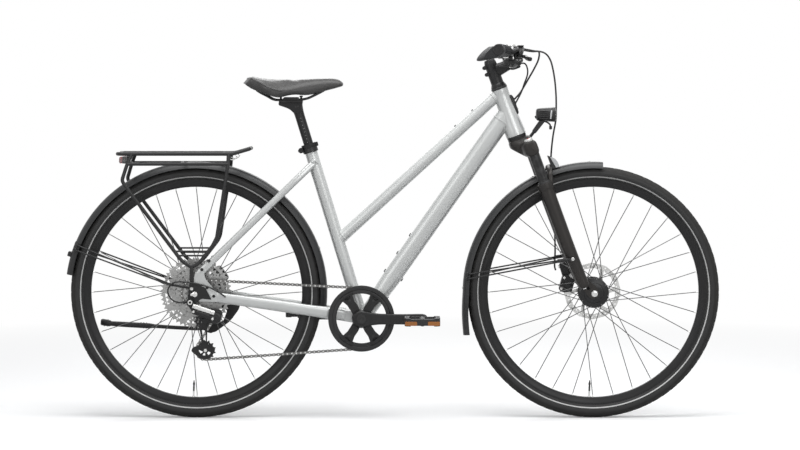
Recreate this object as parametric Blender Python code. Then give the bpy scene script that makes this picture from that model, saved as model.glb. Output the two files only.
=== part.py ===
"""City bike: a step-through trekking frame with suspension fork, rack, mudguards and one chainring.

Metres, +X forward, +Z up, the chain on the -Y side. The origin is on the ground, below the middle
of the bike's length. Run it with: blender --background --python part.py
"""
import math

import bmesh
import bpy
from mathutils import Matrix, Vector

for old in list(bpy.data.objects):
    bpy.data.objects.remove(old, do_unlink=True)

# Running clearance between neighbouring pieces
GAP = 0.0003

# Wheels with 42-622 tyres
WHEEL_RADIUS = 0.354
TYRE_WIDTH = 0.042
RIM_WIDTH = 0.025
RIM_WALL = 0.0025
TYRE_SHOWN = 0.037
RIM_WALL_HEIGHT = 0.0085
RIM_BED_DEPTH = 0.0120
rim_flange_radius = WHEEL_RADIUS - TYRE_SHOWN
rim_floor_radius = rim_flange_radius - RIM_WALL_HEIGHT
rim_bed_radius = rim_floor_radius - RIM_BED_DEPTH
RIM_BED_WIDTH = 0.014
SPOKES = 32
WHEEL_SIDES = SPOKES
SPOKE_RADIUS = 0.0011
SPOKE_STAGGER = 0.0015
AXLE_RADIUS = 0.005
AXLE_NUT_RADIUS = 0.009
AXLE_NUT_LENGTH = 0.0065
REAR_OLD = 0.135
REAR_HUB_FLANGE = 0.029
REAR_HUB_CORE = 0.0172
FRONT_OLD = 0.100
FRONT_HUB_FLANGE = 0.0425
FRONT_HUB_BODY = 0.0360

# Frame
REAR_AXLE_X = -0.5533
WHEELBASE = 1.117
CHAINSTAY_RUN = 0.4646
BB_HEIGHT = 0.2841
BB_SHELL_RADIUS = 0.0205
BB_SHELL_WIDTH = 0.068
BB_BORE_RADIUS = 0.0172
BB_CUP_LIP = 0.0030
SEAT_ANGLE = math.radians(73.0)
SEAT_TUBE_LENGTH = 0.500
SEAT_TUBE_RADIUS = 0.01745
SEAT_CLAMP_WALL = 0.0040
SEAT_CLAMP_HEIGHT = 0.0255
POST_RADIUS = 0.0136
POST_LENGTH = 0.350
POST_SHOWN = 0.1235
POST_BORE_DEPTH = 0.335
TOP_TUBE_RADIUS = 0.0159
TOP_TUBE_ON_SEAT = 0.2253
TOP_TUBE_ON_HEAD = 0.1290
DOWN_TUBE_HEIGHT = 0.052
DOWN_TUBE_WIDTH = 0.044
DOWN_TUBE_FOOT_HEIGHT = 0.040
DOWN_TUBE_FOOT_WIDTH = 0.056
DOWN_TUBE_DROP = 0.0094
DOWN_TUBE_ON_HEAD = 0.0689
BOTTLE_BOSS_RADIUS = 0.0045
BOTTLE_BOSS_PROUD = 0.0012
HEAD_ANGLE = math.radians(70.0)
HEAD_TUBE_X = 0.3461
HEAD_TUBE_Z = 0.7950
HEAD_TUBE_LENGTH = 0.1385
HEAD_TUBE_TOP_RADIUS = 0.0230
HEAD_TUBE_WAIST_RADIUS = 0.0222
HEAD_TUBE_LOW_RADIUS = 0.0285
HEAD_CUP_HEIGHT = 0.020
HEAD_BEARING_HEIGHT = 0.011
HEAD_TUBE_BORE = 0.0190
PORT_BOSS_LOW = 0.058
PORT_BOSS_HIGH = 0.1135
PORT_BOSS_WIDTH = 0.024
PORT_BOSS_FRONT = 0.0295
DROPOUT_THICKNESS = 0.0075
CHAINSTAY_FRONT_Y = 0.030
SEATSTAY_FRONT_Y = 0.012
SEATSTAY_ON_SEAT = 0.455
SEATSTAY_HEIGHT = 0.020
STAY_BRIDGE_RADIUS = 0.006
RACK_BOLT = (-0.0083, 0.0160)
HANGER_BOLT = (-0.0123, -0.0220)

# Fork
STEERER_RADIUS = 0.0143
STEERER_TOP = 0.222
FORK_AXLE_DROP = 0.4888
FORK_RAKE = 0.0537
STANCHION_RADIUS = 0.015
STANCHION_Y = 0.065
STANCHION_OFFSET = 0.0265
STANCHION_END = 0.262
CROWN_THICKNESS = 0.034
LEG_TOP = 0.150
LEG_TOP_RADIUS = 0.0218
LEG_FOOT = 0.455
LEG_FOOT_RADIUS = 0.0160
LEG_BORE_END = 0.332
LEG_STAY_DROP = 0.374
LEG_BOSS_REACH = 0.0195
FORK_END_THICKNESS = 0.008
ARCH_HEIGHT = 0.112
ARCH_THICKNESS = 0.010
ARCH_LEAD = 0.029
LOCKOUT_BASE = -0.0286
LOCKOUT_RADIUS = 0.0118
LOCKOUT_HEIGHT = 0.012

# Drive
CHAIN_PITCH = 0.0127
CHAINLINE = 0.04775
RING_TEETH = 42
COGS = (48, 41, 34, 28, 23, 19, 15, 13, 11)
CHAIN_ON_COG = 5
COG_SPACING = 0.00435
SPROCKET_THICKNESS = 0.0018
TOOTH_HEIGHT = 0.0036
CHAIN_INNER_WIDTH = 0.0024
CHAIN_OUTER_WIDTH = 0.0058
CHAIN_HEIGHT = 0.0078
ROLLER_RADIUS = 0.0038
GUIDE_TEETH = 11
TENSION_TEETH = 13
GUIDE_PULLEY = (0.0207, -0.0790)
TENSION_PULLEY = (0.0273, -0.1595)
CAGE_PIVOT = (0.0584, -0.0664)
PULLEY_PIN_RADIUS = 0.0025
CAGE_PLATE = 0.0020
CAGE_INSIDE = 0.0069
SPINDLE_RADIUS = 0.012
CRANK_LENGTH = 0.170
CRANK_WIDTH = 0.031
CRANK_THICKNESS = 0.0135
CRANK_FACE_ROOT = 0.0765
CRANK_FACE_TIP = 0.0875
SPIDER_THICKNESS = 0.0060
SPIDER_ANGLES = (56.0, 124.0, 236.0, 304.0)
BOLT_CIRCLE = 0.0600
RING_BOLT_RADIUS = 0.0040
GUARD_RADIUS = 0.093
GUARD_INNER_RADIUS = 0.070
GUARD_THICKNESS = 0.0030
PEDAL_WIDTH = 0.094
PEDAL_LENGTH = 0.098
PEDAL_HEIGHT = 0.024
PEDAL_PIN_RADIUS = 0.0045
PEDAL_PIN_LENGTH = 0.052
PEDAL_CLEARANCE = 0.0040

# Brakes
ROTOR_RADIUS = 0.080
ROTOR_THICKNESS = 0.0018
ROTOR_BAND = 0.014
FRONT_ROTOR_Y = 0.0370
REAR_ROTOR_Y = 0.0520
CALIPER_WIDTH = 0.023
CALIPER_SLOT = 0.0036
CALIPER_SEAT = 0.0090

# Mudguards and their stays
MUDGUARD_RADIUS = 0.3680
MUDGUARD_WIDTH = 0.053
MUDGUARD_DEPTH = 0.018
MUDGUARD_WALL = 0.0020
MUDGUARD_STAY_RADIUS = 0.0022

# Rack
RACK_TUBE = 0.0052
RACK_TOP = 0.3910
RACK_LOW = 0.3630
RACK_TOP_Y = 0.060
RACK_LOW_Y = 0.070
RACK_LEG_Y = 0.075
RACK_REAR = -0.2163
RACK_FRONT = 0.1057
LIGHT_PLATE = -0.1918

# Saddle
SADDLE_X = -0.2776
SADDLE_LENGTH = 0.280
SADDLE_TOP = 0.955
RAIL_RADIUS = 0.0035
RAIL_Y = 0.022
RAIL_DROP = 0.052

# Cockpit
HEADSET_COVER = 0.0165
STEM_RADIUS = 0.0172
STEM_TOP = 0.2265
STEM_HEIGHT = 0.1966
STEM_REACH = 0.0591
STEM_CLAMP_WIDTH = 0.044
STEM_CLAMP_WALL = 0.0050
BAR_HALF_WIDTH = 0.310
BAR_RADIUS = 0.0111
BAR_CLAMP_RADIUS = 0.0159
GRIP_LENGTH = 0.130
GRIP_RADIUS = 0.0158
LEVER_FROM_BAR_END = 0.152
lever_clamp_y = BAR_HALF_WIDTH - LEVER_FROM_BAR_END
LEVER_CLAMP_WIDTH = 0.014
LEVER_CLAMP_RADIUS = 0.0160
SHIFTER_FROM_LEVER = 0.030
shifter_y = lever_clamp_y - SHIFTER_FROM_LEVER
BELL_Y = 0.084
HOSE_RADIUS = 0.0025
CABLE_RADIUS = 0.0022

HEADLIGHT_ON_FORK = (-0.0061, 0.0518)

# Kickstand on the left chainstay
STAND_PIVOT = (0.0300, -0.1080, 0.0860)
STAND_LENGTH = 0.310
STAND_BOSS_START = -0.006

forward = Vector((1, 0, 0))
across = Vector((0, 1, 0))
up = Vector((0, 0, 1))
origin = Vector((0, 0, 0))
rear_axle = Vector((REAR_AXLE_X, 0, WHEEL_RADIUS))
front_axle = Vector((REAR_AXLE_X + WHEELBASE, 0, WHEEL_RADIUS))
bottom_bracket = Vector((REAR_AXLE_X + CHAINSTAY_RUN, 0, BB_HEIGHT))
head_base = Vector((HEAD_TUBE_X, 0, HEAD_TUBE_Z))
steer_up = Vector((-math.cos(HEAD_ANGLE), 0, math.sin(HEAD_ANGLE)))
steer_forward = Vector((math.sin(HEAD_ANGLE), 0, math.cos(HEAD_ANGLE)))
seat_up = Vector((-math.cos(SEAT_ANGLE), 0, math.sin(SEAT_ANGLE)))
seat_forward = Vector((math.sin(SEAT_ANGLE), 0, math.cos(SEAT_ANGLE)))
dropout_inside = REAR_OLD / 2 + GAP
dropout_outside = dropout_inside + DROPOUT_THICKNESS
dropout_middle = dropout_inside + DROPOUT_THICKNESS / 2
fork_end_inside = FRONT_OLD / 2 + GAP
fork_end_outside = fork_end_inside + FORK_END_THICKNESS
pedal_inside = CRANK_FACE_TIP + PEDAL_CLEARANCE


def on_fork(height, ahead, y=0.0):
    """A point by its height along the steering axis and its distance ahead of it."""
    return head_base + steer_up * height + steer_forward * ahead + across * y


def on_seat(height, y=0.0, ahead=0.0):
    """A point by its height along the seat tube, from the bottom bracket."""
    return bottom_bracket + seat_up * height + seat_forward * ahead + across * y


def beside(centre, pair, y=0.0):
    """A point by its distance ahead of and above a centre."""
    return centre + forward * pair[0] + up * pair[1] + across * y


def round_wheel(centre, radius, degrees, y=0.0):
    """A point round a wheel: 0 degrees is ahead of its centre and 90 is above it."""
    turn = math.radians(degrees)
    return centre + forward * (math.cos(turn) * radius) + up * (math.sin(turn) * radius) + across * y


def solid(points, faces):
    """A closed mesh of the points and faces, with every face turned outwards."""
    shape = bmesh.new()
    corners = [shape.verts.new(point) for point in points]
    for face in faces:
        shape.faces.new([corners[i] for i in face])
    bmesh.ops.recalc_face_normals(shape, faces=shape.faces)
    mesh = bpy.data.meshes.new("solid")
    shape.to_mesh(mesh)
    shape.free()
    return mesh


def loft(rings, closed=False):
    """A skin over rings of equally many points, capped at both ends unless it closes on itself."""
    count = len(rings[0])
    points = [point for ring in rings for point in ring]
    faces = []
    for i in range(len(rings) if closed else len(rings) - 1):
        near = i * count
        far = (i + 1) % len(rings) * count
        for j in range(count):
            k = (j + 1) % count
            faces.append((near + j, near + k, far + k, far + j))
    if not closed:
        faces.append(tuple(range(count)))
        faces.append(tuple(range(len(points) - count, len(points))))
    return solid(points, faces)


def turned(start, axis, profile, sides=24, closed=False):
    """A turned piece. The profile holds pairs: distance along the axis, radius."""
    first = -up if abs(axis.dot(up)) < 0.99 else forward
    first = (first - axis * first.dot(axis)).normalized()
    second = axis.cross(first)
    rings = []
    for distance, radius in profile:
        ring = []
        for i in range(sides):
            turn = 2 * math.pi * i / sides
            spread = first * math.cos(turn) + second * math.sin(turn)
            ring.append(start + axis * distance + spread * radius)
        rings.append(ring)
    return loft(rings, closed)


def oval(width, height, count=12, square=2.0):
    """Points round an oval. A higher last value squares its shoulders."""
    pairs = []
    for i in range(count):
        turn = 2 * math.pi * (i + 0.5) / count
        cosine = math.cos(turn)
        sine = math.sin(turn)
        u = math.copysign(abs(cosine) ** (2 / square), cosine) * width / 2
        v = math.copysign(abs(sine) ** (2 / square), sine) * height / 2
        pairs.append((u, v))
    return pairs


def sweep(points, sections, side=None, closed=False):
    """One section for each point, carried along the points and square to their way."""
    rings = []
    count = len(points)
    sideways = side
    for i, point in enumerate(points):
        before = points[i - 1] if closed or i > 0 else point
        after = points[(i + 1) % count] if closed or i < count - 1 else point
        way = (after - before).normalized()
        if sideways is None:
            sideways = way.orthogonal()
        flat = (sideways - way * sideways.dot(way)).normalized()
        if side is None:
            sideways = flat
        rise = way.cross(flat)
        rings.append([point + flat * u + rise * v for u, v in sections[i]])
    return loft(rings, closed)


def tube(points, radius, sides=8):
    """A round rod or tube along the points."""
    return sweep(points, [oval(2 * radius, 2 * radius, sides)] * len(points))


def curve(points, steps=4):
    """Points along a smooth curve that passes through the given ones."""
    padded = [points[0] * 2 - points[1], *points, points[-1] * 2 - points[-2]]
    smooth = []
    for i in range(1, len(padded) - 2):
        before, here, there, beyond = padded[i - 1:i + 3]
        for step in range(steps):
            t = step / steps
            smooth.append(
                here
                + (there - before) * (0.5 * t)
                + (before * 2 - here * 5 + there * 4 - beyond) * (0.5 * t * t)
                + (here * 3 - before - there * 3 + beyond) * (0.5 * t * t * t)
            )
    smooth.append(points[-1].copy())
    return smooth


def rounded(corners, steps=3):
    """An outline through corners (u, v, size), each corner eased over its size."""
    outline = []
    for i, (u, v, size) in enumerate(corners):
        here = Vector((u, v))
        if size == 0:
            outline.append((u, v))
            continue
        back = (Vector(corners[i - 1][:2]) - here).normalized()
        ahead = (Vector(corners[(i + 1) % len(corners)][:2]) - here).normalized()
        start = here + back * size
        finish = here + ahead * size
        for step in range(steps + 1):
            t = step / steps
            spot = start * (1 - t) ** 2 + here * (2 * t * (1 - t)) + finish * t ** 2
            outline.append((spot.x, spot.y))
    return outline


def circle(centre, radius, sides=12):
    """Points round a circle."""
    turns = [2 * math.pi * i / sides for i in range(sides)]
    return [(centre[0] + radius * math.cos(t), centre[1] + radius * math.sin(t)) for t in turns]


def link(first, first_radius, second, second_radius, steps=5):
    """The outline of a link: two round ends of unlike size and the straight sides between them."""
    way = math.atan2(second[1] - first[1], second[0] - first[0])
    length = math.dist(first, second)
    lean = math.acos((first_radius - second_radius) / length)
    outline = []
    for centre, radius, start, finish in (
        (second, second_radius, way - lean, way + lean),
        (first, first_radius, way + lean, way + 2 * math.pi - lean),
    ):
        for step in range(steps + 1):
            turn = start + (finish - start) * step / steps
            outline.append((centre[0] + radius * math.cos(turn), centre[1] + radius * math.sin(turn)))
    return outline


def plate(outline, low, high, holes=(), start=origin, axes=(forward, across, up)):
    """A flat piece with holes. Its outline lies on the first and last axes, its thickness between."""
    flat = bmesh.new()
    edges = []
    loops = []
    for loop in (outline, *holes):
        corners = [flat.verts.new((u, v, 0)) for u, v in loop]
        loops.append(corners)
        edges += [flat.edges.new((corners[i - 1], corners[i])) for i in range(len(corners))]
    bmesh.ops.triangle_fill(flat, use_beauty=True, use_dissolve=False, edges=edges)
    flat.verts.index_update()
    spots = [(vertex.co.x, vertex.co.y) for vertex in flat.verts]
    caps = [tuple(vertex.index for vertex in face.verts) for face in flat.faces]
    walls = [[vertex.index for vertex in loop] for loop in loops]
    flat.free()
    count = len(spots)
    points = [start + axes[0] * u + axes[1] * low + axes[2] * v for u, v in spots]
    points += [start + axes[0] * u + axes[1] * high + axes[2] * v for u, v in spots]
    faces = caps + [tuple(i + count for i in cap) for cap in caps]
    for wall in walls:
        for i, here in enumerate(wall):
            last = wall[i - 1]
            faces.append((last, here, here + count, last + count))
    return solid(points, faces)


def together(meshes):
    """Several shapes that don't touch, in one mesh."""
    shape = bmesh.new()
    for mesh in meshes:
        shape.from_mesh(mesh)
    whole = bpy.data.meshes.new("solid")
    shape.to_mesh(whole)
    shape.free()
    return whole


def combined(base, others, operation):
    """The base shape with each of the others added to it or cut away from it."""
    carrier = bpy.data.objects.new("base", base)
    bpy.context.collection.objects.link(carrier)
    tools = []
    for other in others:
        tool = bpy.data.objects.new("tool", other)
        tool.hide_render = True
        tool.display_type = "WIRE"
        bpy.context.collection.objects.link(tool)
        step = carrier.modifiers.new("step", "BOOLEAN")
        step.operation = operation
        step.object = tool
        tools.append(tool)
    graph = bpy.context.evaluated_depsgraph_get()
    result = bpy.data.meshes.new_from_object(carrier.evaluated_get(graph))
    for thing in (*tools, carrier):
        bpy.data.objects.remove(thing, do_unlink=True)
    return result


def fused(base, *others):
    """Shapes joined into one body."""
    return combined(base, others, "UNION")


def cut(base, *others):
    """A shape with others cut away."""
    return combined(base, others, "DIFFERENCE")


pivots = {}


def pivot(name, place, carrier=None):
    """An empty on a joint's axis. It carries the pieces that turn or slide there."""
    empty = bpy.data.objects.new(name + "_pivot", None)
    empty.empty_display_size = 0.05
    bpy.context.collection.objects.link(empty)
    empty.location = place
    if carrier:
        empty.parent = pivots[carrier][0]
        empty.location = place - pivots[carrier][1]
    pivots[name] = (empty, place.copy())


LOOKS = {
    "pearl": ((0.62, 0.63, 0.62), 0.35, 0.4),
    "black": ((0.020, 0.020, 0.021), 0.45, 0.0),
    "satin": ((0.035, 0.036, 0.038), 0.40, 0.6),
    "plastic": ((0.030, 0.030, 0.031), 0.60, 0.0),
    "rubber": ((0.018, 0.018, 0.018), 0.85, 0.0),
    "grip": ((0.060, 0.062, 0.064), 0.80, 0.0),
    "steel": ((0.48, 0.48, 0.47), 0.30, 1.0),
    "alloy": ((0.66, 0.66, 0.65), 0.32, 1.0),
    "saddle": ((0.035, 0.035, 0.036), 0.75, 0.0),
    "red": ((0.45, 0.02, 0.02), 0.25, 0.0),
}


def piece(name, mesh, carrier, look, smooth=38.0):
    """One named part, with its origin on the axis of the body that carries it."""
    empty, place = pivots[carrier]
    mesh.transform(Matrix.Translation(-place))
    mesh.name = name
    mesh.shade_smooth()
    mesh.set_sharp_from_angle(angle=math.radians(smooth))
    colour, roughness, metallic = LOOKS[look]
    material = bpy.data.materials.new(name + "_finish")
    material.use_nodes = True
    surface = material.node_tree.nodes["Principled BSDF"]
    surface.inputs["Base Color"].default_value = (*colour, 1)
    surface.inputs["Roughness"].default_value = roughness
    surface.inputs["Metallic"].default_value = metallic
    mesh.materials.clear()
    mesh.materials.append(material)
    part = bpy.data.objects.new(name, mesh)
    part.parent = empty
    bpy.context.collection.objects.link(part)


def head_tube_skin(extra=0.0, over=0.0):
    """The outside of the head tube, grown by an amount and run on past both ends by another."""
    profile = [
        (-over, HEAD_TUBE_LOW_RADIUS + extra),
        (HEAD_CUP_HEIGHT, HEAD_TUBE_LOW_RADIUS + extra),
        (HEAD_TUBE_LENGTH - HEAD_CUP_HEIGHT, HEAD_TUBE_WAIST_RADIUS + extra),
        (HEAD_TUBE_LENGTH, HEAD_TUBE_TOP_RADIUS + extra),
    ]
    if over:
        profile.append((HEAD_TUBE_LENGTH + over, HEAD_TUBE_TOP_RADIUS + extra))
    return turned(head_base, steer_up, profile, 20)


def seat_tube_skin(extra=0.0):
    """The outside of the seat tube, grown by the given amount."""
    profile = [(0, SEAT_TUBE_RADIUS + extra), (SEAT_TUBE_LENGTH + extra, SEAT_TUBE_RADIUS + extra)]
    return turned(bottom_bracket, seat_up, profile, 20)


def shell_skin(extra=0.0):
    """The outside of the bottom bracket shell, grown by the given amount."""
    half = BB_SHELL_WIDTH / 2 + extra
    radius = BB_SHELL_RADIUS + extra
    return turned(bottom_bracket, across, [(-half, radius), (half, radius)], 20)


def head_tube():
    """The head tube, narrowed at both ends by its bearings, with the cable ports in front."""
    bearing = STEERER_RADIUS + GAP
    shoulder = HEAD_TUBE_LENGTH - HEAD_BEARING_HEIGHT
    bore = turned(head_base, steer_up, [
        (-0.01, bearing),
        (HEAD_BEARING_HEIGHT, bearing),
        (HEAD_BEARING_HEIGHT, HEAD_TUBE_BORE),
        (shoulder, HEAD_TUBE_BORE),
        (shoulder, bearing),
        (HEAD_TUBE_LENGTH + 0.01, bearing),
    ], 20)
    half = PORT_BOSS_WIDTH / 2
    outline = rounded([
        (-half, PORT_BOSS_LOW, 0.010),
        (half, PORT_BOSS_LOW, 0.010),
        (half, PORT_BOSS_HIGH, 0.010),
        (-half, PORT_BOSS_HIGH, 0.010),
    ], 2)
    boss = plate(outline, STEERER_RADIUS + 0.004, PORT_BOSS_FRONT, start=head_base,
                 axes=(across, steer_forward, steer_up))
    return cut(fused(head_tube_skin(), boss), bore)


def boss_on(spot, way):
    """A bottle cage boss: a low round button that stands on a tube."""
    return turned(spot - way * 0.004, way, [(0, BOTTLE_BOSS_RADIUS), (0.004, BOTTLE_BOSS_RADIUS)], 6)


def top_tube():
    """The slender upper tube with two guide bosses on top."""
    start = on_seat(TOP_TUBE_ON_SEAT)
    end = on_fork(TOP_TUBE_ON_HEAD, 0)
    way = (end - start).normalized()
    rise = way.cross(across)
    body = tube([start, end], TOP_TUBE_RADIUS, 14)
    bosses = []
    for share in (0.745, 0.875):
        spot = start.lerp(end, share) + rise * (TOP_TUBE_RADIUS + BOTTLE_BOSS_PROUD)
        bosses.append(boss_on(spot, rise))
    return cut(fused(body, *bosses), seat_tube_skin(GAP), head_tube_skin(GAP, 0.040))


def down_tube():
    """The large down tube: an upright oval at the head, wide and low at the bottom bracket."""
    start = bottom_bracket - up * DOWN_TUBE_DROP
    end = on_fork(DOWN_TUBE_ON_HEAD, 0)
    way = (end - start).normalized()
    rise = way.cross(across)
    foot = oval(DOWN_TUBE_FOOT_WIDTH, DOWN_TUBE_FOOT_HEIGHT, 14, 2.3)
    full = oval(DOWN_TUBE_WIDTH, DOWN_TUBE_HEIGHT, 14, 2.3)
    shares = (0.0, 0.06, 0.20, 1.0)
    body = sweep([start.lerp(end, share) for share in shares], [foot, foot, full, full], across)
    bosses = []
    for share, side in ((0.386, 1), (0.300, 1), (0.214, 1), (0.222, -1), (0.130, -1)):
        reach = DOWN_TUBE_HEIGHT / 2 if share > 0.2 else (DOWN_TUBE_HEIGHT + DOWN_TUBE_FOOT_HEIGHT) / 4
        spot = start.lerp(end, share) + rise * (side * (reach + BOTTLE_BOSS_PROUD))
        bosses.append(boss_on(spot, rise * side))
    return cut(fused(body, *bosses), seat_tube_skin(GAP), shell_skin(GAP), head_tube_skin(GAP, 0.040))


def seat_tube():
    """The seat tube and the bottom bracket shell, bored for the post and the bearings."""
    bore_start = SEAT_TUBE_LENGTH - POST_BORE_DEPTH
    post_bore = turned(bottom_bracket, seat_up, [
        (bore_start, POST_RADIUS + GAP),
        (SEAT_TUBE_LENGTH + 0.01, POST_RADIUS + GAP),
    ], 16)
    half = BB_SHELL_WIDTH / 2 + 0.01
    shell_bore = turned(bottom_bracket, across, [(-half, BB_BORE_RADIUS), (half, BB_BORE_RADIUS)], 16)
    return cut(fused(seat_tube_skin(), shell_skin()), post_bore, shell_bore)


def chainstay_spot(run, share, lift=0.0):
    """A point on the left chainstay: its run to the rear axle and its share of the way outwards."""
    y = CHAINSTAY_FRONT_Y + (dropout_middle - CHAINSTAY_FRONT_Y) * share
    return bottom_bracket.lerp(rear_axle, run) + across * y + up * lift


def seatstay_end():
    """Where the seatstay meets the dropout."""
    return rear_axle + forward * 0.0040 + up * 0.0540 + across * dropout_middle


def seatstay_spot(run, share):
    """A point on the left seatstay: its run to the dropout and its share of the way outwards."""
    spot = on_seat(SEATSTAY_ON_SEAT).lerp(seatstay_end(), run)
    spot.y = SEATSTAY_FRONT_Y + (dropout_middle - SEATSTAY_FRONT_Y) * share
    return spot


def mirrored(mesh):
    """The same shape on the other side of the bike."""
    copy = mesh.copy()
    copy.transform(Matrix.Scale(-1, 4, across))
    copy.flip_normals()
    return copy


def chainstay_arm():
    """The left chainstay tube: upright oval in front, flattened to the dropout behind."""
    stations = (
        (0.130, 0.00, 0.018, 0.033),
        (0.215, 0.18, 0.018, 0.033),
        (0.375, 0.36, 0.018, 0.031),
        (0.630, 0.63, 0.016, 0.029),
        (0.790, 0.855, 0.013, 0.028),
        (0.885, 1.00, DROPOUT_THICKNESS - 0.0006, 0.028),
    )
    points = [chainstay_spot(run, share) for run, share, width, height in stations]
    sections = [oval(width, height, 10, 2.6) for run, share, width, height in stations]
    return sweep(points, sections, across)


def dropout(low, high, with_hanger):
    """A dropout plate that joins the stays. The drive side reaches down to the derailleur."""
    spot = seatstay_end()
    way = (seatstay_spot(0.92, 1.0) - spot).normalized()
    square = Vector((way.z, 0, -way.x)) * (SEATSTAY_HEIGHT / 2)
    face = spot - rear_axle - way * GAP
    inner = face + square
    outer = face - square
    corners = [
        (0.060, -0.0215, 0.004),
        (0.060, 0.0045, 0.004),
        (0.026, 0.0120, 0.012),
        (inner.x, inner.z, 0),
        (outer.x, outer.z, 0),
        (-0.0195, 0.0180, 0.008),
        (-0.0195, -0.0080, 0.006),
    ]
    if with_hanger:
        corners += [
            (HANGER_BOLT[0] - 0.011, HANGER_BOLT[1] - 0.009, 0.007),
            (HANGER_BOLT[0] + 0.009, HANGER_BOLT[1] - 0.011, 0.007),
        ]
    corners.append((0.006, -0.0200, 0.006))
    holes = [circle((0, 0), AXLE_RADIUS + 2 * GAP, 10), circle(RACK_BOLT, 0.003, 6)]
    return plate(rounded(corners, 2), low, high, holes, start=rear_axle)


def chainstay_pair():
    """Both chainstay tubes with their dropouts, joined by a yoke behind the bottom bracket."""
    half = CHAINSTAY_FRONT_Y + 0.004
    yoke = plate(rounded([
        (-0.078, -0.004, 0.006),
        (-0.078, 0.023, 0.006),
        (-0.010, 0.017, 0),
        (-0.010, -0.016, 0),
    ]), -half, half, start=bottom_bracket)
    left = chainstay_arm()
    whole = fused(
        yoke,
        left,
        mirrored(left),
        dropout(dropout_inside, dropout_outside, False),
        dropout(-dropout_outside, -dropout_inside, True),
    )
    return cut(whole, shell_skin(GAP), seat_tube_skin(GAP))


def seatstay_pair():
    """Both seatstays and the bridge between them."""
    stations = (
        (0.0, 0.0, 0.016),
        (0.125, 0.302, 0.018),
        (0.27, 0.445, 0.018),
        (0.80, 0.84, 0.014),
        (0.92, 1.0, DROPOUT_THICKNESS - 0.0006),
        (1.0, 1.0, DROPOUT_THICKNESS - 0.0006),
    )
    points = [seatstay_spot(run, share) for run, share, width in stations]
    sections = [oval(width, SEATSTAY_HEIGHT, 10, 2.4) for run, share, width in stations]
    left = sweep(points, sections, across)
    middle = seatstay_spot(0.165, 0)
    middle.y = 0
    reach = seatstay_spot(0.165, 0.33).y
    bridge = tube([middle - across * reach, middle + across * reach], STAY_BRIDGE_RADIUS, 10)
    return cut(fused(left, mirrored(left), bridge), seat_tube_skin(GAP))


def seat_clamp():
    """The collar on top of the seat tube, with its bolt lug behind."""
    top = SEAT_TUBE_LENGTH + 0.010
    outer = SEAT_TUBE_RADIUS + SEAT_CLAMP_WALL
    collar = turned(bottom_bracket, seat_up, [(top - SEAT_CLAMP_HEIGHT, outer), (top, outer)], 20)
    lug = plate(rounded([
        (-outer - 0.010, top - 0.020, 0.004),
        (-outer + 0.002, top - 0.020, 0),
        (-outer + 0.002, top - 0.004, 0),
        (-outer - 0.010, top - 0.004, 0.004),
    ], 1), -0.009, 0.009, start=bottom_bracket, axes=(seat_forward, across, seat_up))
    bore = turned(bottom_bracket, seat_up, [
        (top - SEAT_CLAMP_HEIGHT - 0.01, SEAT_TUBE_RADIUS + GAP),
        (SEAT_TUBE_LENGTH + GAP, SEAT_TUBE_RADIUS + GAP),
        (SEAT_TUBE_LENGTH + GAP, POST_RADIUS + GAP),
        (top + 0.01, POST_RADIUS + GAP),
    ], 20)
    return cut(fused(collar, lug), bore)


def bearing_unit():
    """The bottom bracket bearings: a sleeve in the shell with a lip outside it at each end."""
    face = BB_SHELL_WIDTH / 2 + GAP
    end = face + BB_CUP_LIP
    bore = SPINDLE_RADIUS + GAP
    sleeve = BB_BORE_RADIUS - GAP
    return turned(bottom_bracket, across, [
        (-end, bore),
        (-end, BB_SHELL_RADIUS),
        (-face, BB_SHELL_RADIUS),
        (-face, sleeve),
        (face, sleeve),
        (face, BB_SHELL_RADIUS),
        (end, BB_SHELL_RADIUS),
        (end, bore),
    ], 16, closed=True)


def mudguard_band(spots):
    """The mudguard's skin, a U in section, over points in the wheel's plane."""
    half = MUDGUARD_WIDTH / 2
    skin = [(-1.0, -1.0), (-0.62, 0.0), (0.62, 0.0), (1.0, -1.0)]
    outer = [(u * half, v * MUDGUARD_DEPTH) for u, v in skin]
    inside = half - MUDGUARD_WALL
    inner = [(u * inside, v * (MUDGUARD_DEPTH - MUDGUARD_WALL) - MUDGUARD_WALL) for u, v in skin]
    return sweep(spots, [outer + inner[::-1]] * len(spots), across)


def stay_wire(points, low):
    """A mudguard stay: a bent wire with a flat eye at its end."""
    wire = tube(points, MUDGUARD_STAY_RADIUS, 5)
    eye = points[-1]
    tab = plate(circle((eye.x, eye.z), 0.0060, 8), low, low + 0.0030)
    return fused(wire, tab)


def rear_mudguard():
    """The rear mudguard with its two stays to the dropouts."""
    spots = [round_wheel(rear_axle, MUDGUARD_RADIUS, 172 - 178 * i / 20) for i in range(21)]
    low = rack_tab_outside() + GAP
    bolt = beside(rear_axle, RACK_BOLT, low + MUDGUARD_STAY_RADIUS + GAP)
    start = round_wheel(rear_axle, MUDGUARD_RADIUS - 0.009, 160.5, MUDGUARD_WIDTH / 2 - 0.006)
    left = stay_wire([
        start,
        start + across * 0.012 + forward * 0.004,
        bolt - forward * 0.060 + up * 0.010,
        bolt,
    ], low)
    bridge = round_wheel(rear_axle, MUDGUARD_RADIUS, 163.0)
    outward = (bridge - rear_axle).normalized()
    bracket = plate([(-0.0015, -0.006), (0.010, -0.006), (0.010, 0.008), (-0.0015, 0.008)],
                    -0.010, 0.010, start=bridge, axes=(outward, across, outward.cross(across)))
    return fused(mudguard_band(spots), left, mirrored(left), bracket)


def rack_tab_outside():
    """The outer face of the rack's foot, from the middle of the bike."""
    return dropout_outside + GAP + 0.003


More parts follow.
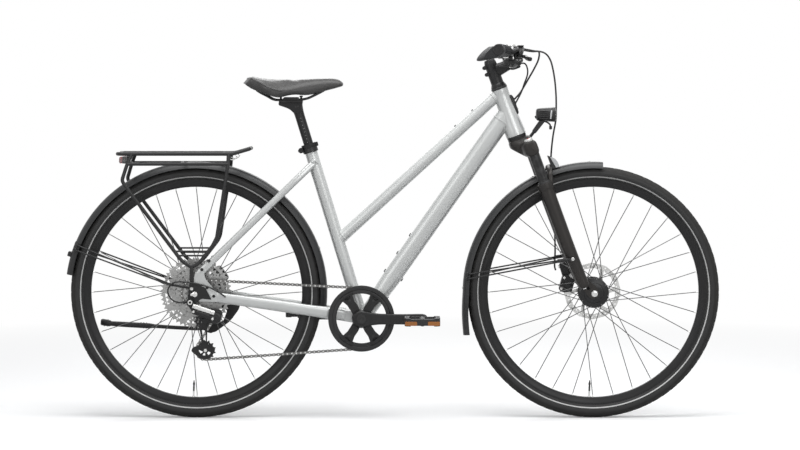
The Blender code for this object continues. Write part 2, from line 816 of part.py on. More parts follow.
def rack():
    """The rack: two rails a side, a loop of legs down to the dropouts, and cross pieces."""
    top_spots = [
        beside(rear_axle, (RACK_REAR, RACK_TOP), RACK_TOP_Y - 0.012),
        beside(rear_axle, (RACK_REAR + 0.014, RACK_TOP), RACK_TOP_Y),
        beside(rear_axle, (RACK_FRONT, RACK_TOP), RACK_TOP_Y),
        beside(rear_axle, (RACK_FRONT + 0.0475, RACK_TOP + 0.014), RACK_TOP_Y - 0.006),
    ]
    top_rail = tube(top_spots, RACK_TUBE, 6)
    foot = beside(rear_axle, RACK_BOLT, RACK_LEG_Y)
    loop_spots = [
        beside(rear_axle, (-0.1753, RACK_TOP), RACK_TOP_Y),
        beside(rear_axle, (-0.1873, RACK_LOW), RACK_LOW_Y),
        beside(rear_axle, (-0.2013, 0.3180), RACK_LEG_Y),
        beside(rear_axle, (-0.1953, 0.3060), RACK_LEG_Y),
        beside(rear_axle, (-0.0353, 0.0920), RACK_LEG_Y),
        foot + up * 0.0590,
        beside(rear_axle, (0.0127, 0.0870), RACK_LEG_Y),
        beside(rear_axle, (0.0607, 0.1490), RACK_LEG_Y),
        beside(rear_axle, (0.0937, RACK_LOW), RACK_LOW_Y),
        beside(rear_axle, (0.0947, RACK_TOP), RACK_TOP_Y),
    ]
    loop = tube(loop_spots, RACK_TUBE, 6)
    low_rail = tube([loop_spots[1], loop_spots[-2]], RACK_TUBE * 0.9, 6)
    brace_spots = [beside(rear_axle, (x, 0.1080), RACK_LEG_Y) for x in (-0.0463, 0.0297)]
    brace = tube(brace_spots, RACK_TUBE * 0.5, 4)
    tab = plate(link((foot.x, foot.z), 0.007, (foot.x, foot.z + 0.058), 0.005, 3),
                dropout_outside + GAP, rack_tab_outside())
    side = fused(loop, top_rail, low_rail, brace, tab)
    crosses = []
    for x, z, half in (
        (RACK_REAR + 0.002, RACK_TOP, RACK_TOP_Y - 0.010),
        (RACK_REAR + 0.067, RACK_TOP, RACK_TOP_Y),
        (RACK_REAR + 0.182, RACK_TOP, RACK_TOP_Y),
        (RACK_REAR + 0.297, RACK_TOP, RACK_TOP_Y),
        (RACK_FRONT + 0.0460, RACK_TOP + 0.0136, RACK_TOP_Y - 0.0065),
        (RACK_REAR + 0.029, RACK_LOW, RACK_LOW_Y),
    ):
        ends = [beside(rear_axle, (x, z), y) for y in (-half, half)]
        crosses.append(tube(ends, RACK_TUBE * 0.85, 6))
    deck = plate([
        (RACK_REAR + 0.057, -0.013),
        (RACK_REAR + 0.307, -0.013),
        (RACK_REAR + 0.307, 0.013),
        (RACK_REAR + 0.057, 0.013),
    ], RACK_TOP + 0.0020, RACK_TOP + 0.0062, start=rear_axle, axes=(forward, up, across))
    mount = plate([(-0.022, -0.006), (0.022, -0.006), (0.022, 0.022), (-0.022, 0.022)],
                  LIGHT_PLATE, LIGHT_PLATE + 0.003, start=rear_axle + up * RACK_LOW,
                  axes=(across, forward, up))
    return fused(side, mirrored(side), *crosses, deck, mount)


def tail_light():
    """The rear light: a wide rounded box on the rack's rear plate."""
    outline = rounded([
        (LIGHT_PLATE - 0.0215, RACK_LOW + 0.001, 0.005),
        (LIGHT_PLATE - 0.0205, RACK_LOW + 0.020, 0.005),
        (LIGHT_PLATE - GAP, RACK_LOW + 0.020, 0.003),
        (LIGHT_PLATE - GAP, RACK_LOW + 0.001, 0.003),
    ])
    return plate(outline, -0.045, 0.045, start=rear_axle)


def stepped_axle(centre, inside, outside, hub_left, hub_right):
    """An axle with spacers between the hub and the frame, and a nut outside at each end."""
    spacer = AXLE_RADIUS + 0.0030
    nut = outside + GAP
    tip = nut + AXLE_NUT_LENGTH
    return turned(centre, across, [
        (-tip, AXLE_NUT_RADIUS),
        (-nut, AXLE_NUT_RADIUS),
        (-nut, AXLE_RADIUS),
        (-inside, AXLE_RADIUS),
        (-inside, spacer),
        (-hub_right, spacer),
        (-hub_right, AXLE_RADIUS),
        (hub_left, AXLE_RADIUS),
        (hub_left, spacer),
        (inside, spacer),
        (inside, AXLE_RADIUS),
        (nut, AXLE_RADIUS),
        (nut, AXLE_NUT_RADIUS),
        (tip, AXLE_NUT_RADIUS),
    ], 8)


def tyre(centre):
    """A tyre: its beads sit in the rim, its tread is rounded."""
    half = TYRE_WIDTH / 2
    swell = (rim_flange_radius + WHEEL_RADIUS) / 2 - 0.004
    side = [
        (RIM_WIDTH / 2 - RIM_WALL - GAP, rim_floor_radius + GAP),
        (RIM_WIDTH / 2 - 2 * GAP, rim_flange_radius + GAP),
        (half, swell),
        (half * 0.76, WHEEL_RADIUS - 0.006),
    ]
    profile = side + [(0, WHEEL_RADIUS)] + [(-y, radius) for y, radius in reversed(side)]
    return turned(centre, across, profile, WHEEL_SIDES, closed=True)


def rim(centre):
    """A rim: a deep channel with two walls that hold the tyre."""
    half = RIM_WIDTH / 2
    side = [
        (RIM_BED_WIDTH / 2, rim_bed_radius),
        (half, rim_flange_radius),
        (half - RIM_WALL, rim_floor_radius),
    ]
    profile = side + [(-y, radius) for y, radius in reversed(side)]
    return turned(centre, across, profile, WHEEL_SIDES, closed=True)


def spoke_set(centre, left, right, hole_radius, lean):
    """The spokes: every second one from the same flange, leaning forwards and backwards by turns."""
    end = rim_bed_radius - 1.5 * GAP
    rods = []
    for i in range(SPOKES):
        turn = 360.0 * i / SPOKES
        flange = right if i % 2 else left
        way = 1 if i // 2 % 2 else -1
        hub_spot = round_wheel(centre, hole_radius, turn + way * lean, flange + way * SPOKE_STAGGER)
        rim_spot = round_wheel(centre, end, turn, math.copysign(0.002, flange))
        rods.append(tube([hub_spot, rim_spot], SPOKE_RADIUS, 3))
    return together(rods)


def rear_hub():
    """The rear hub with its spokes. The cassette turns on its long core."""
    right = dropout_inside - 0.0048
    shell = turned(rear_axle, across, [
        (-right, AXLE_RADIUS + 2 * GAP),
        (-right, REAR_HUB_CORE),
        (-0.0225, REAR_HUB_CORE),
        (-0.0225, REAR_HUB_FLANGE),
        (-0.0195, REAR_HUB_FLANGE),
        (-0.0165, 0.0160),
        (0.0295, 0.0160),
        (0.0325, REAR_HUB_FLANGE),
        (0.0355, REAR_HUB_FLANGE),
        (0.0355, REAR_HUB_CORE),
        (REAR_ROTOR_Y + 0.0045, REAR_HUB_CORE),
        (REAR_ROTOR_Y + 0.0045, AXLE_RADIUS + 2 * GAP),
    ], 14, closed=True)
    return fused(shell, spoke_set(rear_axle, 0.0340, -0.0210, REAR_HUB_FLANGE - 0.0025, 67.5))


def front_hub():
    """The front hub, a wide drum with tall flanges, and its spokes."""
    shell = turned(front_axle, across, [
        (-0.0460, AXLE_RADIUS + 2 * GAP),
        (-0.0460, 0.0120),
        (-0.0370, 0.0140),
        (-0.0295, FRONT_HUB_FLANGE),
        (-0.0265, FRONT_HUB_FLANGE),
        (-0.0265, FRONT_HUB_BODY),
        (0.0195, FRONT_HUB_BODY),
        (0.0195, FRONT_HUB_FLANGE),
        (0.0225, FRONT_HUB_FLANGE),
        (0.0285, REAR_HUB_CORE),
        (FRONT_ROTOR_Y + 0.0045, REAR_HUB_CORE),
        (FRONT_ROTOR_Y + 0.0045, AXLE_RADIUS + 2 * GAP),
    ], 14, closed=True)
    return fused(shell, spoke_set(front_axle, 0.0210, -0.0280, FRONT_HUB_FLANGE - 0.0035, 45.0))


def rotor(centre, y):
    """A brake disc: a band on six slanted arms."""
    band = ROTOR_RADIUS - ROTOR_BAND
    ring = REAR_HUB_CORE + 0.0085
    holes = [circle((0, 0), REAR_HUB_CORE + 3 * GAP, 14)]
    for i in range(6):
        start = 60.0 * i
        window = []
        for step in range(4):
            turn = math.radians(start + 14 + 46 * step / 3)
            window.append((band * math.cos(turn), band * math.sin(turn)))
        for turn in (math.radians(start + 34), math.radians(start)):
            window.append((ring * math.cos(turn), ring * math.sin(turn)))
        holes.append(window)
    half = ROTOR_THICKNESS / 2
    return plate(circle((0, 0), ROTOR_RADIUS, 28), y - half, y + half, holes, start=centre)


def caliper(centre, degrees, y, seat_corners, seat_low, seat_high, *neighbours):
    """A disc caliper: a rounded block that straddles the disc, on a foot that meets its mount."""
    direction = math.radians(degrees)
    out = forward * math.cos(direction) + up * math.sin(direction)
    round_way = forward * math.sin(direction) - up * math.cos(direction)
    half = CALIPER_WIDTH / 2
    block = plate(rounded([
        (ROTOR_RADIUS - 0.024, -0.017, 0.006),
        (ROTOR_RADIUS - 0.024, 0.017, 0.006),
        (ROTOR_RADIUS - 0.002, 0.026, 0.008),
        (ROTOR_RADIUS + 0.014, 0.022, 0.006),
        (ROTOR_RADIUS + 0.014, -0.022, 0.006),
        (ROTOR_RADIUS - 0.002, -0.026, 0.008),
    ], 1), y - half, y + half + 0.002, start=centre, axes=(out, across, round_way))
    foot = plate(seat_corners, seat_low, seat_high, start=centre)
    slot = turned(centre, across, [
        (y - CALIPER_SLOT / 2, ROTOR_RADIUS + 0.002),
        (y + CALIPER_SLOT / 2, ROTOR_RADIUS + 0.002),
    ], 32)
    return cut(fused(block, foot), slot, *neighbours)


def sprocket_radius(teeth):
    """The radius at which a chain's pins ride on a sprocket."""
    return CHAIN_PITCH / 2 / math.sin(math.pi / teeth)


def sprocket_outline(teeth, tips=1):
    """A toothed outline: a valley and one or two tip points for each tooth."""
    valley = sprocket_radius(teeth) - TOOTH_HEIGHT
    tip = sprocket_radius(teeth) + TOOTH_HEIGHT
    outline = []
    for i in range(teeth):
        outline.append((valley, i / teeth))
        if tips == 1:
            outline.append((tip, (i + 0.5) / teeth))
        else:
            outline.append((tip, (i + 0.42) / teeth))
            outline.append((tip, (i + 0.58) / teeth))
    return [(r * math.cos(2 * math.pi * t), r * math.sin(2 * math.pi * t)) for r, t in outline]


def cassette():
    """The cassette: nine sprockets on one carrier. The sprocket under the chain has its teeth cut."""
    first = CHAINLINE - CHAIN_ON_COG * COG_SPACING
    half = SPROCKET_THICKNESS / 2
    cogs = []
    for i, teeth in enumerate(COGS):
        y = first + i * COG_SPACING
        outline = circle((0, 0), sprocket_radius(teeth) + TOOTH_HEIGHT / 2, min(teeth, 24))
        if i == CHAIN_ON_COG:
            outline = sprocket_outline(teeth)
        cogs.append(plate(outline, -y - half, -y + half, start=rear_axle))
    last = first + (len(COGS) - 1) * COG_SPACING
    carrier = turned(rear_axle, across, [(-last - 0.0016, 0.0192), (-first + 0.0016, 0.0192)], 14)
    core = REAR_HUB_CORE + 2 * GAP
    bore = turned(rear_axle, across, [(-0.10, core), (0, core)], 14)
    return cut(fused(carrier, together(cogs)), bore)


def tangent(first, second):
    """Where a chain leaves one sprocket and meets the next. Each is (centre, radius, turn sense)."""
    centre, radius, sense = first
    next_centre, next_radius, next_sense = second
    gap = next_centre - centre
    way = math.atan2(gap.y, gap.x)
    way += math.asin((sense * radius - next_sense * next_radius) / gap.length)
    left = Vector((-math.sin(way), math.cos(way)))
    return centre - left * (sense * radius), next_centre - left * (next_sense * next_radius)


def flat(point):
    """A point's place in the side view."""
    return Vector((point.x, point.z))


def chain_wheels():
    """What the chain runs round, in order: ring, cog, guide pulley, tension pulley."""
    return [
        (flat(bottom_bracket), sprocket_radius(RING_TEETH), 1),
        (flat(rear_axle), sprocket_radius(COGS[CHAIN_ON_COG]), 1),
        (flat(beside(rear_axle, GUIDE_PULLEY)), sprocket_radius(GUIDE_TEETH), -1),
        (flat(beside(rear_axle, TENSION_PULLEY)), sprocket_radius(TENSION_TEETH), 1),
    ]


def chain_route():
    """The chain's centre line as a closed list of closely spaced points."""
    wheels = chain_wheels()
    route = []
    for i, wheel in enumerate(wheels):
        centre, radius, sense = wheel
        arrive = tangent(wheels[i - 1], wheel)[1] - centre
        leave = tangent(wheel, wheels[(i + 1) % len(wheels)])[0] - centre
        start = math.atan2(arrive.y, arrive.x)
        sweep_angle = (math.atan2(leave.y, leave.x) - start) * sense % (2 * math.pi)
        steps = max(2, round(sweep_angle * radius / 0.002))
        for step in range(steps + 1):
            turn = start + sense * sweep_angle * step / steps
            route.append(centre + Vector((math.cos(turn), math.sin(turn))) * radius)
    return route


def spaced(route, count):
    """The given number of points at equal steps along a closed route."""
    lengths = [0.0]
    for i, point in enumerate(route):
        lengths.append(lengths[-1] + (route[(i + 1) % len(route)] - point).length)
    spots = []
    i = 0
    for k in range(count):
        target = lengths[-1] * k / count
        while lengths[i + 1] < target:
            i += 1
        share = (target - lengths[i]) / (lengths[i + 1] - lengths[i])
        spots.append(route[i].lerp(route[(i + 1) % len(route)], share))
    return spots


def chain():
    """The chain: two rows of side plates, with rollers between them wherever no tooth fills the gap."""
    route = chain_route()
    length = sum((route[i] - route[i - 1]).length for i in range(len(route)))
    links = 2 * round(length / CHAIN_PITCH / 2)
    pins = [Vector((spot.x, 0, spot.y)) for spot in spaced(route, links)]
    bends = []
    for i, pin in enumerate(pins):
        if (pin - pins[i - 1]).angle(pins[(i + 1) % links] - pin) > 0.01:
            bends.append(pin)
    half = CHAIN_HEIGHT / 2
    sides = []
    for low, high in (
        (-CHAINLINE - CHAIN_OUTER_WIDTH / 2, -CHAINLINE - CHAIN_INNER_WIDTH / 2),
        (-CHAINLINE + CHAIN_INNER_WIDTH / 2, -CHAINLINE + CHAIN_OUTER_WIDTH / 2),
    ):
        section = [(low, -half), (high, -half), (high, half), (low, half)]
        sides.append(sweep(bends, [section] * len(bends), across, closed=True))
    rollers = []
    clear = ROLLER_RADIUS + TOOTH_HEIGHT + 2 * GAP
    reach = CHAIN_INNER_WIDTH / 2 + 0.0005
    for i in range(0, links, 2):
        pin = pins[i]
        if all((flat(pin) - centre).length > radius + clear for centre, radius, sense in chain_wheels()):
            way = (pins[(i + 1) % links] - pins[i - 1]).normalized()
            ends = [pin - across * (CHAINLINE + reach), pin - across * (CHAINLINE - reach)]
            rollers.append(sweep(ends, [oval(2 * ROLLER_RADIUS, 2 * ROLLER_RADIUS, 4)] * 2, way))
    return fused(sides[0], sides[1], together(rollers))


def cage_plate(low, high):
    """One side plate of the derailleur cage, from the guide pulley to the tension pulley."""
    top = GUIDE_PULLEY
    foot = TENSION_PULLEY
    corners = [
        (top[0] - 0.011, top[1] + 0.009, 0.008),
        (top[0] + 0.011, top[1] + 0.010, 0.008),
        (top[0] + 0.012, top[1] - 0.018, 0.008),
        (foot[0] + 0.004, foot[1] + 0.019, 0.006),
        (foot[0] + 0.029, foot[1] + 0.004, 0.007),
        (foot[0] + 0.015, foot[1] - 0.024, 0.010),
        (foot[0] - 0.012, foot[1] - 0.026, 0.010),
        (foot[0] - 0.040, foot[1] - 0.002, 0.004),
        (foot[0] - 0.036, foot[1] + 0.008, 0.004),
        (foot[0] - 0.008, foot[1] + 0.016, 0.006),
        (top[0] - 0.010, top[1] - 0.020, 0.006),
    ]
    window = rounded([
        (foot[0] - 0.019, foot[1] + 0.002, 0.003),
        (foot[0] - 0.010, foot[1] - 0.013, 0.005),
        (foot[0] + 0.008, foot[1] - 0.013, 0.005),
        (foot[0] + 0.017, foot[1] + 0.001, 0.003),
        (foot[0] + 0.009, foot[1] - 0.004, 0.003),
        (foot[0], foot[1] - 0.0085, 0.003),
        (foot[0] - 0.009, foot[1] - 0.004, 0.003),
    ], 1)
    return plate(rounded(corners, 1), low, high, [window], start=rear_axle)


def derailleur_cage():
    """The derailleur cage: two plates held apart by the pins of both pulleys."""
    inner = -CHAINLINE + CAGE_INSIDE / 2
    outer = -CHAINLINE - CAGE_INSIDE / 2
    pins = []
    for pulley in (GUIDE_PULLEY, TENSION_PULLEY):
        pins.append(turned(beside(rear_axle, pulley), across, [
            (outer - CAGE_PLATE / 2, PULLEY_PIN_RADIUS),
            (inner + CAGE_PLATE / 2, PULLEY_PIN_RADIUS),
        ], 8))
    return fused(cage_plate(outer - CAGE_PLATE, outer), cage_plate(inner, inner + CAGE_PLATE), *pins)


def pulley(pair, teeth):
    """A jockey pulley that turns on its pin between the cage plates."""
    half = CAGE_INSIDE / 2 - GAP
    centre = beside(rear_axle, pair, -CHAINLINE)
    thick = SPROCKET_THICKNESS / 2
    wheel = plate(sprocket_outline(teeth), -thick, thick, start=centre)
    hub = turned(centre, across, [(-half, 0.0055), (half, 0.0055)], 8)
    loose = PULLEY_PIN_RADIUS + 2 * GAP
    bore = turned(centre, across, [(-0.01, loose), (0.01, loose)], 8)
    return cut(fused(wheel, hub), bore)


def derailleur_body():
    """The derailleur: a knuckle on the hanger, two links, and the knuckle that carries the cage."""
    face = -CHAINLINE - CAGE_INSIDE / 2 - CAGE_PLATE - GAP
    outside = -dropout_outside - GAP
    upper = turned(beside(rear_axle, HANGER_BOLT), across, [
        (outside - 0.0150, 0.0085),
        (outside - 0.0130, 0.0105),
        (outside, 0.0105),
    ], 12)
    upper_arm = plate(link((HANGER_BOLT[0], HANGER_BOLT[1]), 0.0090, (0.0010, -0.0440), 0.0085),
                      outside - 0.0110, outside - 0.0020, start=rear_axle)
    links = sweep([
        beside(rear_axle, (-0.0060, -0.0400), outside - 0.0065),
        beside(rear_axle, (0.0230, -0.0520), outside - 0.0050),
        beside(rear_axle, (0.0520, -0.0630), outside + 0.0015),
    ], [oval(0.0120, 0.026, 8, 3.0), oval(0.0120, 0.028, 8, 3.0), oval(0.0120, 0.026, 8, 3.0)], across)
    lower = turned(beside(rear_axle, CAGE_PIVOT), across, [
        (face - 0.0260, 0.0120),
        (face - 0.0230, 0.0160),
        (face, 0.0160),
    ], 14)
    ledge = plate(link(CAGE_PIVOT, 0.0120, (GUIDE_PULLEY[0] + 0.004, GUIDE_PULLEY[1] + 0.002), 0.0070),
                  face - 0.0050, face, start=rear_axle)
    return fused(upper, upper_arm, links, lower, ledge)


def crank_arm():
    """The right crank arm, slim and bowed outwards towards the pedal."""
    stations = (
        (-0.014, CRANK_FACE_ROOT, 0.026),
        (0.000, CRANK_FACE_ROOT, 0.035),
        (0.030, CRANK_FACE_ROOT + 0.0015, 0.032),
        (0.090, (CRANK_FACE_ROOT + CRANK_FACE_TIP) / 2 + 0.001, CRANK_WIDTH * 0.93),
        (CRANK_LENGTH - 0.015, CRANK_FACE_TIP, CRANK_WIDTH),
        (CRANK_LENGTH + 0.010, CRANK_FACE_TIP, CRANK_WIDTH * 0.80),
        (CRANK_LENGTH + 0.0155, CRANK_FACE_TIP, CRANK_WIDTH * 0.45),
    )
    rings = []
    for x, face, width in stations:
        centre = bottom_bracket + forward * x - across * (face - CRANK_THICKNESS / 2)
        rings.append([centre + across * u + up * v for u, v in oval(CRANK_THICKNESS, width, 10, 3.2)])
    return loft(rings)


def pedal_pin():
    """The right pedal's spindle, which stands out from the crank's eye."""
    centre = bottom_bracket + forward * CRANK_LENGTH
    start = CRANK_FACE_TIP - CRANK_THICKNESS + 0.002
    return turned(centre, -across, [
        (start, PEDAL_PIN_RADIUS),
        (CRANK_FACE_TIP + PEDAL_CLEARANCE + PEDAL_PIN_LENGTH, PEDAL_PIN_RADIUS),
    ], 10)


def spider():
    """The four arms that carry the chainring, bored for its bolts."""
    outline = []
    inner = 0.0270
    tip = BOLT_CIRCLE + 0.0085
    for i, degrees in enumerate(SPIDER_ANGLES):
        turn = math.radians(degrees)
        following = math.radians(SPIDER_ANGLES[(i + 1) % 4] + (360 if i == 3 else 0))
        for distance, offset in ((0.040, -0.0085), (tip - 0.003, -0.0070), (tip, 0.0),
                                 (tip - 0.003, 0.0070), (0.040, 0.0085)):
            outline.append((distance * math.cos(turn) - offset * math.sin(turn),
                            distance * math.sin(turn) + offset * math.cos(turn)))
        valley = (turn + following) / 2
        outline.append((inner * math.cos(valley), inner * math.sin(valley)))
    holes = []
    for degrees in SPIDER_ANGLES:
        turn = math.radians(degrees)
        spot = (BOLT_CIRCLE * math.cos(turn), BOLT_CIRCLE * math.sin(turn))
        holes.append(circle(spot, RING_BOLT_RADIUS + 2 * GAP, 8))
    start = -CHAINLINE - SPROCKET_THICKNESS / 2 - GAP
    return plate(outline, start - SPIDER_THICKNESS, start, holes, start=bottom_bracket)


def right_crank():
    """The right crank with its spindle, its spider and its pedal pin."""
    boss_start = BB_SHELL_WIDTH / 2 + GAP + BB_CUP_LIP + GAP
    boss = turned(bottom_bracket, -across, [
        (boss_start, 0.0165),
        (CRANK_FACE_ROOT - 0.004, 0.0175),
    ], 16)
    spindle = turned(bottom_bracket, across, [
        (-CRANK_FACE_ROOT + 0.004, SPINDLE_RADIUS),
        (CRANK_FACE_ROOT - 0.003, SPINDLE_RADIUS),
    ], 16)
    return fused(spindle, boss, spider(), crank_arm(), pedal_pin())


def opposite(mesh):
    """A crank piece turned half way round the bottom bracket and put on the other side."""
    copy = mesh.copy()
    turn = Matrix.Translation(bottom_bracket) @ Matrix.Rotation(math.pi, 4, "Y")
    flip = Matrix.Scale(-1, 4, across)
    copy.transform(turn @ flip @ Matrix.Translation(-bottom_bracket))
    copy.flip_normals()
    return copy


def left_crank():
    """The left crank, clamped on the spindle's end, with its pedal pin."""
    boss_start = BB_SHELL_WIDTH / 2 + GAP + BB_CUP_LIP + GAP
    boss = turned(bottom_bracket, across, [
        (boss_start, 0.0165),
        (CRANK_FACE_ROOT - 0.004, 0.0175),
    ], 16)
    bore = turned(bottom_bracket, across, [
        (0, SPINDLE_RADIUS + GAP),
        (CRANK_FACE_ROOT + 0.01, SPINDLE_RADIUS + GAP),
    ], 16)
    return cut(fused(boss, opposite(crank_arm()), opposite(pedal_pin())), bore)


def chainring():
    """The chainring and its guard, joined by the four bolts that pass through the spider."""
    half = SPROCKET_THICKNESS / 2
    ring = plate(sprocket_outline(RING_TEETH), -CHAINLINE - half, -CHAINLINE + half,
                 [circle((0, 0), BOLT_CIRCLE - 0.0075, 16)], start=bottom_bracket)
    guard_face = -CHAINLINE - half - GAP - SPIDER_THICKNESS - GAP
    opening = []
    for i, degrees in enumerate(SPIDER_ANGLES):
        following = SPIDER_ANGLES[(i + 1) % 4] + (360 if i == 3 else 0)
        tab = BOLT_CIRCLE - 0.0075
        for offset in (-8.0, 8.0):
            turn = math.radians(degrees + offset)
            opening.append((tab * math.cos(turn), tab * math.sin(turn)))
        steps = 5 if following - degrees > 90 else 3
        for step in range(steps + 1):
            turn = math.radians(degrees + 9 + (following - degrees - 18) * step / steps)
            opening.append((GUARD_INNER_RADIUS * math.cos(turn), GUARD_INNER_RADIUS * math.sin(turn)))
    guard = plate(circle((0, 0), GUARD_RADIUS, 28), guard_face - GUARD_THICKNESS, guard_face,
                  [opening], start=bottom_bracket)
    bolts = []
    for degrees in SPIDER_ANGLES:
        spot = round_wheel(bottom_bracket, BOLT_CIRCLE, degrees)
        bolts.append(turned(spot, across, [
            (guard_face - GUARD_THICKNESS / 2, RING_BOLT_RADIUS),
            (-CHAINLINE, RING_BOLT_RADIUS),
        ], 8))
    return fused(ring, guard, *bolts)


def pedal(centre, outward):
    """A platform pedal: a barrel on the pin, and a frame with two windows round it."""
    half = PEDAL_LENGTH / 2
    outline = rounded([
        (-half, 0, 0.012),
        (half, 0, 0.012),
        (half, PEDAL_WIDTH, 0.016),
        (-half, PEDAL_WIDTH, 0.016),
    ], 2)
    windows = []
    for side in (-1, 1):
        windows.append(rounded([
            (side * 0.015, 0.014, 0.004),
            (side * (half - 0.012), 0.014, 0.004),
            (side * (half - 0.012), PEDAL_WIDTH - 0.014, 0.004),
            (side * 0.015, PEDAL_WIDTH - 0.014, 0.004),
        ], 1))
    start = centre + outward * pedal_inside
    frame = plate(outline, -PEDAL_HEIGHT / 2, PEDAL_HEIGHT / 2, windows, start=start,
                  axes=(forward, up, outward))
    bore = turned(start, outward, [
        (-0.01, PEDAL_PIN_RADIUS + 2 * GAP),
        (PEDAL_PIN_LENGTH + GAP, PEDAL_PIN_RADIUS + 2 * GAP),
    ], 10)
    return cut(frame, bore)


def kickstand_axis():
    """The stand's hinge axis, splayed so that the foot swings outwards as it comes down."""
    return Vector((-0.20, 0.967, 0.148)).normalized()


def kickstand_bracket():
    """The plate under the left chainstay that carries the kickstand."""
    hinge = beside(rear_axle, STAND_PIVOT[:2], STAND_PIVOT[2])
    outer = hinge.y - 0.0115
    inner = dropout_inside - 0.008
    outline = rounded([
        (hinge.x - 0.013, hinge.z - 0.012, 0.007),
        (hinge.x - 0.013, hinge.z + 0.014, 0.006),
        (hinge.x + 0.022, rear_axle.z - 0.022, 0),
        (hinge.x + 0.088, rear_axle.z - 0.022, 0),
        (hinge.x + 0.088, rear_axle.z - 0.050, 0.014),
        (hinge.x + 0.060, hinge.z + 0.020, 0.010),
        (hinge.x + 0.016, hinge.z - 0.012, 0.007),
    ], 2)
    boss = turned(hinge, kickstand_axis(), [(-0.020, 0.0120), (STAND_BOSS_START - GAP, 0.0120)], 14)
    return cut(fused(plate(outline, inner, outer), boss), grown(chainstay_arm()))


def grown(mesh, amount=1.5 * GAP):
    """A shape grown along its normals, to cut a neighbour with clearance."""
    bigger = mesh.copy()
    normals = [vertex.normal.copy() for vertex in bigger.vertices]
    for vertex, normal in zip(bigger.vertices, normals):
        vertex.co += normal * amount
    return bigger


def kickstand():
    """The folded kickstand: a hinge boss, a leg that points back, a sleeve and a foot."""
    hinge = beside(rear_axle, STAND_PIVOT[:2], STAND_PIVOT[2])
    axis = kickstand_axis()
    boss = turned(hinge, axis, [(STAND_BOSS_START, 0.0120), (0.0120, 0.0120), (0.0140, 0.0100)], 14)
    points = [
        hinge + axis * 0.004 - forward * 0.004 - up * 0.002,
        hinge + axis * 0.004 - forward * 0.040 - up * 0.004,
        hinge + axis * 0.004 - forward * 0.160 + up * 0.003,
        hinge + axis * 0.004 - forward * 0.180 + up * 0.004,
        hinge + axis * 0.004 - forward * 0.280 + up * 0.010,
        hinge + axis * 0.004 - forward * 0.288 + up * 0.012,
        hinge + axis * 0.004 - forward * STAND_LENGTH + up * 0.015,
    ]
    sizes = (0.014, 0.0125, 0.0125, 0.017, 0.017, 0.021, 0.018)
    leg = sweep(points, [oval(size, size, 8) for size in sizes], across)
    return fused(boss, leg)


def fork_crown():
    """The crown with its steerer and both stanchions."""
    stations = (
        (-0.086, 0.034, -0.046, 0.022, 0.024),
        (-0.080, 0.029, -0.047, 0.037, 0.034),
        (-0.052, 0.0230, -0.0470, 0.046, 0.035),
        (-0.038, 0.0120, -0.0320, 0.056, 0.030),
        (-0.020, 0.0052, -0.0230, 0.065, 0.030),
    )
    rings = []
    for y, ahead, height, depth, tall in stations + tuple((-y, *rest) for y, *rest in stations[::-1]):
        centre = on_fork(height, ahead, y)
        rings.append([centre + steer_forward * u + steer_up * v for u, v in oval(depth, tall, 10, 2.8)])
    crown = loft(rings)
    race = turned(head_base, steer_up, [(-0.012, 0.0270), (-GAP, 0.0270)], 16)
    steerer = turned(head_base, steer_up, [(-0.020, STEERER_RADIUS), (STEERER_TOP, STEERER_RADIUS)], 16)
    stanchions = []
    for y in (-STANCHION_Y, STANCHION_Y):
        stanchions.append(turned(on_fork(0, STANCHION_OFFSET, y), steer_up, [
            (-STANCHION_END, STANCHION_RADIUS),
            (-0.040, STANCHION_RADIUS),
        ], 14))
    return fused(crown, race, steerer, *stanchions)


def lockout_knob():
    """The lockout knob on the right stanchion's cap."""
    return turned(on_fork(LOCKOUT_BASE, STANCHION_OFFSET - 0.001, -STANCHION_Y), steer_up, [
        (0, LOCKOUT_RADIUS),
        (LOCKOUT_HEIGHT - 0.002, LOCKOUT_RADIUS),
        (LOCKOUT_HEIGHT, LOCKOUT_RADIUS - 0.002),
    ], 14)


def fork_leg():
    """The left leg of the lowers: a tapered tube that ends in the fork end."""
    stations = (
        (LEG_TOP, STANCHION_OFFSET, LEG_TOP_RADIUS),
        (LEG_TOP + 0.014, STANCHION_OFFSET, LEG_TOP_RADIUS),
        (LEG_TOP + 0.022, STANCHION_OFFSET, LEG_TOP_RADIUS - 0.002),
        (0.330, STANCHION_OFFSET + 0.001, 0.0190),
        (0.430, STANCHION_OFFSET + 0.005, LEG_FOOT_RADIUS + 0.0005),
        (LEG_FOOT, STANCHION_OFFSET + 0.007, LEG_FOOT_RADIUS),
        (LEG_FOOT + 0.008, STANCHION_OFFSET + 0.008, LEG_FOOT_RADIUS - 0.005),
    )
    rings = []
    for drop, ahead, radius in stations:
        centre = on_fork(-drop, ahead, STANCHION_Y)
        rings.append([centre + steer_forward * u + across * v for u, v in oval(2 * radius, 2 * radius, 12)])
    return loft(rings)


def fork_end():
    """The left fork end: a plate from the leg's foot to the axle, bored for it."""
    outline = rounded([
        (STANCHION_OFFSET - 0.006, -LEG_FOOT + 0.030, 0),
        (STANCHION_OFFSET - 0.002, -LEG_FOOT - 0.006, 0.008),
        (FORK_RAKE - 0.013, -FORK_AXLE_DROP - 0.012, 0.008),
        (FORK_RAKE + 0.010, -FORK_AXLE_DROP - 0.013, 0.008),
        (FORK_RAKE + 0.014, -FORK_AXLE_DROP + 0.008, 0.008),
        (STANCHION_OFFSET + 0.017, -LEG_FOOT + 0.020, 0.010),
        (STANCHION_OFFSET + 0.016, -LEG_FOOT + 0.034, 0),
    ], 2)
    hole = circle((FORK_RAKE, -FORK_AXLE_DROP), AXLE_RADIUS + 2 * GAP, 10)
    return plate(outline, fork_end_inside, fork_end_outside, [hole], start=head_base,
                 axes=(steer_forward, across, steer_up))


def fork_stay_spot(y):
    """Where the mudguard stay meets the leg, seen from the side."""
    return on_fork(-LEG_STAY_DROP, STANCHION_OFFSET + 0.002, y)


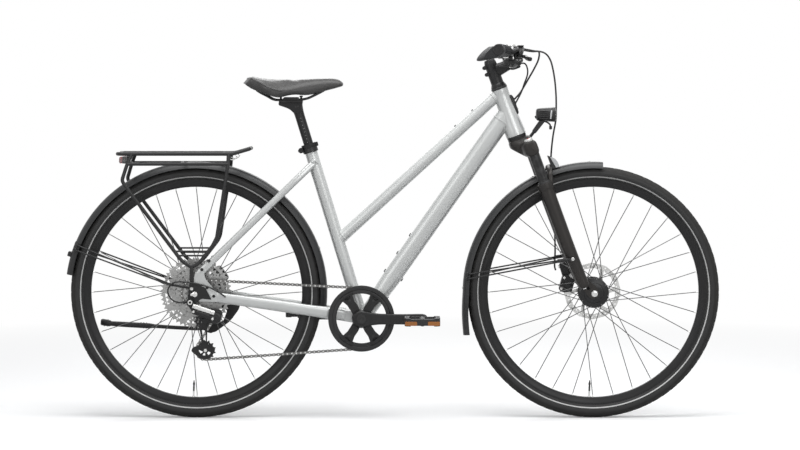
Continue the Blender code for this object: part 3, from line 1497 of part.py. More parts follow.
def fork_lowers():
    """Both legs, the arch that joins them over the tyre, and the fork ends."""
    boss = turned(fork_stay_spot(STANCHION_Y), across, [(0.010, 0.0060), (LEG_BOSS_REACH, 0.0060)], 8)
    left = fused(fork_leg(), fork_end(), boss)
    arch_points = []
    arch_sections = []
    for i in range(9):
        turn = math.pi * i / 8
        y = STANCHION_Y * math.cos(turn)
        rise = math.sin(turn) ** 0.55
        height = -LEG_TOP - 0.008 + (LEG_TOP + 0.008 - ARCH_HEIGHT) * rise
        ahead = STANCHION_OFFSET + ARCH_LEAD * (0.55 + 0.45 * rise)
        arch_points.append(on_fork(height, ahead, y))
        arch_sections.append(oval(0.014, ARCH_THICKNESS + 0.006 * (1 - rise), 6, 3.0))
    arch = sweep(arch_points, arch_sections, steer_forward)
    mount = plate([
        (CALIPER_SEAT + 0.0003, -LEG_FOOT + 0.012),
        (CALIPER_SEAT + 0.0003, -LEG_FOOT + 0.068),
        (STANCHION_OFFSET, -LEG_FOOT + 0.068),
        (STANCHION_OFFSET, -LEG_FOOT + 0.012),
    ], STANCHION_Y - 0.012, STANCHION_Y - 0.002, start=head_base, axes=(steer_forward, across, steer_up))
    bores = []
    for y in (-STANCHION_Y, STANCHION_Y):
        bores.append(turned(on_fork(0, STANCHION_OFFSET, y), steer_up, [
            (-LEG_BORE_END, STANCHION_RADIUS + GAP),
            (-LEG_TOP + 0.02, STANCHION_RADIUS + GAP),
        ], 14))
    return cut(fused(left, mirrored(left), arch, mount), *bores)


def front_caliper():
    """The front caliper behind the left leg."""
    centre = front_axle
    spot = on_fork(-0.445, -0.008) - front_axle
    degrees = math.degrees(math.atan2(spot.z, spot.x))
    low = on_fork(-LEG_FOOT + 0.014, 0) - centre
    high = on_fork(-LEG_FOOT + 0.066, 0) - centre
    corners = []
    for base, ahead in ((low, CALIPER_SEAT), (high, CALIPER_SEAT), (high, CALIPER_SEAT - 0.020),
                        (low, CALIPER_SEAT - 0.020)):
        spot = base + steer_forward * ahead
        corners.append((spot.x, spot.z))
    keep = grown(fork_leg())
    face = plate([(CALIPER_SEAT, -0.60), (CALIPER_SEAT, -0.30), (0.10, -0.30), (0.10, -0.60)],
                 0.0, 0.10, start=head_base, axes=(steer_forward, across, steer_up))
    return caliper(centre, degrees, FRONT_ROTOR_Y, corners, FRONT_ROTOR_Y + CALIPER_WIDTH / 2 - 0.004,
                   STANCHION_Y - 0.003, keep, face)


def rear_caliper():
    """The rear caliper on top of the left chainstay."""
    foot_low = REAR_ROTOR_Y + CALIPER_WIDTH / 2 - 0.004
    corners = [(0.040, 0.0100), (0.060, 0.0062), (0.078, 0.0040), (0.078, 0.030), (0.040, 0.044)]
    return caliper(rear_axle, 36.0, REAR_ROTOR_Y, corners, foot_low, dropout_outside)


def front_mudguard():
    """The front mudguard with its flap, its two stays to the legs and the reflector above."""
    spots = [round_wheel(front_axle, MUDGUARD_RADIUS, 86 + 94 * i / 11) for i in range(12)]
    last = spots[-1]
    spots += [last - up * 0.060 - forward * 0.001, last - up * 0.121 + forward * 0.002]
    low = STANCHION_Y + LEG_BOSS_REACH + GAP
    eye = fork_stay_spot(low + MUDGUARD_STAY_RADIUS + GAP)
    start = round_wheel(front_axle, MUDGUARD_RADIUS - 0.009, 171.5, MUDGUARD_WIDTH / 2 - 0.006)
    left = stay_wire([
        start,
        start + across * 0.010 + forward * 0.004,
        eye - forward * 0.040 - up * 0.005 - across * 0.008,
        eye - forward * 0.011 - up * 0.001,
        eye,
    ], low)
    rise = MUDGUARD_RADIUS - FORK_AXLE_DROP
    face = STANCHION_OFFSET + ARCH_LEAD + 0.007 + GAP
    reflector = plate(rounded([
        (face, rise - 0.0015, 0),
        (face + 0.022, rise - 0.0030, 0),
        (face + 0.021, rise + 0.016, 0.008),
        (face + 0.012, rise + 0.031, 0.008),
        (face + 0.003, rise + 0.033, 0),
        (face, rise + 0.039, 0),
    ], 2), -0.020, 0.020, start=head_base, axes=(steer_forward, across, steer_up))
    return fused(mudguard_band(spots[::-1]), left, mirrored(left), reflector)


def stem():
    """The stem: headset cover, column on the steerer, neck and bar clamp."""
    start = HEAD_TUBE_LENGTH + GAP
    column = turned(head_base, steer_up, [
        (start, HEAD_TUBE_TOP_RADIUS),
        (start + 0.006, HEAD_TUBE_TOP_RADIUS),
        (start + HEADSET_COVER, STEM_RADIUS + 0.0010),
        (STEM_TOP - 0.012, STEM_RADIUS),
        (STEM_TOP, STEM_RADIUS - 0.0035),
    ], 16)
    clamp_centre = on_fork(STEM_HEIGHT, STEM_REACH)
    clamp_radius = BAR_CLAMP_RADIUS + STEM_CLAMP_WALL
    half = STEM_CLAMP_WIDTH / 2
    clamp = turned(clamp_centre, across, [(-half, clamp_radius), (half, clamp_radius)], 16)
    neck = sweep([
        on_fork(STEM_HEIGHT - 0.006, 0.002),
        on_fork(STEM_HEIGHT - 0.004, 0.026),
        on_fork(STEM_HEIGHT, STEM_REACH - 0.008),
    ], [oval(0.030, 0.040, 10, 2.6), oval(0.033, 0.034, 10, 2.6), oval(0.038, 0.032, 10, 2.6)], across)
    ears = plate(rounded([
        (-STEM_RADIUS - 0.008, STEM_TOP - 0.046, 0.004),
        (-STEM_RADIUS + 0.004, STEM_TOP - 0.046, 0),
        (-STEM_RADIUS + 0.004, STEM_TOP - 0.010, 0),
        (-STEM_RADIUS - 0.008, STEM_TOP - 0.010, 0.004),
    ], 1), -0.011, 0.011, start=head_base, axes=(steer_forward, across, steer_up))
    bore = turned(head_base, steer_up, [
        (HEAD_TUBE_LENGTH - 0.01, STEERER_RADIUS + GAP),
        (STEERER_TOP + GAP, STEERER_RADIUS + GAP),
    ], 16)
    loose = BAR_CLAMP_RADIUS + 2 * GAP
    bar_bore = turned(clamp_centre, across, [(-half - 0.01, loose), (half + 0.01, loose)], 14)
    return cut(fused(column, clamp, neck, ears), bore, bar_bore)


def bar_spots():
    """The handlebar's centre line from the stem to the left end."""
    centre = on_fork(STEM_HEIGHT, STEM_REACH)
    return [
        centre,
        centre + across * (STEM_CLAMP_WIDTH / 2 + 0.012),
        centre + across * 0.066 + up * 0.011 - forward * 0.006,
        centre + across * 0.110 + up * 0.024 - forward * 0.015,
        centre + across * 0.150 + up * 0.0285 - forward * 0.0205,
        centre + across * 0.190 + up * 0.0300 - forward * 0.0260,
        centre + across * BAR_HALF_WIDTH + up * 0.0325 - forward * 0.0494,
    ]


def bar_shape(extra=0.0, sides=10):
    """The handlebar, thick in the stem and drawn down towards the grips, grown by an amount."""
    half = bar_spots()
    half[-1] += bar_way() * extra
    half_radii = [BAR_CLAMP_RADIUS, BAR_CLAMP_RADIUS, 0.0135, BAR_RADIUS, BAR_RADIUS, BAR_RADIUS, BAR_RADIUS]
    points = [Vector((p.x, -p.y, p.z)) for p in reversed(half[1:])] + half
    radii = list(reversed(half_radii[1:])) + half_radii
    sections = [oval(2 * (radius + extra), 2 * (radius + extra), sides) for radius in radii]
    return sweep(points, sections, up)


def bar_way():
    """The handlebar's direction in the left grip."""
    spots = bar_spots()
    return (spots[-1] - spots[-2]).normalized()


def bar_spot(y):
    """The point on the left straight of the bar at the given distance from the middle."""
    spots = bar_spots()
    for inner, outer in zip(spots, spots[1:]):
        if inner.y <= y <= outer.y:
            return inner.lerp(outer, (y - inner.y) / (outer.y - inner.y))
    return spots[-1]


def grip():
    """The left grip: a sleeve that spreads into a palm rest behind, closed at its end."""
    way = bar_way()
    end = bar_spots()[-1] + way * 0.004
    start = end - way * GRIP_LENGTH
    back = (-forward - up * 0.22)
    back = (back - way * back.dot(way)).normalized()
    rise = back.cross(way)
    if rise.z < 0:
        rise = -rise
    rings = []
    for share, wing in ((0.0, 0.0), (0.30, 0.008), (0.60, 0.024), (0.86, 0.031), (1.0, 0.022)):
        centre = start.lerp(end, share)
        radius = GRIP_RADIUS * (0.94 if share in (0.0, 1.0) else 1.0)
        ring = []
        for i in range(12):
            turn = 2 * math.pi * i / 12
            ahead = radius * math.cos(turn)
            high = radius * math.sin(turn)
            if ahead > 0:
                ahead *= 1 + wing / radius
                high *= 1 - 0.45 * min(1, wing / 0.03) * math.cos(turn)
                high += wing * 0.12 * math.cos(turn)
            ring.append(centre + back * ahead + rise * high)
        rings.append(ring)
    return cut(loft(rings), bar_shape(GAP))


def clamp_ring(y, radius, width):
    """A clamp round the left side of the bar."""
    centre = bar_spot(y)
    way = (bar_spot(y + 0.005) - bar_spot(y - 0.005)).normalized()
    return turned(centre, way, [(-width / 2, radius), (width / 2, radius)], 12)


def lever_pivot(side):
    """The brake lever's pivot on the given side: 1 is left and -1 is right."""
    centre = bar_spot(lever_clamp_y)
    spot = centre + forward * 0.036 - up * 0.0130 + across * 0.012
    return Vector((spot.x, spot.y * side, spot.z))


def hose_port():
    """Where the hose leaves the left brake body, and the way it sets out."""
    centre = bar_spot(lever_clamp_y)
    end = centre + forward * 0.028 + up * 0.004 - across * 0.052
    way = (end - (centre + forward * 0.029 + up * 0.001 - across * 0.020)).normalized()
    return end + way * (4 * GAP), way


def brake_body():
    """The left brake lever's body: clamp, slanting cylinder and the fork that holds the lever."""
    centre = bar_spot(lever_clamp_y)
    ring = clamp_ring(lever_clamp_y, LEVER_CLAMP_RADIUS, LEVER_CLAMP_WIDTH)
    cylinder = sweep([
        centre + forward * 0.028 + up * 0.004 - across * 0.052,
        centre + forward * 0.029 + up * 0.001 - across * 0.020,
        centre + forward * 0.030 - up * 0.006 + across * 0.008,
    ], [oval(0.016, 0.016, 8, 2.4), oval(0.019, 0.022, 8, 2.6), oval(0.018, 0.020, 8, 2.6)], up)
    neck = tube([centre + forward * 0.010, centre + forward * 0.024 - up * 0.001], 0.0085, 6)
    spot = lever_pivot(1)
    jaw = plate(link((spot.x, spot.y), 0.0075, (spot.x - 0.008, spot.y - 0.014), 0.0090, 4),
                spot.z - 0.0080, spot.z + 0.0080, axes=(forward, up, across))
    slot = plate([
        (spot.x - 0.0085, spot.y - 0.0085),
        (spot.x + 0.0200, spot.y - 0.0085),
        (spot.x + 0.0200, spot.y + 0.0300),
        (spot.x - 0.0085, spot.y + 0.0300),
    ], spot.z - 0.0042, spot.z + 0.0042, axes=(forward, up, across))
    pin = turned(spot, up, [(-0.0060, 0.0022), (0.0060, 0.0022)], 8)
    body = cut(fused(ring, cylinder, neck, jaw), slot, bar_shape(GAP))
    return fused(body, pin)


def brake_lever():
    """The left brake lever: an eye on the pivot and a curved blade with a hooked tip."""
    spot = lever_pivot(1)
    eye = turned(spot, up, [(-0.0038, 0.0068), (0.0038, 0.0068)], 10)
    blade = sweep([
        spot + across * 0.002,
        spot + across * 0.022 + forward * 0.006,
        spot + across * 0.050 + forward * 0.006 - up * 0.001,
        spot + across * 0.082 + forward * 0.000 - up * 0.002,
        spot + across * 0.094 + forward * 0.005 - up * 0.003,
        spot + across * 0.098 + forward * 0.009 - up * 0.003,
    ], [
        oval(0.0070, 0.0070, 6, 3.0),
        oval(0.0085, 0.0072, 6, 3.0),
        oval(0.0120, 0.0062, 6, 3.0),
        oval(0.0120, 0.0060, 6, 3.0),
        oval(0.0100, 0.0060, 6, 3.0),
        oval(0.0060, 0.0050, 6, 3.0),
    ], up)
    bore = turned(spot, up, [(-0.01, 0.0022 + 2 * GAP), (0.01, 0.0022 + 2 * GAP)], 8)
    return cut(fused(eye, blade), bore)


def shifter_pivot():
    """The shift lever's pivot below the right side of the bar."""
    centre = bar_spot(shifter_y)
    spot = centre + forward * 0.006 - up * 0.0345
    return Vector((spot.x, -spot.y, spot.z))


def cable_port():
    """Where the shift cable leaves the shifter, and the way it sets out."""
    spot = shifter_pivot()
    nose = spot + up * 0.006 + forward * 0.030 + across * 0.008
    way = (nose - (spot + up * 0.009)).normalized()
    return nose + way * (4 * GAP), way


def shifter_body():
    """The shifter: a flat round case that hangs below the bar on a clamp."""
    ring = mirrored(clamp_ring(shifter_y, 0.0135, 0.010))
    spot = shifter_pivot()
    case = turned(spot, up, [(0.0010, 0.0150), (0.0030, 0.0185), (0.0150, 0.0185), (0.0180, 0.0140)], 12)
    nose = tube([spot + up * 0.009, spot + up * 0.006 + forward * 0.030 + across * 0.008], 0.0060, 6)
    neck = tube([spot + up * 0.012 - forward * 0.003, spot + up * 0.0240 - forward * 0.006], 0.0060, 6)
    pin = turned(spot, up, [(-0.0068, 0.0030), (0.0060, 0.0030)], 8)
    return fused(cut(fused(ring, case, nose, neck), bar_shape(GAP)), pin)


def shift_lever():
    """The shift lever: a plate on the shifter's pin with a thumb pad behind."""
    spot = shifter_pivot()
    outline = link((spot.x, spot.y), 0.0100, (spot.x - 0.022, spot.y + 0.020), 0.0075)
    hole = circle((spot.x, spot.y), 0.0030 + 2 * GAP, 8)
    return plate(outline, spot.z - 0.0048, spot.z + 0.0010 - 2 * GAP, [hole], axes=(forward, up, across))


def bell():
    """The bell: a dome on a small clamp on the left of the bar."""
    centre = bar_spot(BELL_Y)
    ring = clamp_ring(BELL_Y, 0.0155, 0.008)
    stalk = tube([centre + up * 0.010, centre + up * 0.0235 - forward * 0.001], 0.0042, 6)
    dome = turned(centre + up * 0.0220 - forward * 0.001, up, [
        (0, 0.0145),
        (0.0035, 0.0145),
        (0.0080, 0.0120),
        (0.0105, 0.0070),
    ], 14)
    return cut(fused(ring, stalk, dome), bar_shape(GAP))


def headlight_pivot():
    """The headlight's tilt axis, in front of the crown."""
    return on_fork(*HEADLIGHT_ON_FORK)


def headlight_bracket():
    """The lug on the front of the crown that carries the headlight."""
    spot = headlight_pivot()
    start = on_fork(-0.022, 0.026)
    arm = sweep([start, start.lerp(spot, 0.6), spot], [oval(0.016, 0.009, 8, 3.0)] * 3, across)
    eye = turned(spot, across, [(-0.0080, 0.0055), (0.0080, 0.0055)], 12)
    pin = turned(spot, across, [(-0.0140, 0.0022), (0.0140, 0.0022)], 8)
    return cut(fused(arm, eye, pin), grown(fork_crown()), head_tube_skin(GAP, 0.040))


def headlight():
    """The headlight: a rounded box with a wide lens, on two arms that straddle the bracket."""
    spot = headlight_pivot()
    middle = on_fork(0.0271, 0.0980)
    rings = []
    for x, wide, tall in ((-0.0275, 0.036, 0.024), (-0.0245, 0.046, 0.033), (0.0000, 0.054, 0.038),
                          (0.0240, 0.060, 0.041), (0.0272, 0.056, 0.037)):
        centre = middle + forward * x
        rings.append([centre + across * u + up * v for u, v in oval(wide, tall, 14, 2.8)])
    arms = []
    for low in (-0.0120, 0.0120 - 0.0035):
        outline = link((spot.x, spot.z), 0.0058, (middle.x - 0.0075, middle.z - 0.0140), 0.0070, 4)
        arms.append(plate(outline, low, low + 0.0035))
    loose = 0.0022 + 2 * GAP
    bore = turned(spot, across, [(-0.02, loose), (0.02, loose)], 8)
    return cut(fused(loft(rings), *arms), bore)


def saddle_shape():
    """The saddle's cushion: wide behind, a slim nose, a crown and a hollow underside."""
    rear = SADDLE_X - SADDLE_LENGTH / 2
    stations = (
        (0.000, 0.046, 0.9480, 0.9390, 0.003),
        (0.020, 0.064, 0.9590, 0.9270, 0.007),
        (0.080, 0.0820, 0.9625, 0.9140, 0.014),
        (0.200, 0.0840, 0.9600, 0.9060, 0.018),
        (0.330, 0.0750, 0.9560, 0.9020, 0.021),
        (0.460, 0.0580, 0.9530, 0.9020, 0.021),
        (0.600, 0.0400, 0.9540, 0.9060, 0.018),
        (0.760, 0.0250, 0.9570, 0.9160, 0.014),
        (0.900, 0.0220, 0.9580, 0.9260, 0.009),
        (0.975, 0.0180, 0.9530, 0.9320, 0.005),
        (1.000, 0.0100, 0.9450, 0.9360, 0.002),
    )
    rings = []
    for share, half, top, skirt, hollow in stations:
        x = rear + SADDLE_LENGTH * share
        crown = [(-1.0, 0.35), (-0.93, 0.68), (-0.70, 0.90), (-0.36, 0.99), (0.0, 0.97),
                 (0.36, 0.99), (0.70, 0.90), (0.93, 0.68), (1.0, 0.35)]
        ring = [Vector((x, u * half, skirt + (top - skirt) * v)) for u, v in crown]
        under = [(0.90, 0.0), (0.66, 0.9), (0.0, 1.0), (-0.66, 0.9), (-0.90, 0.0)]
        ring += [Vector((x, u * half, skirt + hollow * v)) for u, v in under]
        rings.append(ring)
    return loft(rings)


def rail_spots(over=0.0):
    """The saddle rails: one wire from the rear edge, round the nose and back."""
    low = SADDLE_TOP - RAIL_DROP
    half = [
        Vector((SADDLE_X - 0.104 - over, 0.034 + over, low + 0.030 + over)),
        Vector((SADDLE_X - 0.092, 0.031, low + 0.016)),
        Vector((SADDLE_X - 0.076, RAIL_Y + 0.001, low)),
        Vector((SADDLE_X - 0.040, RAIL_Y, low)),
        Vector((SADDLE_X + 0.010, RAIL_Y, low)),
        Vector((SADDLE_X + 0.053, RAIL_Y - 0.001, low)),
        Vector((SADDLE_X + 0.082, 0.014, low + 0.016)),
        Vector((SADDLE_X + 0.096, 0.006, low + 0.029)),
    ]
    return [Vector((p.x, -p.y, p.z)) for p in half] + half[::-1]


def saddle_rails():
    """Both rails as one bent wire."""
    return tube(rail_spots(), RAIL_RADIUS, 6)


def saddle():
    """The cushion with the sockets that hold the rails."""
    return cut(saddle_shape(), tube(rail_spots(GAP), RAIL_RADIUS + 2 * GAP, 6))


def seatpost():
    """The post and the clamp on its head, bored for the rails."""
    top = SEAT_TUBE_LENGTH + POST_SHOWN
    post = turned(bottom_bracket, seat_up, [(top - POST_LENGTH, POST_RADIUS), (top, POST_RADIUS)], 16)
    head = on_seat(top)
    low = SADDLE_TOP - RAIL_DROP
    block = plate(rounded([
        (head.x - 0.046, low - 0.0085, 0.004),
        (head.x - 0.014, head.z - 0.022, 0.004),
        (head.x + 0.014, head.z - 0.022, 0.004),
        (head.x + 0.018, low - 0.0045, 0.004),
        (head.x + 0.018, low + 0.0065, 0.004),
        (head.x - 0.046, low + 0.0065, 0.004),
    ], 1), -RAIL_Y - 0.0065, RAIL_Y + 0.0065)
    return cut(fused(post, block), tube(rail_spots(), RAIL_RADIUS + GAP, 6))


def hose(points, radius, steps):
    """A brake hose or shift cable along its route."""
    return tube(curve(points, steps), radius, 5)


def front_hose():
    """The front brake hose, from the left lever down behind the light to the caliper."""
    start, way = hose_port()
    return hose([
        start,
        start + way * 0.008,
        start + way * 0.026 + forward * 0.016,
        on_fork(0.1648, 0.1231, 0.068),
        on_fork(0.1158, 0.1350, 0.050),
        on_fork(0.0639, 0.1316, 0.045),
        on_fork(0.0165, 0.1154, 0.044),
        on_fork(-0.0383, 0.0907, 0.044),
        on_fork(-0.0843, 0.0707, 0.047),
        on_fork(-0.1239, 0.0627, 0.0560),
        on_fork(-0.1851, 0.0553, 0.0900),
        on_fork(-0.2596, 0.0261, 0.0925),
        on_fork(-0.3448, -0.0028, 0.0900),
        on_fork(-0.3864, -0.0201, 0.0780),
        on_fork(-0.3993, -0.0226, 0.0660),
    ], HOSE_RADIUS, 2)


def rear_hose():
    """The rear brake hose's front run, from the right lever to the head tube."""
    start, way = hose_port()
    start.y = -start.y
    way.y = -way.y
    end = on_fork(0.098, PORT_BOSS_FRONT + 4 * GAP, 0.0058)
    return hose([
        start,
        start + way * 0.008,
        start + way * 0.026 + forward * 0.018,
        on_fork(0.1749, 0.1246, -0.040),
        on_fork(0.1426, 0.1022, -0.014),
        on_fork(0.1095, 0.0646, 0.004),
        end + steer_forward * 0.008,
        end,
    ], HOSE_RADIUS, 2)


def front_shift_cable():
    """The shift cable's front run, from the shifter to the head tube."""
    start, way = cable_port()
    end = on_fork(0.088, PORT_BOSS_FRONT + 4 * GAP, -0.0060)
    return hose([
        start,
        start + way * 0.010,
        on_fork(0.1500, 0.0879, -0.084),
        on_fork(0.1144, 0.0686, -0.040),
        end + steer_forward * 0.010,
        end,
    ], CABLE_RADIUS, 2)


def rear_shift_cable():
    """The shift cable's rear run: along the chainstay, behind the dropout, into the derailleur."""
    outside = -dropout_outside
    end = beside(rear_axle, (HANGER_BOLT[0] - 0.0105 - GAP, HANGER_BOLT[1]), outside - 0.0085)
    return hose([
        beside(rear_axle, (0.0860, -0.0080), outside - 0.0006),
        beside(rear_axle, (0.0600, 0.0110), outside - 0.0070),
        beside(rear_axle, (0.0240, 0.0260), outside - 0.0125),
        beside(rear_axle, (-0.0220, 0.0350), outside - 0.0140),
        beside(rear_axle, (-0.0580, 0.0330), outside - 0.0140),
        beside(rear_axle, (-0.0740, 0.0120), outside - 0.0130),
        beside(rear_axle, (-0.0660, -0.0110), outside - 0.0110),
        beside(rear_axle, (-0.0480, -0.0220), outside - 0.0090),
        end - forward * 0.010,
        end,
    ], CABLE_RADIUS, 2)


pivot("frame", origin)
pivot("seatpost", on_seat(SEAT_TUBE_LENGTH), "frame")
pivot("steering", head_base, "frame")
pivot("lowers", on_fork(-LEG_TOP, STANCHION_OFFSET), "steering")
pivot("front_wheel", front_axle, "lowers")
pivot("rear_wheel", rear_axle, "frame")
pivot("cassette", rear_axle, "frame")
pivot("crank", bottom_bracket, "frame")
pivot("right_pedal", bottom_bracket + forward * CRANK_LENGTH - across * pedal_inside, "crank")
pivot("left_pedal", bottom_bracket - forward * CRANK_LENGTH + across * pedal_inside, "crank")
pivot("guide_pulley", beside(rear_axle, GUIDE_PULLEY, -CHAINLINE), "frame")
pivot("tension_pulley", beside(rear_axle, TENSION_PULLEY, -CHAINLINE), "frame")
pivot("kickstand", beside(rear_axle, STAND_PIVOT[:2], STAND_PIVOT[2]), "frame")
pivot("headlight", headlight_pivot(), "steering")
pivot("lockout", on_fork(LOCKOUT_BASE, STANCHION_OFFSET - 0.001, -STANCHION_Y), "steering")
pivot("left_lever", lever_pivot(1), "steering")
pivot("right_lever", lever_pivot(-1), "steering")
pivot("shift_lever", shifter_pivot(), "steering")

piece("head_tube", head_tube(), "frame", "pearl")
piece("top_tube", top_tube(), "frame", "pearl")
piece("down_tube", down_tube(), "frame", "pearl")
piece("seat_tube", seat_tube(), "frame", "pearl")
piece("chainstays", chainstay_pair(), "frame", "pearl")
piece("seatstays", seatstay_pair(), "frame", "pearl")
piece("seat_clamp", seat_clamp(), "frame", "black")
piece("bottom_bracket", bearing_unit(), "frame", "black")
piece("rear_mudguard", rear_mudguard(), "frame", "plastic")
piece("rack", rack(), "frame", "black")
piece("tail_light", tail_light(), "frame", "red")
piece("rear_axle", stepped_axle(rear_axle, dropout_inside - GAP, dropout_outside,
                                REAR_ROTOR_Y + 0.0045 + GAP, dropout_inside - 0.0048 + GAP),
      "frame", "steel")
piece("rear_caliper", rear_caliper(), "frame", "black")
piece("derailleur_body", derailleur_body(), "frame", "satin")
piece("derailleur_cage", derailleur_cage(), "frame", "satin")
piece("chain", chain(), "frame", "steel")
piece("kickstand_bracket", kickstand_bracket(), "frame", "black")
piece("shift_cable_rear", rear_shift_cable(), "frame", "rubber")

piece("seatpost", seatpost(), "seatpost", "black")
piece("saddle_rails", saddle_rails(), "seatpost", "steel")
piece("saddle", saddle(), "seatpost", "saddle")

piece("fork_crown", fork_crown(), "steering", "satin")
piece("stem", stem(), "steering", "black")
piece("handlebar", bar_shape(), "steering", "black")
piece("grip_left", grip(), "steering", "grip")
piece("grip_right", mirrored(grip()), "steering", "grip")
piece("brake_body_left", brake_body(), "steering", "black")
piece("brake_body_right", mirrored(brake_body()), "steering", "black")
piece("shifter_body", shifter_body(), "steering", "plastic")
piece("bell", bell(), "steering", "alloy")
piece("headlight_bracket", headlight_bracket(), "steering", "black")
piece("front_brake_hose", front_hose(), "steering", "rubber")
piece("rear_brake_hose", rear_hose(), "steering", "rubber")
piece("shift_cable_front", front_shift_cable(), "steering", "rubber")
piece("headlight", headlight(), "headlight", "plastic")
piece("lockout_knob", lockout_knob(), "lockout", "alloy")
piece("brake_lever_left", brake_lever(), "left_lever", "satin")
piece("brake_lever_right", mirrored(brake_lever()), "right_lever", "satin")
piece("shift_lever", shift_lever(), "shift_lever", "plastic")

piece("fork_lowers", fork_lowers(), "lowers", "satin")
piece("front_axle", stepped_axle(front_axle, FRONT_OLD / 2, fork_end_outside,
                                 FRONT_ROTOR_Y + 0.0045 + GAP, 0.0460 + GAP), "lowers", "steel")
piece("front_caliper", front_caliper(), "lowers", "black")
piece("front_mudguard", front_mudguard(), "lowers", "plastic")

piece("front_tyre", tyre(front_axle), "front_wheel", "rubber")
piece("front_rim", rim(front_axle), "front_wheel", "black")
piece("front_hub", front_hub(), "front_wheel", "satin")
piece("front_rotor", rotor(front_axle, FRONT_ROTOR_Y), "front_wheel", "steel")
piece("rear_tyre", tyre(rear_axle), "rear_wheel", "rubber")
piece("rear_rim", rim(rear_axle), "rear_wheel", "black")
piece("rear_hub", rear_hub(), "rear_wheel", "satin")
piece("rear_rotor", rotor(rear_axle, REAR_ROTOR_Y), "rear_wheel", "steel")
piece("cassette", cassette(), "cassette", "alloy", 20.0)

piece("right_crank", right_crank(), "crank", "black")
piece("left_crank", left_crank(), "crank", "black")
piece("chainring", chainring(), "crank", "black")
piece("pedal_right", pedal(bottom_bracket + forward * CRANK_LENGTH, -across), "right_pedal", "plastic")
piece("pedal_left", pedal(bottom_bracket - forward * CRANK_LENGTH, across), "left_pedal", "plastic")
piece("guide_pulley", pulley(GUIDE_PULLEY, GUIDE_TEETH), "guide_pulley", "plastic")
piece("tension_pulley", pulley(TENSION_PULLEY, TENSION_TEETH), "tension_pulley", "plastic")
piece("kickstand", kickstand(), "kickstand", "black")
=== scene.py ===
# City bike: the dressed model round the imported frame. +X forward, +Z up, chain on the -Y side.
# Lengths are millimetres until a mesh is made, and metres from there on.
from math import acos, asin, atan2, copysign, cos, dist, pi, radians, sin

import bmesh
import bpy
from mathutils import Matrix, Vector
from mathutils.bvhtree import BVHTree


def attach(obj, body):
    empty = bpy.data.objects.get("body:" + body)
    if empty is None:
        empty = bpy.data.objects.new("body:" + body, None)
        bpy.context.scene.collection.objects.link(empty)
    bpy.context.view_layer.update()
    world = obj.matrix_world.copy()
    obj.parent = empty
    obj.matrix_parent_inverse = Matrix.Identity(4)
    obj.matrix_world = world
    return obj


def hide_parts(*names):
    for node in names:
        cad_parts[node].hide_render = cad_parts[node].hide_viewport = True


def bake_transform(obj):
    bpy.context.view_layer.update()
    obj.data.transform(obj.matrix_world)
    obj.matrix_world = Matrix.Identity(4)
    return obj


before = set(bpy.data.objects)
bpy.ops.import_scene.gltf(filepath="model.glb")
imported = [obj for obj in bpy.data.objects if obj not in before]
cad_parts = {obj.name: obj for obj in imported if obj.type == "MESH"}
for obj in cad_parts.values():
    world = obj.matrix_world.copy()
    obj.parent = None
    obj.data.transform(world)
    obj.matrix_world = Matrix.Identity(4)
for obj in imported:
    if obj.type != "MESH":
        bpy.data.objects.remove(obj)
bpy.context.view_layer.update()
print("packed bike loaded:", len(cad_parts), "nodes")

mm = 0.001
forward = Vector((1, 0, 0))
across = Vector((0, 1, 0))
up = Vector((0, 0, 1))
origin = Vector((0, 0, 0))

# Where the bike's main axes lie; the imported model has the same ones
bike = {
    "rearAxle": Vector((-553.3, 0, 354)),
    "frontAxle": Vector((563.7, 0, 354)),
    "bottomBracket": Vector((-88.7, 0, 284.1)),
    "headBase": Vector((346.1, 0, 795)),
    "headAngle": radians(70),
    "seatAngle": radians(73),
}
rearAxle = bike["rearAxle"]
frontAxle = bike["frontAxle"]
bottomBracket = bike["bottomBracket"]
headBase = bike["headBase"]
steerUp = Vector((-cos(bike["headAngle"]), 0, sin(bike["headAngle"])))
steerForward = Vector((sin(bike["headAngle"]), 0, cos(bike["headAngle"])))
seatUp = Vector((-cos(bike["seatAngle"]), 0, sin(bike["seatAngle"])))
seatForward = Vector((sin(bike["seatAngle"]), 0, cos(bike["seatAngle"])))
forkAxes = (steerForward, across, steerUp)
seatAxes = (seatForward, across, seatUp)
flatAxes = (forward, up, across)


# The camera and the helpers come first

cameraSet = {"place": (0.0194, -7.5, 0.9593), "tilt": 3.174, "lens": 120.1}


def placeCamera():
    data = bpy.data.cameras.new("viewCamera")
    data.lens = cameraSet["lens"]
    data.sensor_width = 36
    data.clip_end = 60
    camera = bpy.data.objects.new("viewCamera", data)
    camera.location = cameraSet["place"]
    camera.rotation_euler = (radians(90 - cameraSet["tilt"]), 0, 0)
    bpy.context.collection.objects.link(camera)
    bpy.context.scene.camera = camera


placeCamera()


# Points on the bike

def onFork(height, ahead, y=0):
    return headBase + steerUp * height + steerForward * ahead + across * y


def onSeat(height, y=0, ahead=0):
    return bottomBracket + seatUp * height + seatForward * ahead + across * y


def beside(centre, pair, y=0):
    return centre + forward * pair[0] + up * pair[1] + across * y


def outAt(degrees):
    turn = radians(degrees)
    return forward * cos(turn) + up * sin(turn)


def atRear(ahead, height, y=0):
    return rearAxle + forward * ahead + up * height + across * y


def polar(radius, turn):
    return radius * cos(turn), radius * sin(turn)


def roundWheel(centre, radius, degrees, y=0):
    return centre + outAt(degrees) * radius + across * y


# Shapes: each is (points, faces, finish number)

def skinOver(rings, closed=False, finish=0):
    count = len(rings[0])
    points = [point for ring in rings for point in ring]
    faces = []
    for i in range(len(rings) if closed else len(rings) - 1):
        near = i * count
        far = (i + 1) % len(rings) * count
        for j in range(count):
            k = (j + 1) % count
            faces.append((near + j, near + k, far + k, far + j))
    if not closed:
        faces.append(tuple(range(count)))
        faces.append(tuple(range(len(points) - count, len(points))))
    return points, faces, finish


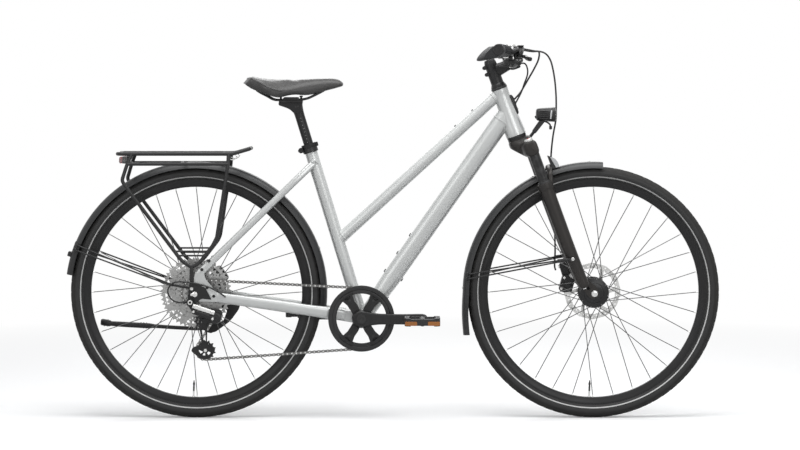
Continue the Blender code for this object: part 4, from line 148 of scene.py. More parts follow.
def turned(start, axis, profile, sides=48, closed=False, finish=0):
    first = -up if abs(axis.dot(up)) < 0.99 else forward
    first = (first - axis * first.dot(axis)).normalized()
    second = axis.cross(first)
    rings = []
    for distance, radius in profile:
        ring = []
        for i in range(sides):
            turn = 2 * pi * i / sides
            ring.append(start + axis * distance + (first * cos(turn) + second * sin(turn)) * radius)
        rings.append(ring)
    return skinOver(rings, closed, finish)


def oval(width, height, count=28, square=2):
    pairs = []
    for i in range(count):
        turn = 2 * pi * (i + 0.5) / count
        cosine = cos(turn)
        sine = sin(turn)
        u = copysign(abs(cosine) ** (2 / square), cosine) * width / 2
        v = copysign(abs(sine) ** (2 / square), sine) * height / 2
        pairs.append((u, v))
    return pairs


def laid(centre, first, second, outline):
    return [centre + first * u + second * v for u, v in outline]


def sweptAlong(points, sections, side=None, closed=False, finish=0):
    rings = []
    count = len(points)
    sideways = side
    for i, point in enumerate(points):
        before = points[i - 1] if closed or i > 0 else point
        after = points[(i + 1) % count] if closed or i < count - 1 else point
        way = (after - before).normalized()
        if sideways is None:
            sideways = way.orthogonal()
        flat = (sideways - way * sideways.dot(way)).normalized()
        if side is None:
            sideways = flat
        rise = way.cross(flat)
        rings.append(laid(point, flat, rise, sections[i]))
    return skinOver(rings, closed, finish)


def rod(points, radius, sides=14, finish=0):
    radii = radius if isinstance(radius, (list, tuple)) else [radius] * len(points)
    return sweptAlong(points, [oval(2 * r, 2 * r, sides) for r in radii], finish=finish)


def smoothRun(points, steps=6):
    padded = [points[0] * 2 - points[1], *points, points[-1] * 2 - points[-2]]
    smooth = []
    for i in range(1, len(padded) - 2):
        before, here, there, beyond = padded[i - 1:i + 3]
        for step in range(steps):
            t = step / steps
            smooth.append(here + (there - before) * (0.5 * t) + (before * 2 - here * 5 + there * 4
                - beyond) * (0.5 * t * t) + (here * 3 - before - there * 3 + beyond) * (0.5 * t * t * t))
    smooth.append(points[-1].copy())
    return smooth


def bentRun(points, radius, steps=6):
    # straight runs with an eased bend of the given size at each inner point
    run = [points[0]]
    for before, here, after in zip(points, points[1:], points[2:]):
        back = before - here
        ahead = after - here
        size = min(radius, back.length * 0.45, ahead.length * 0.45)
        start = here + back.normalized() * size
        finish = here + ahead.normalized() * size
        for step in range(steps + 1):
            t = step / steps
            run.append(start * (1 - t) ** 2 + here * (2 * t * (1 - t)) + finish * t ** 2)
    run.append(points[-1])
    return run


def rounded(corners, steps=5):
    outline = []
    for i, (u, v, size) in enumerate(corners):
        here = Vector((u, v))
        if size == 0:
            outline.append((u, v))
            continue
        back = (Vector(corners[i - 1][:2]) - here).normalized()
        ahead = (Vector(corners[(i + 1) % len(corners)][:2]) - here).normalized()
        start = here + back * size
        finish = here + ahead * size
        for step in range(steps + 1):
            t = step / steps
            spot = start * (1 - t) ** 2 + here * (2 * t * (1 - t)) + finish * t ** 2
            outline.append((spot.x, spot.y))
    return outline


def roundBox(left, low, right, high, size, steps):
    return rounded([(left, low, size), (right, low, size), (right, high, size), (left, high, size)], steps)


def circle(centre, radius, sides=24):
    turns = [2 * pi * i / sides for i in range(sides)]
    return [(centre[0] + radius * cos(t), centre[1] + radius * sin(t)) for t in turns]


def link(first, firstRadius, second, secondRadius, steps=8):
    way = atan2(second[1] - first[1], second[0] - first[0])
    lean = acos((firstRadius - secondRadius) / dist(first, second))
    outline = []
    for centre, radius, start, finish in ((second, secondRadius, way - lean, way + lean), (first, firstRadius,
            way + lean, way + 2 * pi - lean)):
        for step in range(steps + 1):
            turn = start + (finish - start) * step / steps
            outline.append((centre[0] + radius * cos(turn), centre[1] + radius * sin(turn)))
    return outline


def flatPlate(outline, low, high, holes=(), start=origin, axes=(forward, across, up), finish=0):
    flat = bmesh.new()
    edges = []
    loops = []
    for loop in (outline, *holes):
        corners = [flat.verts.new((u, v, 0)) for u, v in loop]
        loops.append(corners)
        edges += [flat.edges.new((corners[i - 1], corners[i])) for i in range(len(corners))]
    bmesh.ops.triangle_fill(flat, use_beauty=True, use_dissolve=False, edges=edges)
    flat.verts.index_update()
    spots = [(vertex.co.x, vertex.co.y) for vertex in flat.verts]
    caps = [tuple(vertex.index for vertex in face.verts) for face in flat.faces]
    walls = [[vertex.index for vertex in loop] for loop in loops]
    flat.free()
    count = len(spots)
    points = [start + axes[0] * u + axes[1] * low + axes[2] * v for u, v in spots]
    points += [start + axes[0] * u + axes[1] * high + axes[2] * v for u, v in spots]
    faces = caps + [tuple(i + count for i in cap) for cap in caps]
    for wall in walls:
        for i, here in enumerate(wall):
            last = wall[i - 1]
            faces.append((last, here, here + count, last + count))
    return points, faces, finish


def mirrored(shape):
    points, faces, finish = shape
    return [Vector((p.x, -p.y, p.z)) for p in points], faces, finish


def halfTurn(shape):
    # the same crank piece on the other side, turned half way round the bottom bracket
    points, faces, finish = shape
    return [Vector((2 * bottomBracket.x - p.x, -p.y, 2 * bottomBracket.z - p.z))
        for p in points], faces, finish


def inFinish(shape, number):
    return shape[0], shape[1], number


pieceCount = 0


def placed(name, mesh, smooth):
    # normals outward, shading smooth but for sharp edges, and an object in the scene
    whole = bmesh.new()
    whole.from_mesh(mesh)
    bmesh.ops.recalc_face_normals(whole, faces=whole.faces)
    whole.to_mesh(mesh)
    whole.free()
    mesh.shade_smooth()
    mesh.set_sharp_from_angle(angle=radians(smooth))
    piece = bpy.data.objects.new(name, mesh)
    bpy.context.collection.objects.link(piece)
    return piece


def makePiece(name, shapes, body, finishes, nodes=(), bevel=0, smooth=40):
    # one object from several closed shapes, each in its own finish
    global pieceCount
    whole = bmesh.new()
    for points, faces, number in shapes:
        part = bmesh.new()
        corners = [part.verts.new(point * mm) for point in points]
        for face in faces:
            part.faces.new([corners[i] for i in face])
        bmesh.ops.recalc_face_normals(part, faces=part.faces)
        for face in part.faces:
            face.material_index = number
        held = bpy.data.meshes.new("held")
        part.to_mesh(held)
        part.free()
        whole.from_mesh(held)
        bpy.data.meshes.remove(held)
    mesh = bpy.data.meshes.new(name)
    whole.to_mesh(mesh)
    whole.free()
    for finish in finishes:
        mesh.materials.append(finish)
    mesh.shade_smooth()
    mesh.set_sharp_from_angle(angle=radians(smooth))
    piece = bpy.data.objects.new(name, mesh)
    bpy.context.collection.objects.link(piece)
    if bevel:
        edges = piece.modifiers.new("edges", "BEVEL")
        edges.width = bevel * mm
        edges.segments = 2
        edges.limit_method = "ANGLE"
        edges.angle_limit = radians(42)
        edges.harden_normals = True
    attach(piece, body)
    if nodes:
        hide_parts(*nodes)
    pieceCount += 1
    return piece


# Finishes

def addNode(tree, kind, inputs=None, **settings):
    made = tree.nodes.new("ShaderNode" + kind)
    for key, value in settings.items():
        setattr(made, key, value)
    for key, value in (inputs or {}).items():
        if isinstance(value, bpy.types.NodeSocket):
            tree.links.new(value, made.inputs[key])
        else:
            made.inputs[key].default_value = value
    return made


def maths(tree, operation, first, second, **settings):
    return addNode(tree, "Math", {0: first, 1: second}, operation=operation, **settings).outputs[0]


def newGroup(name, inputs, outputs):
    group = bpy.data.node_groups.new(name, "ShaderNodeTree")
    for label, kind, value in inputs:
        socket = group.interface.new_socket(label, in_out="INPUT", socket_type="NodeSocket" + kind)
        socket.default_value = value
    for label, kind in outputs:
        group.interface.new_socket(label, in_out="OUTPUT", socket_type="NodeSocket" + kind)
    return group, group.nodes.new("NodeGroupInput").outputs, group.nodes.new("NodeGroupOutput").inputs


def makeGrainGroup():
    # slow colour drift, roughness patches and a fine surface grain
    group, given, result = newGroup("Surface grain", [("Colour", "Color", (0.5, 0.5, 0.5, 1)),
        ("Second Colour", "Color", (0.4, 0.4, 0.4, 1)), ("Drift Scale", "Float", 12),
        ("Grain Scale", "Float", 900), ("Roughness", "Float", 0.5), ("Roughness Spread", "Float", 0.1)],
        [("Colour", "Color"), ("Roughness", "Float"), ("Height", "Float")])
    place = addNode(group, "TexCoord").outputs["Object"]
    drift = addNode(group, "TexNoise", {"Vector": place, "Scale": given["Drift Scale"], "Detail": 5,
        "Roughness": 0.6})
    grain = addNode(group, "TexNoise", {"Vector": place, "Scale": given["Grain Scale"], "Detail": 2})
    mask = addNode(group, "MapRange", {"Value": drift.outputs["Fac"], "From Min": 0.36, "From Max": 0.66})
    colour = group.nodes.new("ShaderNodeMix")
    colour.data_type = "RGBA"
    group.links.new(mask.outputs["Result"], colour.inputs[0])
    group.links.new(given["Colour"], colour.inputs[6])
    group.links.new(given["Second Colour"], colour.inputs[7])
    spread = maths(group, "SUBTRACT", drift.outputs["Fac"], 0.5)
    scaled = maths(group, "MULTIPLY", spread, given["Roughness Spread"])
    rough = maths(group, "ADD", scaled, given["Roughness"], use_clamp=True)
    group.links.new(colour.outputs[2], result["Colour"])
    group.links.new(rough, result["Roughness"])
    group.links.new(grain.outputs["Fac"], result["Height"])
    return group


def makeWearGroup():
    # worn or scuffed edges, where the surface is most convex
    group, given, result = newGroup("Edge wear", [("Colour", "Color", (0.5, 0.5, 0.5, 1)), ("Worn Colour",
        "Color", (0.6, 0.6, 0.6, 1)), ("Amount", "Float", 0.3)], [("Colour", "Color"), ("Mask", "Float")])
    place = addNode(group, "TexCoord").outputs["Object"]
    patches = addNode(group, "TexNoise", {"Vector": place, "Scale": 60, "Detail": 6, "Roughness": 0.7})
    edge = addNode(group, "MapRange", {"Value": addNode(group, "NewGeometry").outputs["Pointiness"],
        "From Min": 0.53, "From Max": 0.62})
    broken = addNode(group, "MapRange", {"Value": patches.outputs["Fac"], "From Min": 0.45, "From Max": 0.62})
    both = maths(group, "MULTIPLY", edge.outputs["Result"], broken.outputs["Result"])
    mask = maths(group, "MULTIPLY", both, given["Amount"], use_clamp=True)
    colour = group.nodes.new("ShaderNodeMix")
    colour.data_type = "RGBA"
    group.links.new(mask, colour.inputs[0])
    group.links.new(given["Colour"], colour.inputs[6])
    group.links.new(given["Worn Colour"], colour.inputs[7])
    group.links.new(colour.outputs[2], result["Colour"])
    group.links.new(mask, result["Mask"])
    return group


def makeRingsGroup():
    # fine turned lines round an axle
    group, given, result = newGroup("Turned lines", [("Centre", "Vector", (0, 0, 0)),
        ("Scale", "Float", 1500)], [("Height", "Float")])
    place = addNode(group, "TexCoord").outputs["Object"]
    moved = addNode(group, "VectorMath", {0: place, 1: given["Centre"]}, operation="SUBTRACT")
    flat = addNode(group, "VectorMath", {0: moved.outputs[0], 1: (1, 0, 1)}, operation="MULTIPLY")
    radius = addNode(group, "VectorMath", {0: flat.outputs[0]}, operation="LENGTH")
    lines = addNode(group, "TexNoise", {"W": radius.outputs["Value"], "Scale": given["Scale"], "Detail": 3},
        noise_dimensions="1D")
    group.links.new(lines.outputs["Fac"], result["Height"])
    return group


def makeLeatherGroup():
    # the small cells and creases of a saddle cover
    group, given, result = newGroup("Cover grain", [("Cell Scale", "Float", 700),
        ("Crease Scale", "Float", 90)], [("Height", "Float"), ("Mask", "Float")])
    place = addNode(group, "TexCoord").outputs["Object"]
    cells = addNode(group, "TexVoronoi", {"Vector": place, "Scale": given["Cell Scale"]},
        feature="DISTANCE_TO_EDGE")
    creases = addNode(group, "TexNoise", {"Vector": place, "Scale": given["Crease Scale"], "Detail": 5})
    cell = addNode(group, "MapRange", {"Value": cells.outputs["Distance"], "From Max": 0.25})
    height = maths(group, "ADD", cell.outputs["Result"], creases.outputs["Fac"])
    group.links.new(height, result["Height"])
    group.links.new(cell.outputs["Result"], result["Mask"])
    return group


surfaceGrain = makeGrainGroup()
edgeWear = makeWearGroup()
turnedLines = makeRingsGroup()
coverGrain = makeLeatherGroup()


def makeFinish(name, colour, second, roughness, spread=0.08, metallic=0, drift=14, grain=900, bump=0.1,
        depth=0.00008, coat=0, coatRoughness=0.1, specular=0.4, worn=None, wear=0, rings=None, cover=False,
        transmission=0, sheen=0):
    material = bpy.data.materials.new(name)
    material.use_nodes = True
    tree = material.node_tree
    shader = tree.nodes["Principled BSDF"]
    grainNode = tree.nodes.new("ShaderNodeGroup")
    grainNode.node_tree = surfaceGrain
    for key, value in {"Colour": (*colour, 1), "Second Colour": (*second, 1), "Drift Scale": drift,
            "Grain Scale": grain, "Roughness": roughness, "Roughness Spread": spread}.items():
        grainNode.inputs[key].default_value = value
    lastColour = grainNode.outputs["Colour"]
    if wear:
        wearNode = tree.nodes.new("ShaderNodeGroup")
        wearNode.node_tree = edgeWear
        wearNode.inputs["Worn Colour"].default_value = (*(worn or second), 1)
        wearNode.inputs["Amount"].default_value = wear
        tree.links.new(lastColour, wearNode.inputs["Colour"])
        lastColour = wearNode.outputs["Colour"]
    tree.links.new(lastColour, shader.inputs["Base Color"])
    tree.links.new(grainNode.outputs["Roughness"], shader.inputs["Roughness"])
    height = grainNode.outputs["Height"]
    if rings:
        ringNode = tree.nodes.new("ShaderNodeGroup")
        ringNode.node_tree = turnedLines
        ringNode.inputs["Centre"].default_value = rings
        height = ringNode.outputs["Height"]
    if cover:
        coverNode = tree.nodes.new("ShaderNodeGroup")
        coverNode.node_tree = coverGrain
        height = coverNode.outputs["Height"]
    bumpNode = addNode(tree, "Bump", {"Strength": bump, "Distance": depth, "Height": height})
    tree.links.new(bumpNode.outputs["Normal"], shader.inputs["Normal"])
    shader.inputs["Metallic"].default_value = metallic
    shader.inputs["Coat Weight"].default_value = coat
    shader.inputs["Coat Roughness"].default_value = coatRoughness
    shader.inputs["Specular IOR Level"].default_value = specular
    shader.inputs["Transmission Weight"].default_value = transmission
    shader.inputs["Sheen Weight"].default_value = sheen
    return material


pearlPaint = makeFinish("pearlPaint", (0.63, 0.645, 0.635), (0.59, 0.6, 0.595), 0.32, 0.05, metallic=0.3,
    drift=5, grain=900, bump=0.03, depth=0.00001, coat=0.5, coatRoughness=0.14)
charcoalPaint = makeFinish("charcoalPaint", (0.03, 0.027, 0.025), (0.025, 0.023, 0.022), 0.4, 0.08,
    metallic=0.45, grain=2200, bump=0.08, worn=(0.12, 0.115, 0.11), wear=0.25)
blackAnodised = makeFinish("blackAnodised", (0.024, 0.024, 0.0245), (0.018, 0.018, 0.0185), 0.34, 0.1,
    metallic=0.5, grain=1800, bump=0.1, worn=(0.15, 0.15, 0.15), wear=0.3)
rackPaint = makeFinish("rackPaint", (0.016, 0.016, 0.0165), (0.012, 0.012, 0.0125), 0.42, 0.1, metallic=0.1,
    grain=1500, bump=0.16, worn=(0.1, 0.1, 0.1), wear=0.3)
rimBlack = makeFinish("rimBlack", (0.014, 0.014, 0.0145), (0.011, 0.011, 0.0115), 0.38, 0.1, metallic=0.4,
    grain=1400, bump=0.08)
blackPlastic = makeFinish("blackPlastic", (0.016, 0.016, 0.0165), (0.012, 0.012, 0.0125), 0.48, 0.1,
    grain=1300, bump=0.22, worn=(0.06, 0.06, 0.06), wear=0.3)
guardPlastic = makeFinish("guardPlastic", (0.03, 0.031, 0.032), (0.025, 0.026, 0.027), 0.38, 0.1, grain=1100,
    bump=0.12, drift=9)
treadRubber = makeFinish("treadRubber", (0.018, 0.0175, 0.017), (0.026, 0.0255, 0.0245), 0.72, 0.12,
    grain=700, bump=0.35, drift=24, specular=0.35)
wallRubber = makeFinish("wallRubber", (0.014, 0.014, 0.014), (0.02, 0.02, 0.02), 0.58, 0.12, grain=1000,
    bump=0.22, drift=18, specular=0.4)
reflexStripe = makeFinish("reflexStripe", (0.74, 0.74, 0.73), (0.62, 0.62, 0.61), 0.42, 0.1, grain=2400,
    bump=0.2, drift=60)
gripRubber = makeFinish("gripRubber", (0.019, 0.02, 0.021), (0.015, 0.016, 0.017), 0.62, 0.1, grain=1500,
    bump=0.4, specular=0.35)
sheathBlack = makeFinish("sheathBlack", (0.01, 0.01, 0.0105), (0.008, 0.008, 0.0085), 0.36, 0.08, grain=1600,
    bump=0.1)
brightSteel = makeFinish("brightSteel", (0.62, 0.62, 0.61), (0.5, 0.5, 0.49), 0.24, 0.12, metallic=1,
    grain=2200, bump=0.08, drift=40)
spokeSteel = makeFinish("spokeSteel", (0.13, 0.13, 0.13), (0.09, 0.09, 0.09), 0.34, 0.12, metallic=1,
    grain=1800, bump=0.06, drift=30)
silverAlloy = makeFinish("silverAlloy", (0.66, 0.66, 0.65), (0.56, 0.56, 0.55), 0.32, 0.12, metallic=1,
    grain=1600, bump=0.14, drift=22)
chainSteel = makeFinish("chainSteel", (0.17, 0.168, 0.165), (0.11, 0.108, 0.105), 0.36, 0.14, metallic=1,
    grain=1800, bump=0.12, drift=55)
cogSteel = makeFinish("cogSteel", (0.36, 0.36, 0.355), (0.27, 0.27, 0.265), 0.34, 0.12, metallic=0.9,
    bump=0.3, depth=0.0001, rings=tuple(rearAxle * mm))
rearDiscSteel = makeFinish("rearDiscSteel", (0.6, 0.6, 0.59), (0.5, 0.5, 0.49), 0.3, 0.12, metallic=1,
    bump=0.3, depth=0.0001, rings=tuple(rearAxle * mm))
frontDiscSteel = makeFinish("frontDiscSteel", (0.6, 0.6, 0.59), (0.5, 0.5, 0.49), 0.3, 0.12, metallic=1,
    bump=0.3, depth=0.0001, rings=tuple(frontAxle * mm))
saddleCover = makeFinish("saddleCover", (0.042, 0.041, 0.04), (0.032, 0.031, 0.031), 0.4, 0.12, drift=20,
    bump=0.35, depth=0.00012, cover=True, specular=0.4, sheen=0.15)
redLens = makeFinish("redLens", (0.48, 0.012, 0.012), (0.36, 0.008, 0.008), 0.14, 0.06, grain=300, bump=0.1,
    coat=0.6, coatRoughness=0.04)
amberLens = makeFinish("amberLens", (0.52, 0.165, 0.003), (0.43, 0.13, 0.002), 0.16, 0.06, grain=300,
    bump=0.1, coat=0.6, coatRoughness=0.04)
whiteLens = makeFinish("whiteLens", (0.78, 0.79, 0.8), (0.66, 0.67, 0.68), 0.12, 0.06, grain=400, bump=0.1,
    coat=0.6, coatRoughness=0.04)
clearLens = makeFinish("clearLens", (0.92, 0.93, 0.93), (0.88, 0.89, 0.9), 0.06, 0.04, grain=300, bump=0.05,
    transmission=0.92)
# near-black colour painted where an axle's hex socket would lie in shade: painted shade, not a modelled hole
paintedSocketShade = makeFinish("paintedSocketShade", (0.008, 0.008, 0.008), (0.006, 0.006, 0.006), 0.6, 0.1)
print("finishes ready:", len(bpy.data.materials))


# Wheels

wheelSet = {
    "tyreWidth": 42,
    "stripeRadius": (324, 327),
    "treadRepeats": 76,
    "treadDepth": 1.1,
    "spokes": 32,
    "spokeRadius": 1.2,
    "rimSides": 128,
}


def tyreShape(centre):
    # beads, sidewalls with the reflecting line, and a tread whose blocks are cut into the surface
    repeats = wheelSet["treadRepeats"]
    steps = repeats * 6
    half = wheelSet["tyreWidth"] / 2
    low, high = wheelSet["stripeRadius"]
    side = [(9.6, 309), (11.8, 313), (12.1, 318), (15, 320.5), (17.4, low), (19, high), (half - 0.6, 331),
        (half, 335.6), (half - 0.8, 340), (half - 2.6, 343.8)]
    # rows of the tread from its shoulder to its middle: (y, radius, block kind)
    rows = [(17.2, 346.2, 1), (15, 348.6, 1), (13.8, 349.2, 0), (11.8, 351.2, 2), (8.8, 352.6, 2),
        (7.6, 352.6, 0), (5, 354, 3), (0, 354, 3)]
    left = [(y, r, -1) for y, r in side] + rows
    profile = left + [(-y, r, kind) for y, r, kind in reversed(left[:-1])]
    points = []
    for i in range(steps):
        turn = 2 * pi * i / steps
        phase = i % 6
        for y, radius, kind in profile:
            cutIn = 0
            other = (phase + (3 if y < 0 else 0)) % 6
            if kind == 0 or (kind == 1 and other in (0, 1)) or (kind == 2 and other in (2, 3)):
                cutIn = wheelSet["treadDepth"]
            if kind == 3 and phase == 0:
                cutIn = wheelSet["treadDepth"] * 0.5
            r = radius - cutIn
            points.append(centre + forward * (r * cos(turn)) + up * (r * sin(turn)) + across * y)
    count = len(profile)
    wall = []
    stripe = []
    tread = []
    for i in range(steps):
        near = i * count
        far = (i + 1) % steps * count
        for j in range(count):
            k = (j + 1) % count
            face = (near + j, near + k, far + k, far + j)
            first, second = profile[j], profile[k]
            radii = (first[1], second[1])
            if j < count - 1 and min(radii) == low and max(radii) == high:
                stripe.append(face)
            elif j < count - 1 and (first[2] >= 0 or second[2] >= 0 or min(radii) > 339.5):
                tread.append(face)
            else:
                wall.append(face)
    return points, wall, stripe, tread


def makeTyre(name, centre, body, node):
    points, wall, stripe, tread = tyreShape(centre)
    mesh = bpy.data.meshes.new(name)
    mesh.from_pydata([point * mm for point in points], [], wall + stripe + tread)
    numbers = [0] * len(wall) + [1] * len(stripe) + [2] * len(tread)
    mesh.polygons.foreach_set("material_index", numbers)
    for finish in (wallRubber, reflexStripe, treadRubber):
        mesh.materials.append(finish)
    piece = placed(name, mesh, 38)
    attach(piece, body)
    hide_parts(node)


def makeRim(name, centre, body, node):
    side = [(3, 296.8), (5.5, 297.2), (7.2, 299), (9.2, 305), (11.6, 310), (12.4, 313.5), (12.5, 317),
        (11.7, 317.2), (10.8, 316), (10.4, 310), (9.2, 308.7)]
    profile = side + [(-y, radius) for y, radius in reversed(side)]
    shapes = [turned(centre, across, profile, wheelSet["rimSides"], closed=True)]
    add = shapes.append
    for i in range(wheelSet["spokes"]):
        turn = 360 * i / wheelSet["spokes"]
        lean = 2 if i % 2 == 0 else -2
        out = outAt(turn)
        spot = centre + across * lean
        add(turned(spot, out, [(290.5, 1.2), (291.2, 1.7), (296.8, 1.9), (298.5, 3)], 10, finish=1))
    # valve on the lowest side, a little behind the vertical
    out = outAt(268)
    add(turned(centre, out, [(250, 0.9), (250.4, 1.6), (256, 1.7), (256.2, 3), (262, 3.2), (262.2, 2.4),
        (267, 2.4), (267.2, 2.6), (280, 2.6)], 14, finish=3))
    add(turned(centre, out, [(279, 2.5), (294.2, 2.5), (294.3, 4.8), (296.6, 5)], 16, finish=2))
    makePiece(name, shapes, body, [rimBlack, brightSteel, silverAlloy, blackPlastic], [node],
        smooth=34)


def spokeRods(centre, left, right, holeRadius, lean, finish=1):
    rods = []
    count = wheelSet["spokes"]
    for i in range(count):
        turn = 360 * i / count
        flange = right if i % 2 else left
        way = 1 if i // 2 % 2 else -1
        outside = way * 1.6
        hub = roundWheel(centre, holeRadius, turn + way * lean, flange + outside)
        end = roundWheel(centre, 292.5, turn, copysign(2, flange))
        head = roundWheel(centre, holeRadius, turn + way * lean, flange - outside * 1.6)
        start = hub + (end - hub).normalized() * 4
        rods.append(rod([hub, start, hub.lerp(end, 0.08), end], [1.1, 1.1, wheelSet["spokeRadius"],
            wheelSet["spokeRadius"]], 8, finish))
        rods.append(rod([head, hub], 1.1, 8, finish))
        rods.append(turned(head, (hub - head).normalized(), [(-0.7, 1.2), (-0.3, 2.1), (0.3, 2.1)], 8,
            finish=finish))
    return rods


def makeRearHub():
    right = 63
    shell = turned(rearAxle, across, [(-right, 5.6), (-right, 17.2), (-23.2, 17.2), (-22.8, 28), (-22.2, 29),
        (-19.8, 29), (-19.2, 28), (-18.5, 19), (-15, 16.5), (-6, 15), (18, 15), (28, 16.5), (31.8, 19),
        (32.5, 28), (33.1, 29), (35, 29), (35.6, 28), (36, 20), (40, 17.2), (56.5, 17.2), (56.5, 5.6)], 56,
        closed=True)
    shapes = [shell, *spokeRods(rearAxle, 34, -21, 26.5, 67.5)]
    # lock ring of the disc: a splined cup
    shapes.append(turned(rearAxle, across, [(54, 17.5), (54, 20.5), (56.6, 20.5), (56.6, 14), (55, 14),
        (55, 17.5)], 40, closed=True, finish=2))
    makePiece("rearHub", shapes, "rear_wheel", [blackAnodised, spokeSteel, brightSteel],
        ["rear_hub"], smooth=34)


def makeFrontHub():
    shell = turned(frontAxle, across, [(-46, 5.6), (-46, 11), (-44, 12.6), (-38.5, 14), (-36.5, 16),
        (-33, 30), (-31, 40), (-29.5, 42.5), (-26.8, 42.5), (-26.2, 41.5), (-25.8, 37.2), (-24, 36),
        (-10, 35.2), (3, 35.2), (18, 36), (19.2, 37.2), (19.6, 41.5), (20.2, 42.5), (22.2, 42.5),
        (23.2, 40.5), (26.2, 25), (29, 18), (33, 17.2), (41.5, 17.2), (41.5, 5.6)], 64, closed=True)
    shapes = [shell, *spokeRods(frontAxle, 21.2, -28.2, 39, 45)]
    for radius, y in ((39.5, -30.6), (29, -33.4)):
        shapes.append(turned(frontAxle, across, [(y, radius), (y - 0.6, radius - 0.6), (y, radius - 1.4),
            (y + 1, radius - 0.8)], 64, closed=True))
    shapes.append(turned(frontAxle, across, [(39, 17.5), (39, 20.5), (41.6, 20.5), (41.6, 14), (40, 14),
        (40, 17.5)], 40, closed=True, finish=2))
    makePiece("frontHub", shapes, "front_wheel", [blackAnodised, spokeSteel, brightSteel],
        ["front_hub"], smooth=34)


discSet = {"radius": 80, "thickness": 1.8, "waves": 12, "waveDepth": 1.6, "arms": 6}


def makeDisc(name, centre, y, body, node, finish):
    # wavy outline, round vent holes in the band and slanted arms to the lock ring
    half = discSet["thickness"] / 2
    outline = []
    for i in range(144):
        turn = 2 * pi * i / 144
        radius = discSet["radius"] - discSet["waveDepth"] * (0.5 - 0.5 * cos(turn * discSet["waves"]))
        outline.append(polar(radius, turn))
    holes = [circle((0, 0), 18.1, 36)]
    for i in range(discSet["arms"]):
        start = 60 * i
        window = []
        for step in range(9):
            turn = radians(start + 12 + 48 * step / 8)
            wave = 65 + 1 * cos(step * pi)
            window.append(polar(wave, turn))
        for degrees, radius in ((54, 50), (44, 36), (36, 26.5), (20, 26.2), (4, 26.2), (2, 36), (5, 50)):
            turn = radians(start + degrees)
            window.append(polar(radius, turn))
        holes.append(window)
    for i in range(36):
        turn = 2 * pi * i / 36
        spot = 71.2 + 2.8 * cos(i * 2 * pi / 3)
        holes.append(circle(polar(spot, turn), 1.9, 10))
    shapes = [flatPlate(outline, y - half, y + half, holes, start=centre)]
    shapes.append(turned(centre, across, [(y - half - 0.2, 18), (y - half - 0.2, 24), (y + half + 1, 24),
        (y + half + 1, 18)], 40, closed=True, finish=1))
    for i in range(6):
        spot = centre + outAt(60 * i + 8) * 24.5 + across * y
        shapes.append(turned(spot, across, [(-half - 0.2, 2.2), (half + 0.8, 2.2), (half + 1.3, 1.4)], 12,
            finish=2))
    makePiece(name, shapes, body, [finish, blackAnodised, brightSteel], [node], smooth=30)


makeTyre("frontTyre", frontAxle, "front_wheel", "front_tyre")
makeTyre("rearTyre", rearAxle, "rear_wheel", "rear_tyre")
makeRim("frontRim", frontAxle, "front_wheel", "front_rim")
makeRim("rearRim", rearAxle, "rear_wheel", "rear_rim")
makeFrontHub()
makeRearHub()
makeDisc("frontDisc", frontAxle, 37, "front_wheel", "front_rotor", frontDiscSteel)
makeDisc("rearDisc", rearAxle, 52, "rear_wheel", "rear_rotor", rearDiscSteel)


def makeAxle(name, centre, body, node, inside, outside, hubLeft, hubRight):
    nut = outside + 0.3
    tip = nut + 6.5
    shapes = [turned(centre, across, [(-tip + 1, 5), (-hubRight, 5), (hubLeft, 5), (tip - 1, 5)], 20),
        turned(centre, across, [(-inside, 8), (-hubRight, 8)], 24), turned(centre, across,
        [(hubLeft, 8), (inside, 8)], 24)]
    add = shapes.append
    for sign in (-1, 1):
        axis = across * sign
        add(turned(centre, axis, [(nut, 8.8), (nut + 1.2, 8.8), (nut + 1.4, 7.8), (tip - 1, 7.6),
            (tip - 0.4, 6.6)], 6 if sign > 0 else 32))
        add(turned(centre, axis, [(tip - 1, 4.6), (tip, 4)], 16))
        # a near-black hexagon inside the tip stands in for the shaded hex socket: painted shade
        add(turned(centre, axis, [(tip - 0.6, 2.6), (tip - 0.2, 2.6)], 6, finish=1))
    makePiece(name, shapes, body, [brightSteel, paintedSocketShade], [node], bevel=0.3)


makeAxle("frontAxleBolt", frontAxle, "fork_lowers", "front_axle", 50, 58.3, 41.8, 46.3)
makeAxle("rearAxleBolt", rearAxle, "frame", "rear_axle", 67.5, 75.3, 56.8, 63.3)
print("wheels ready")


# Frame tubes, with a small raised bead where each one meets the next

tubeSet = {
    "topRadius": 15.9,
    "topOnSeat": 225.3,
    "topOnHead": 129,
    "downOnHead": 68.9,
    "downDrop": 9.4,
    "dropoutInside": 67.8,
    "dropoutOutside": 75.3,
    "stayMiddle": 71.55,
}


def weldBead(middle, way, width, height, bead=1.6, square=2, side=across):
    # a ring of small overlapping scales round a tube's end
    ring = []
    count = 72
    pairs = oval(width, height, count, square)
    flat = (side - way * side.dot(way)).normalized()
    rise = way.cross(flat)
    for u, v in pairs:
        ring.append(middle + flat * u + rise * v)
    sections = [oval(2 * bead * (0.86 + 0.14 * (i % 2)), 2 * bead, 8) for i in range(count)]
    return sweptAlong(ring, sections, way, closed=True)


def bossScrew(spot, way, radius=6.2, proud=3, finish=1):
    return [turned(spot, way, [(-4, radius), (0.6, radius), (1, radius - 0.6)], 24), turned(spot, way,
        [(0.4, radius - 1.2), (proud - 0.8, radius - 1.2), (proud, radius - 2.2), (proud, 1.8),
        (proud - 1.4, 1.5)], 24, finish=finish)]


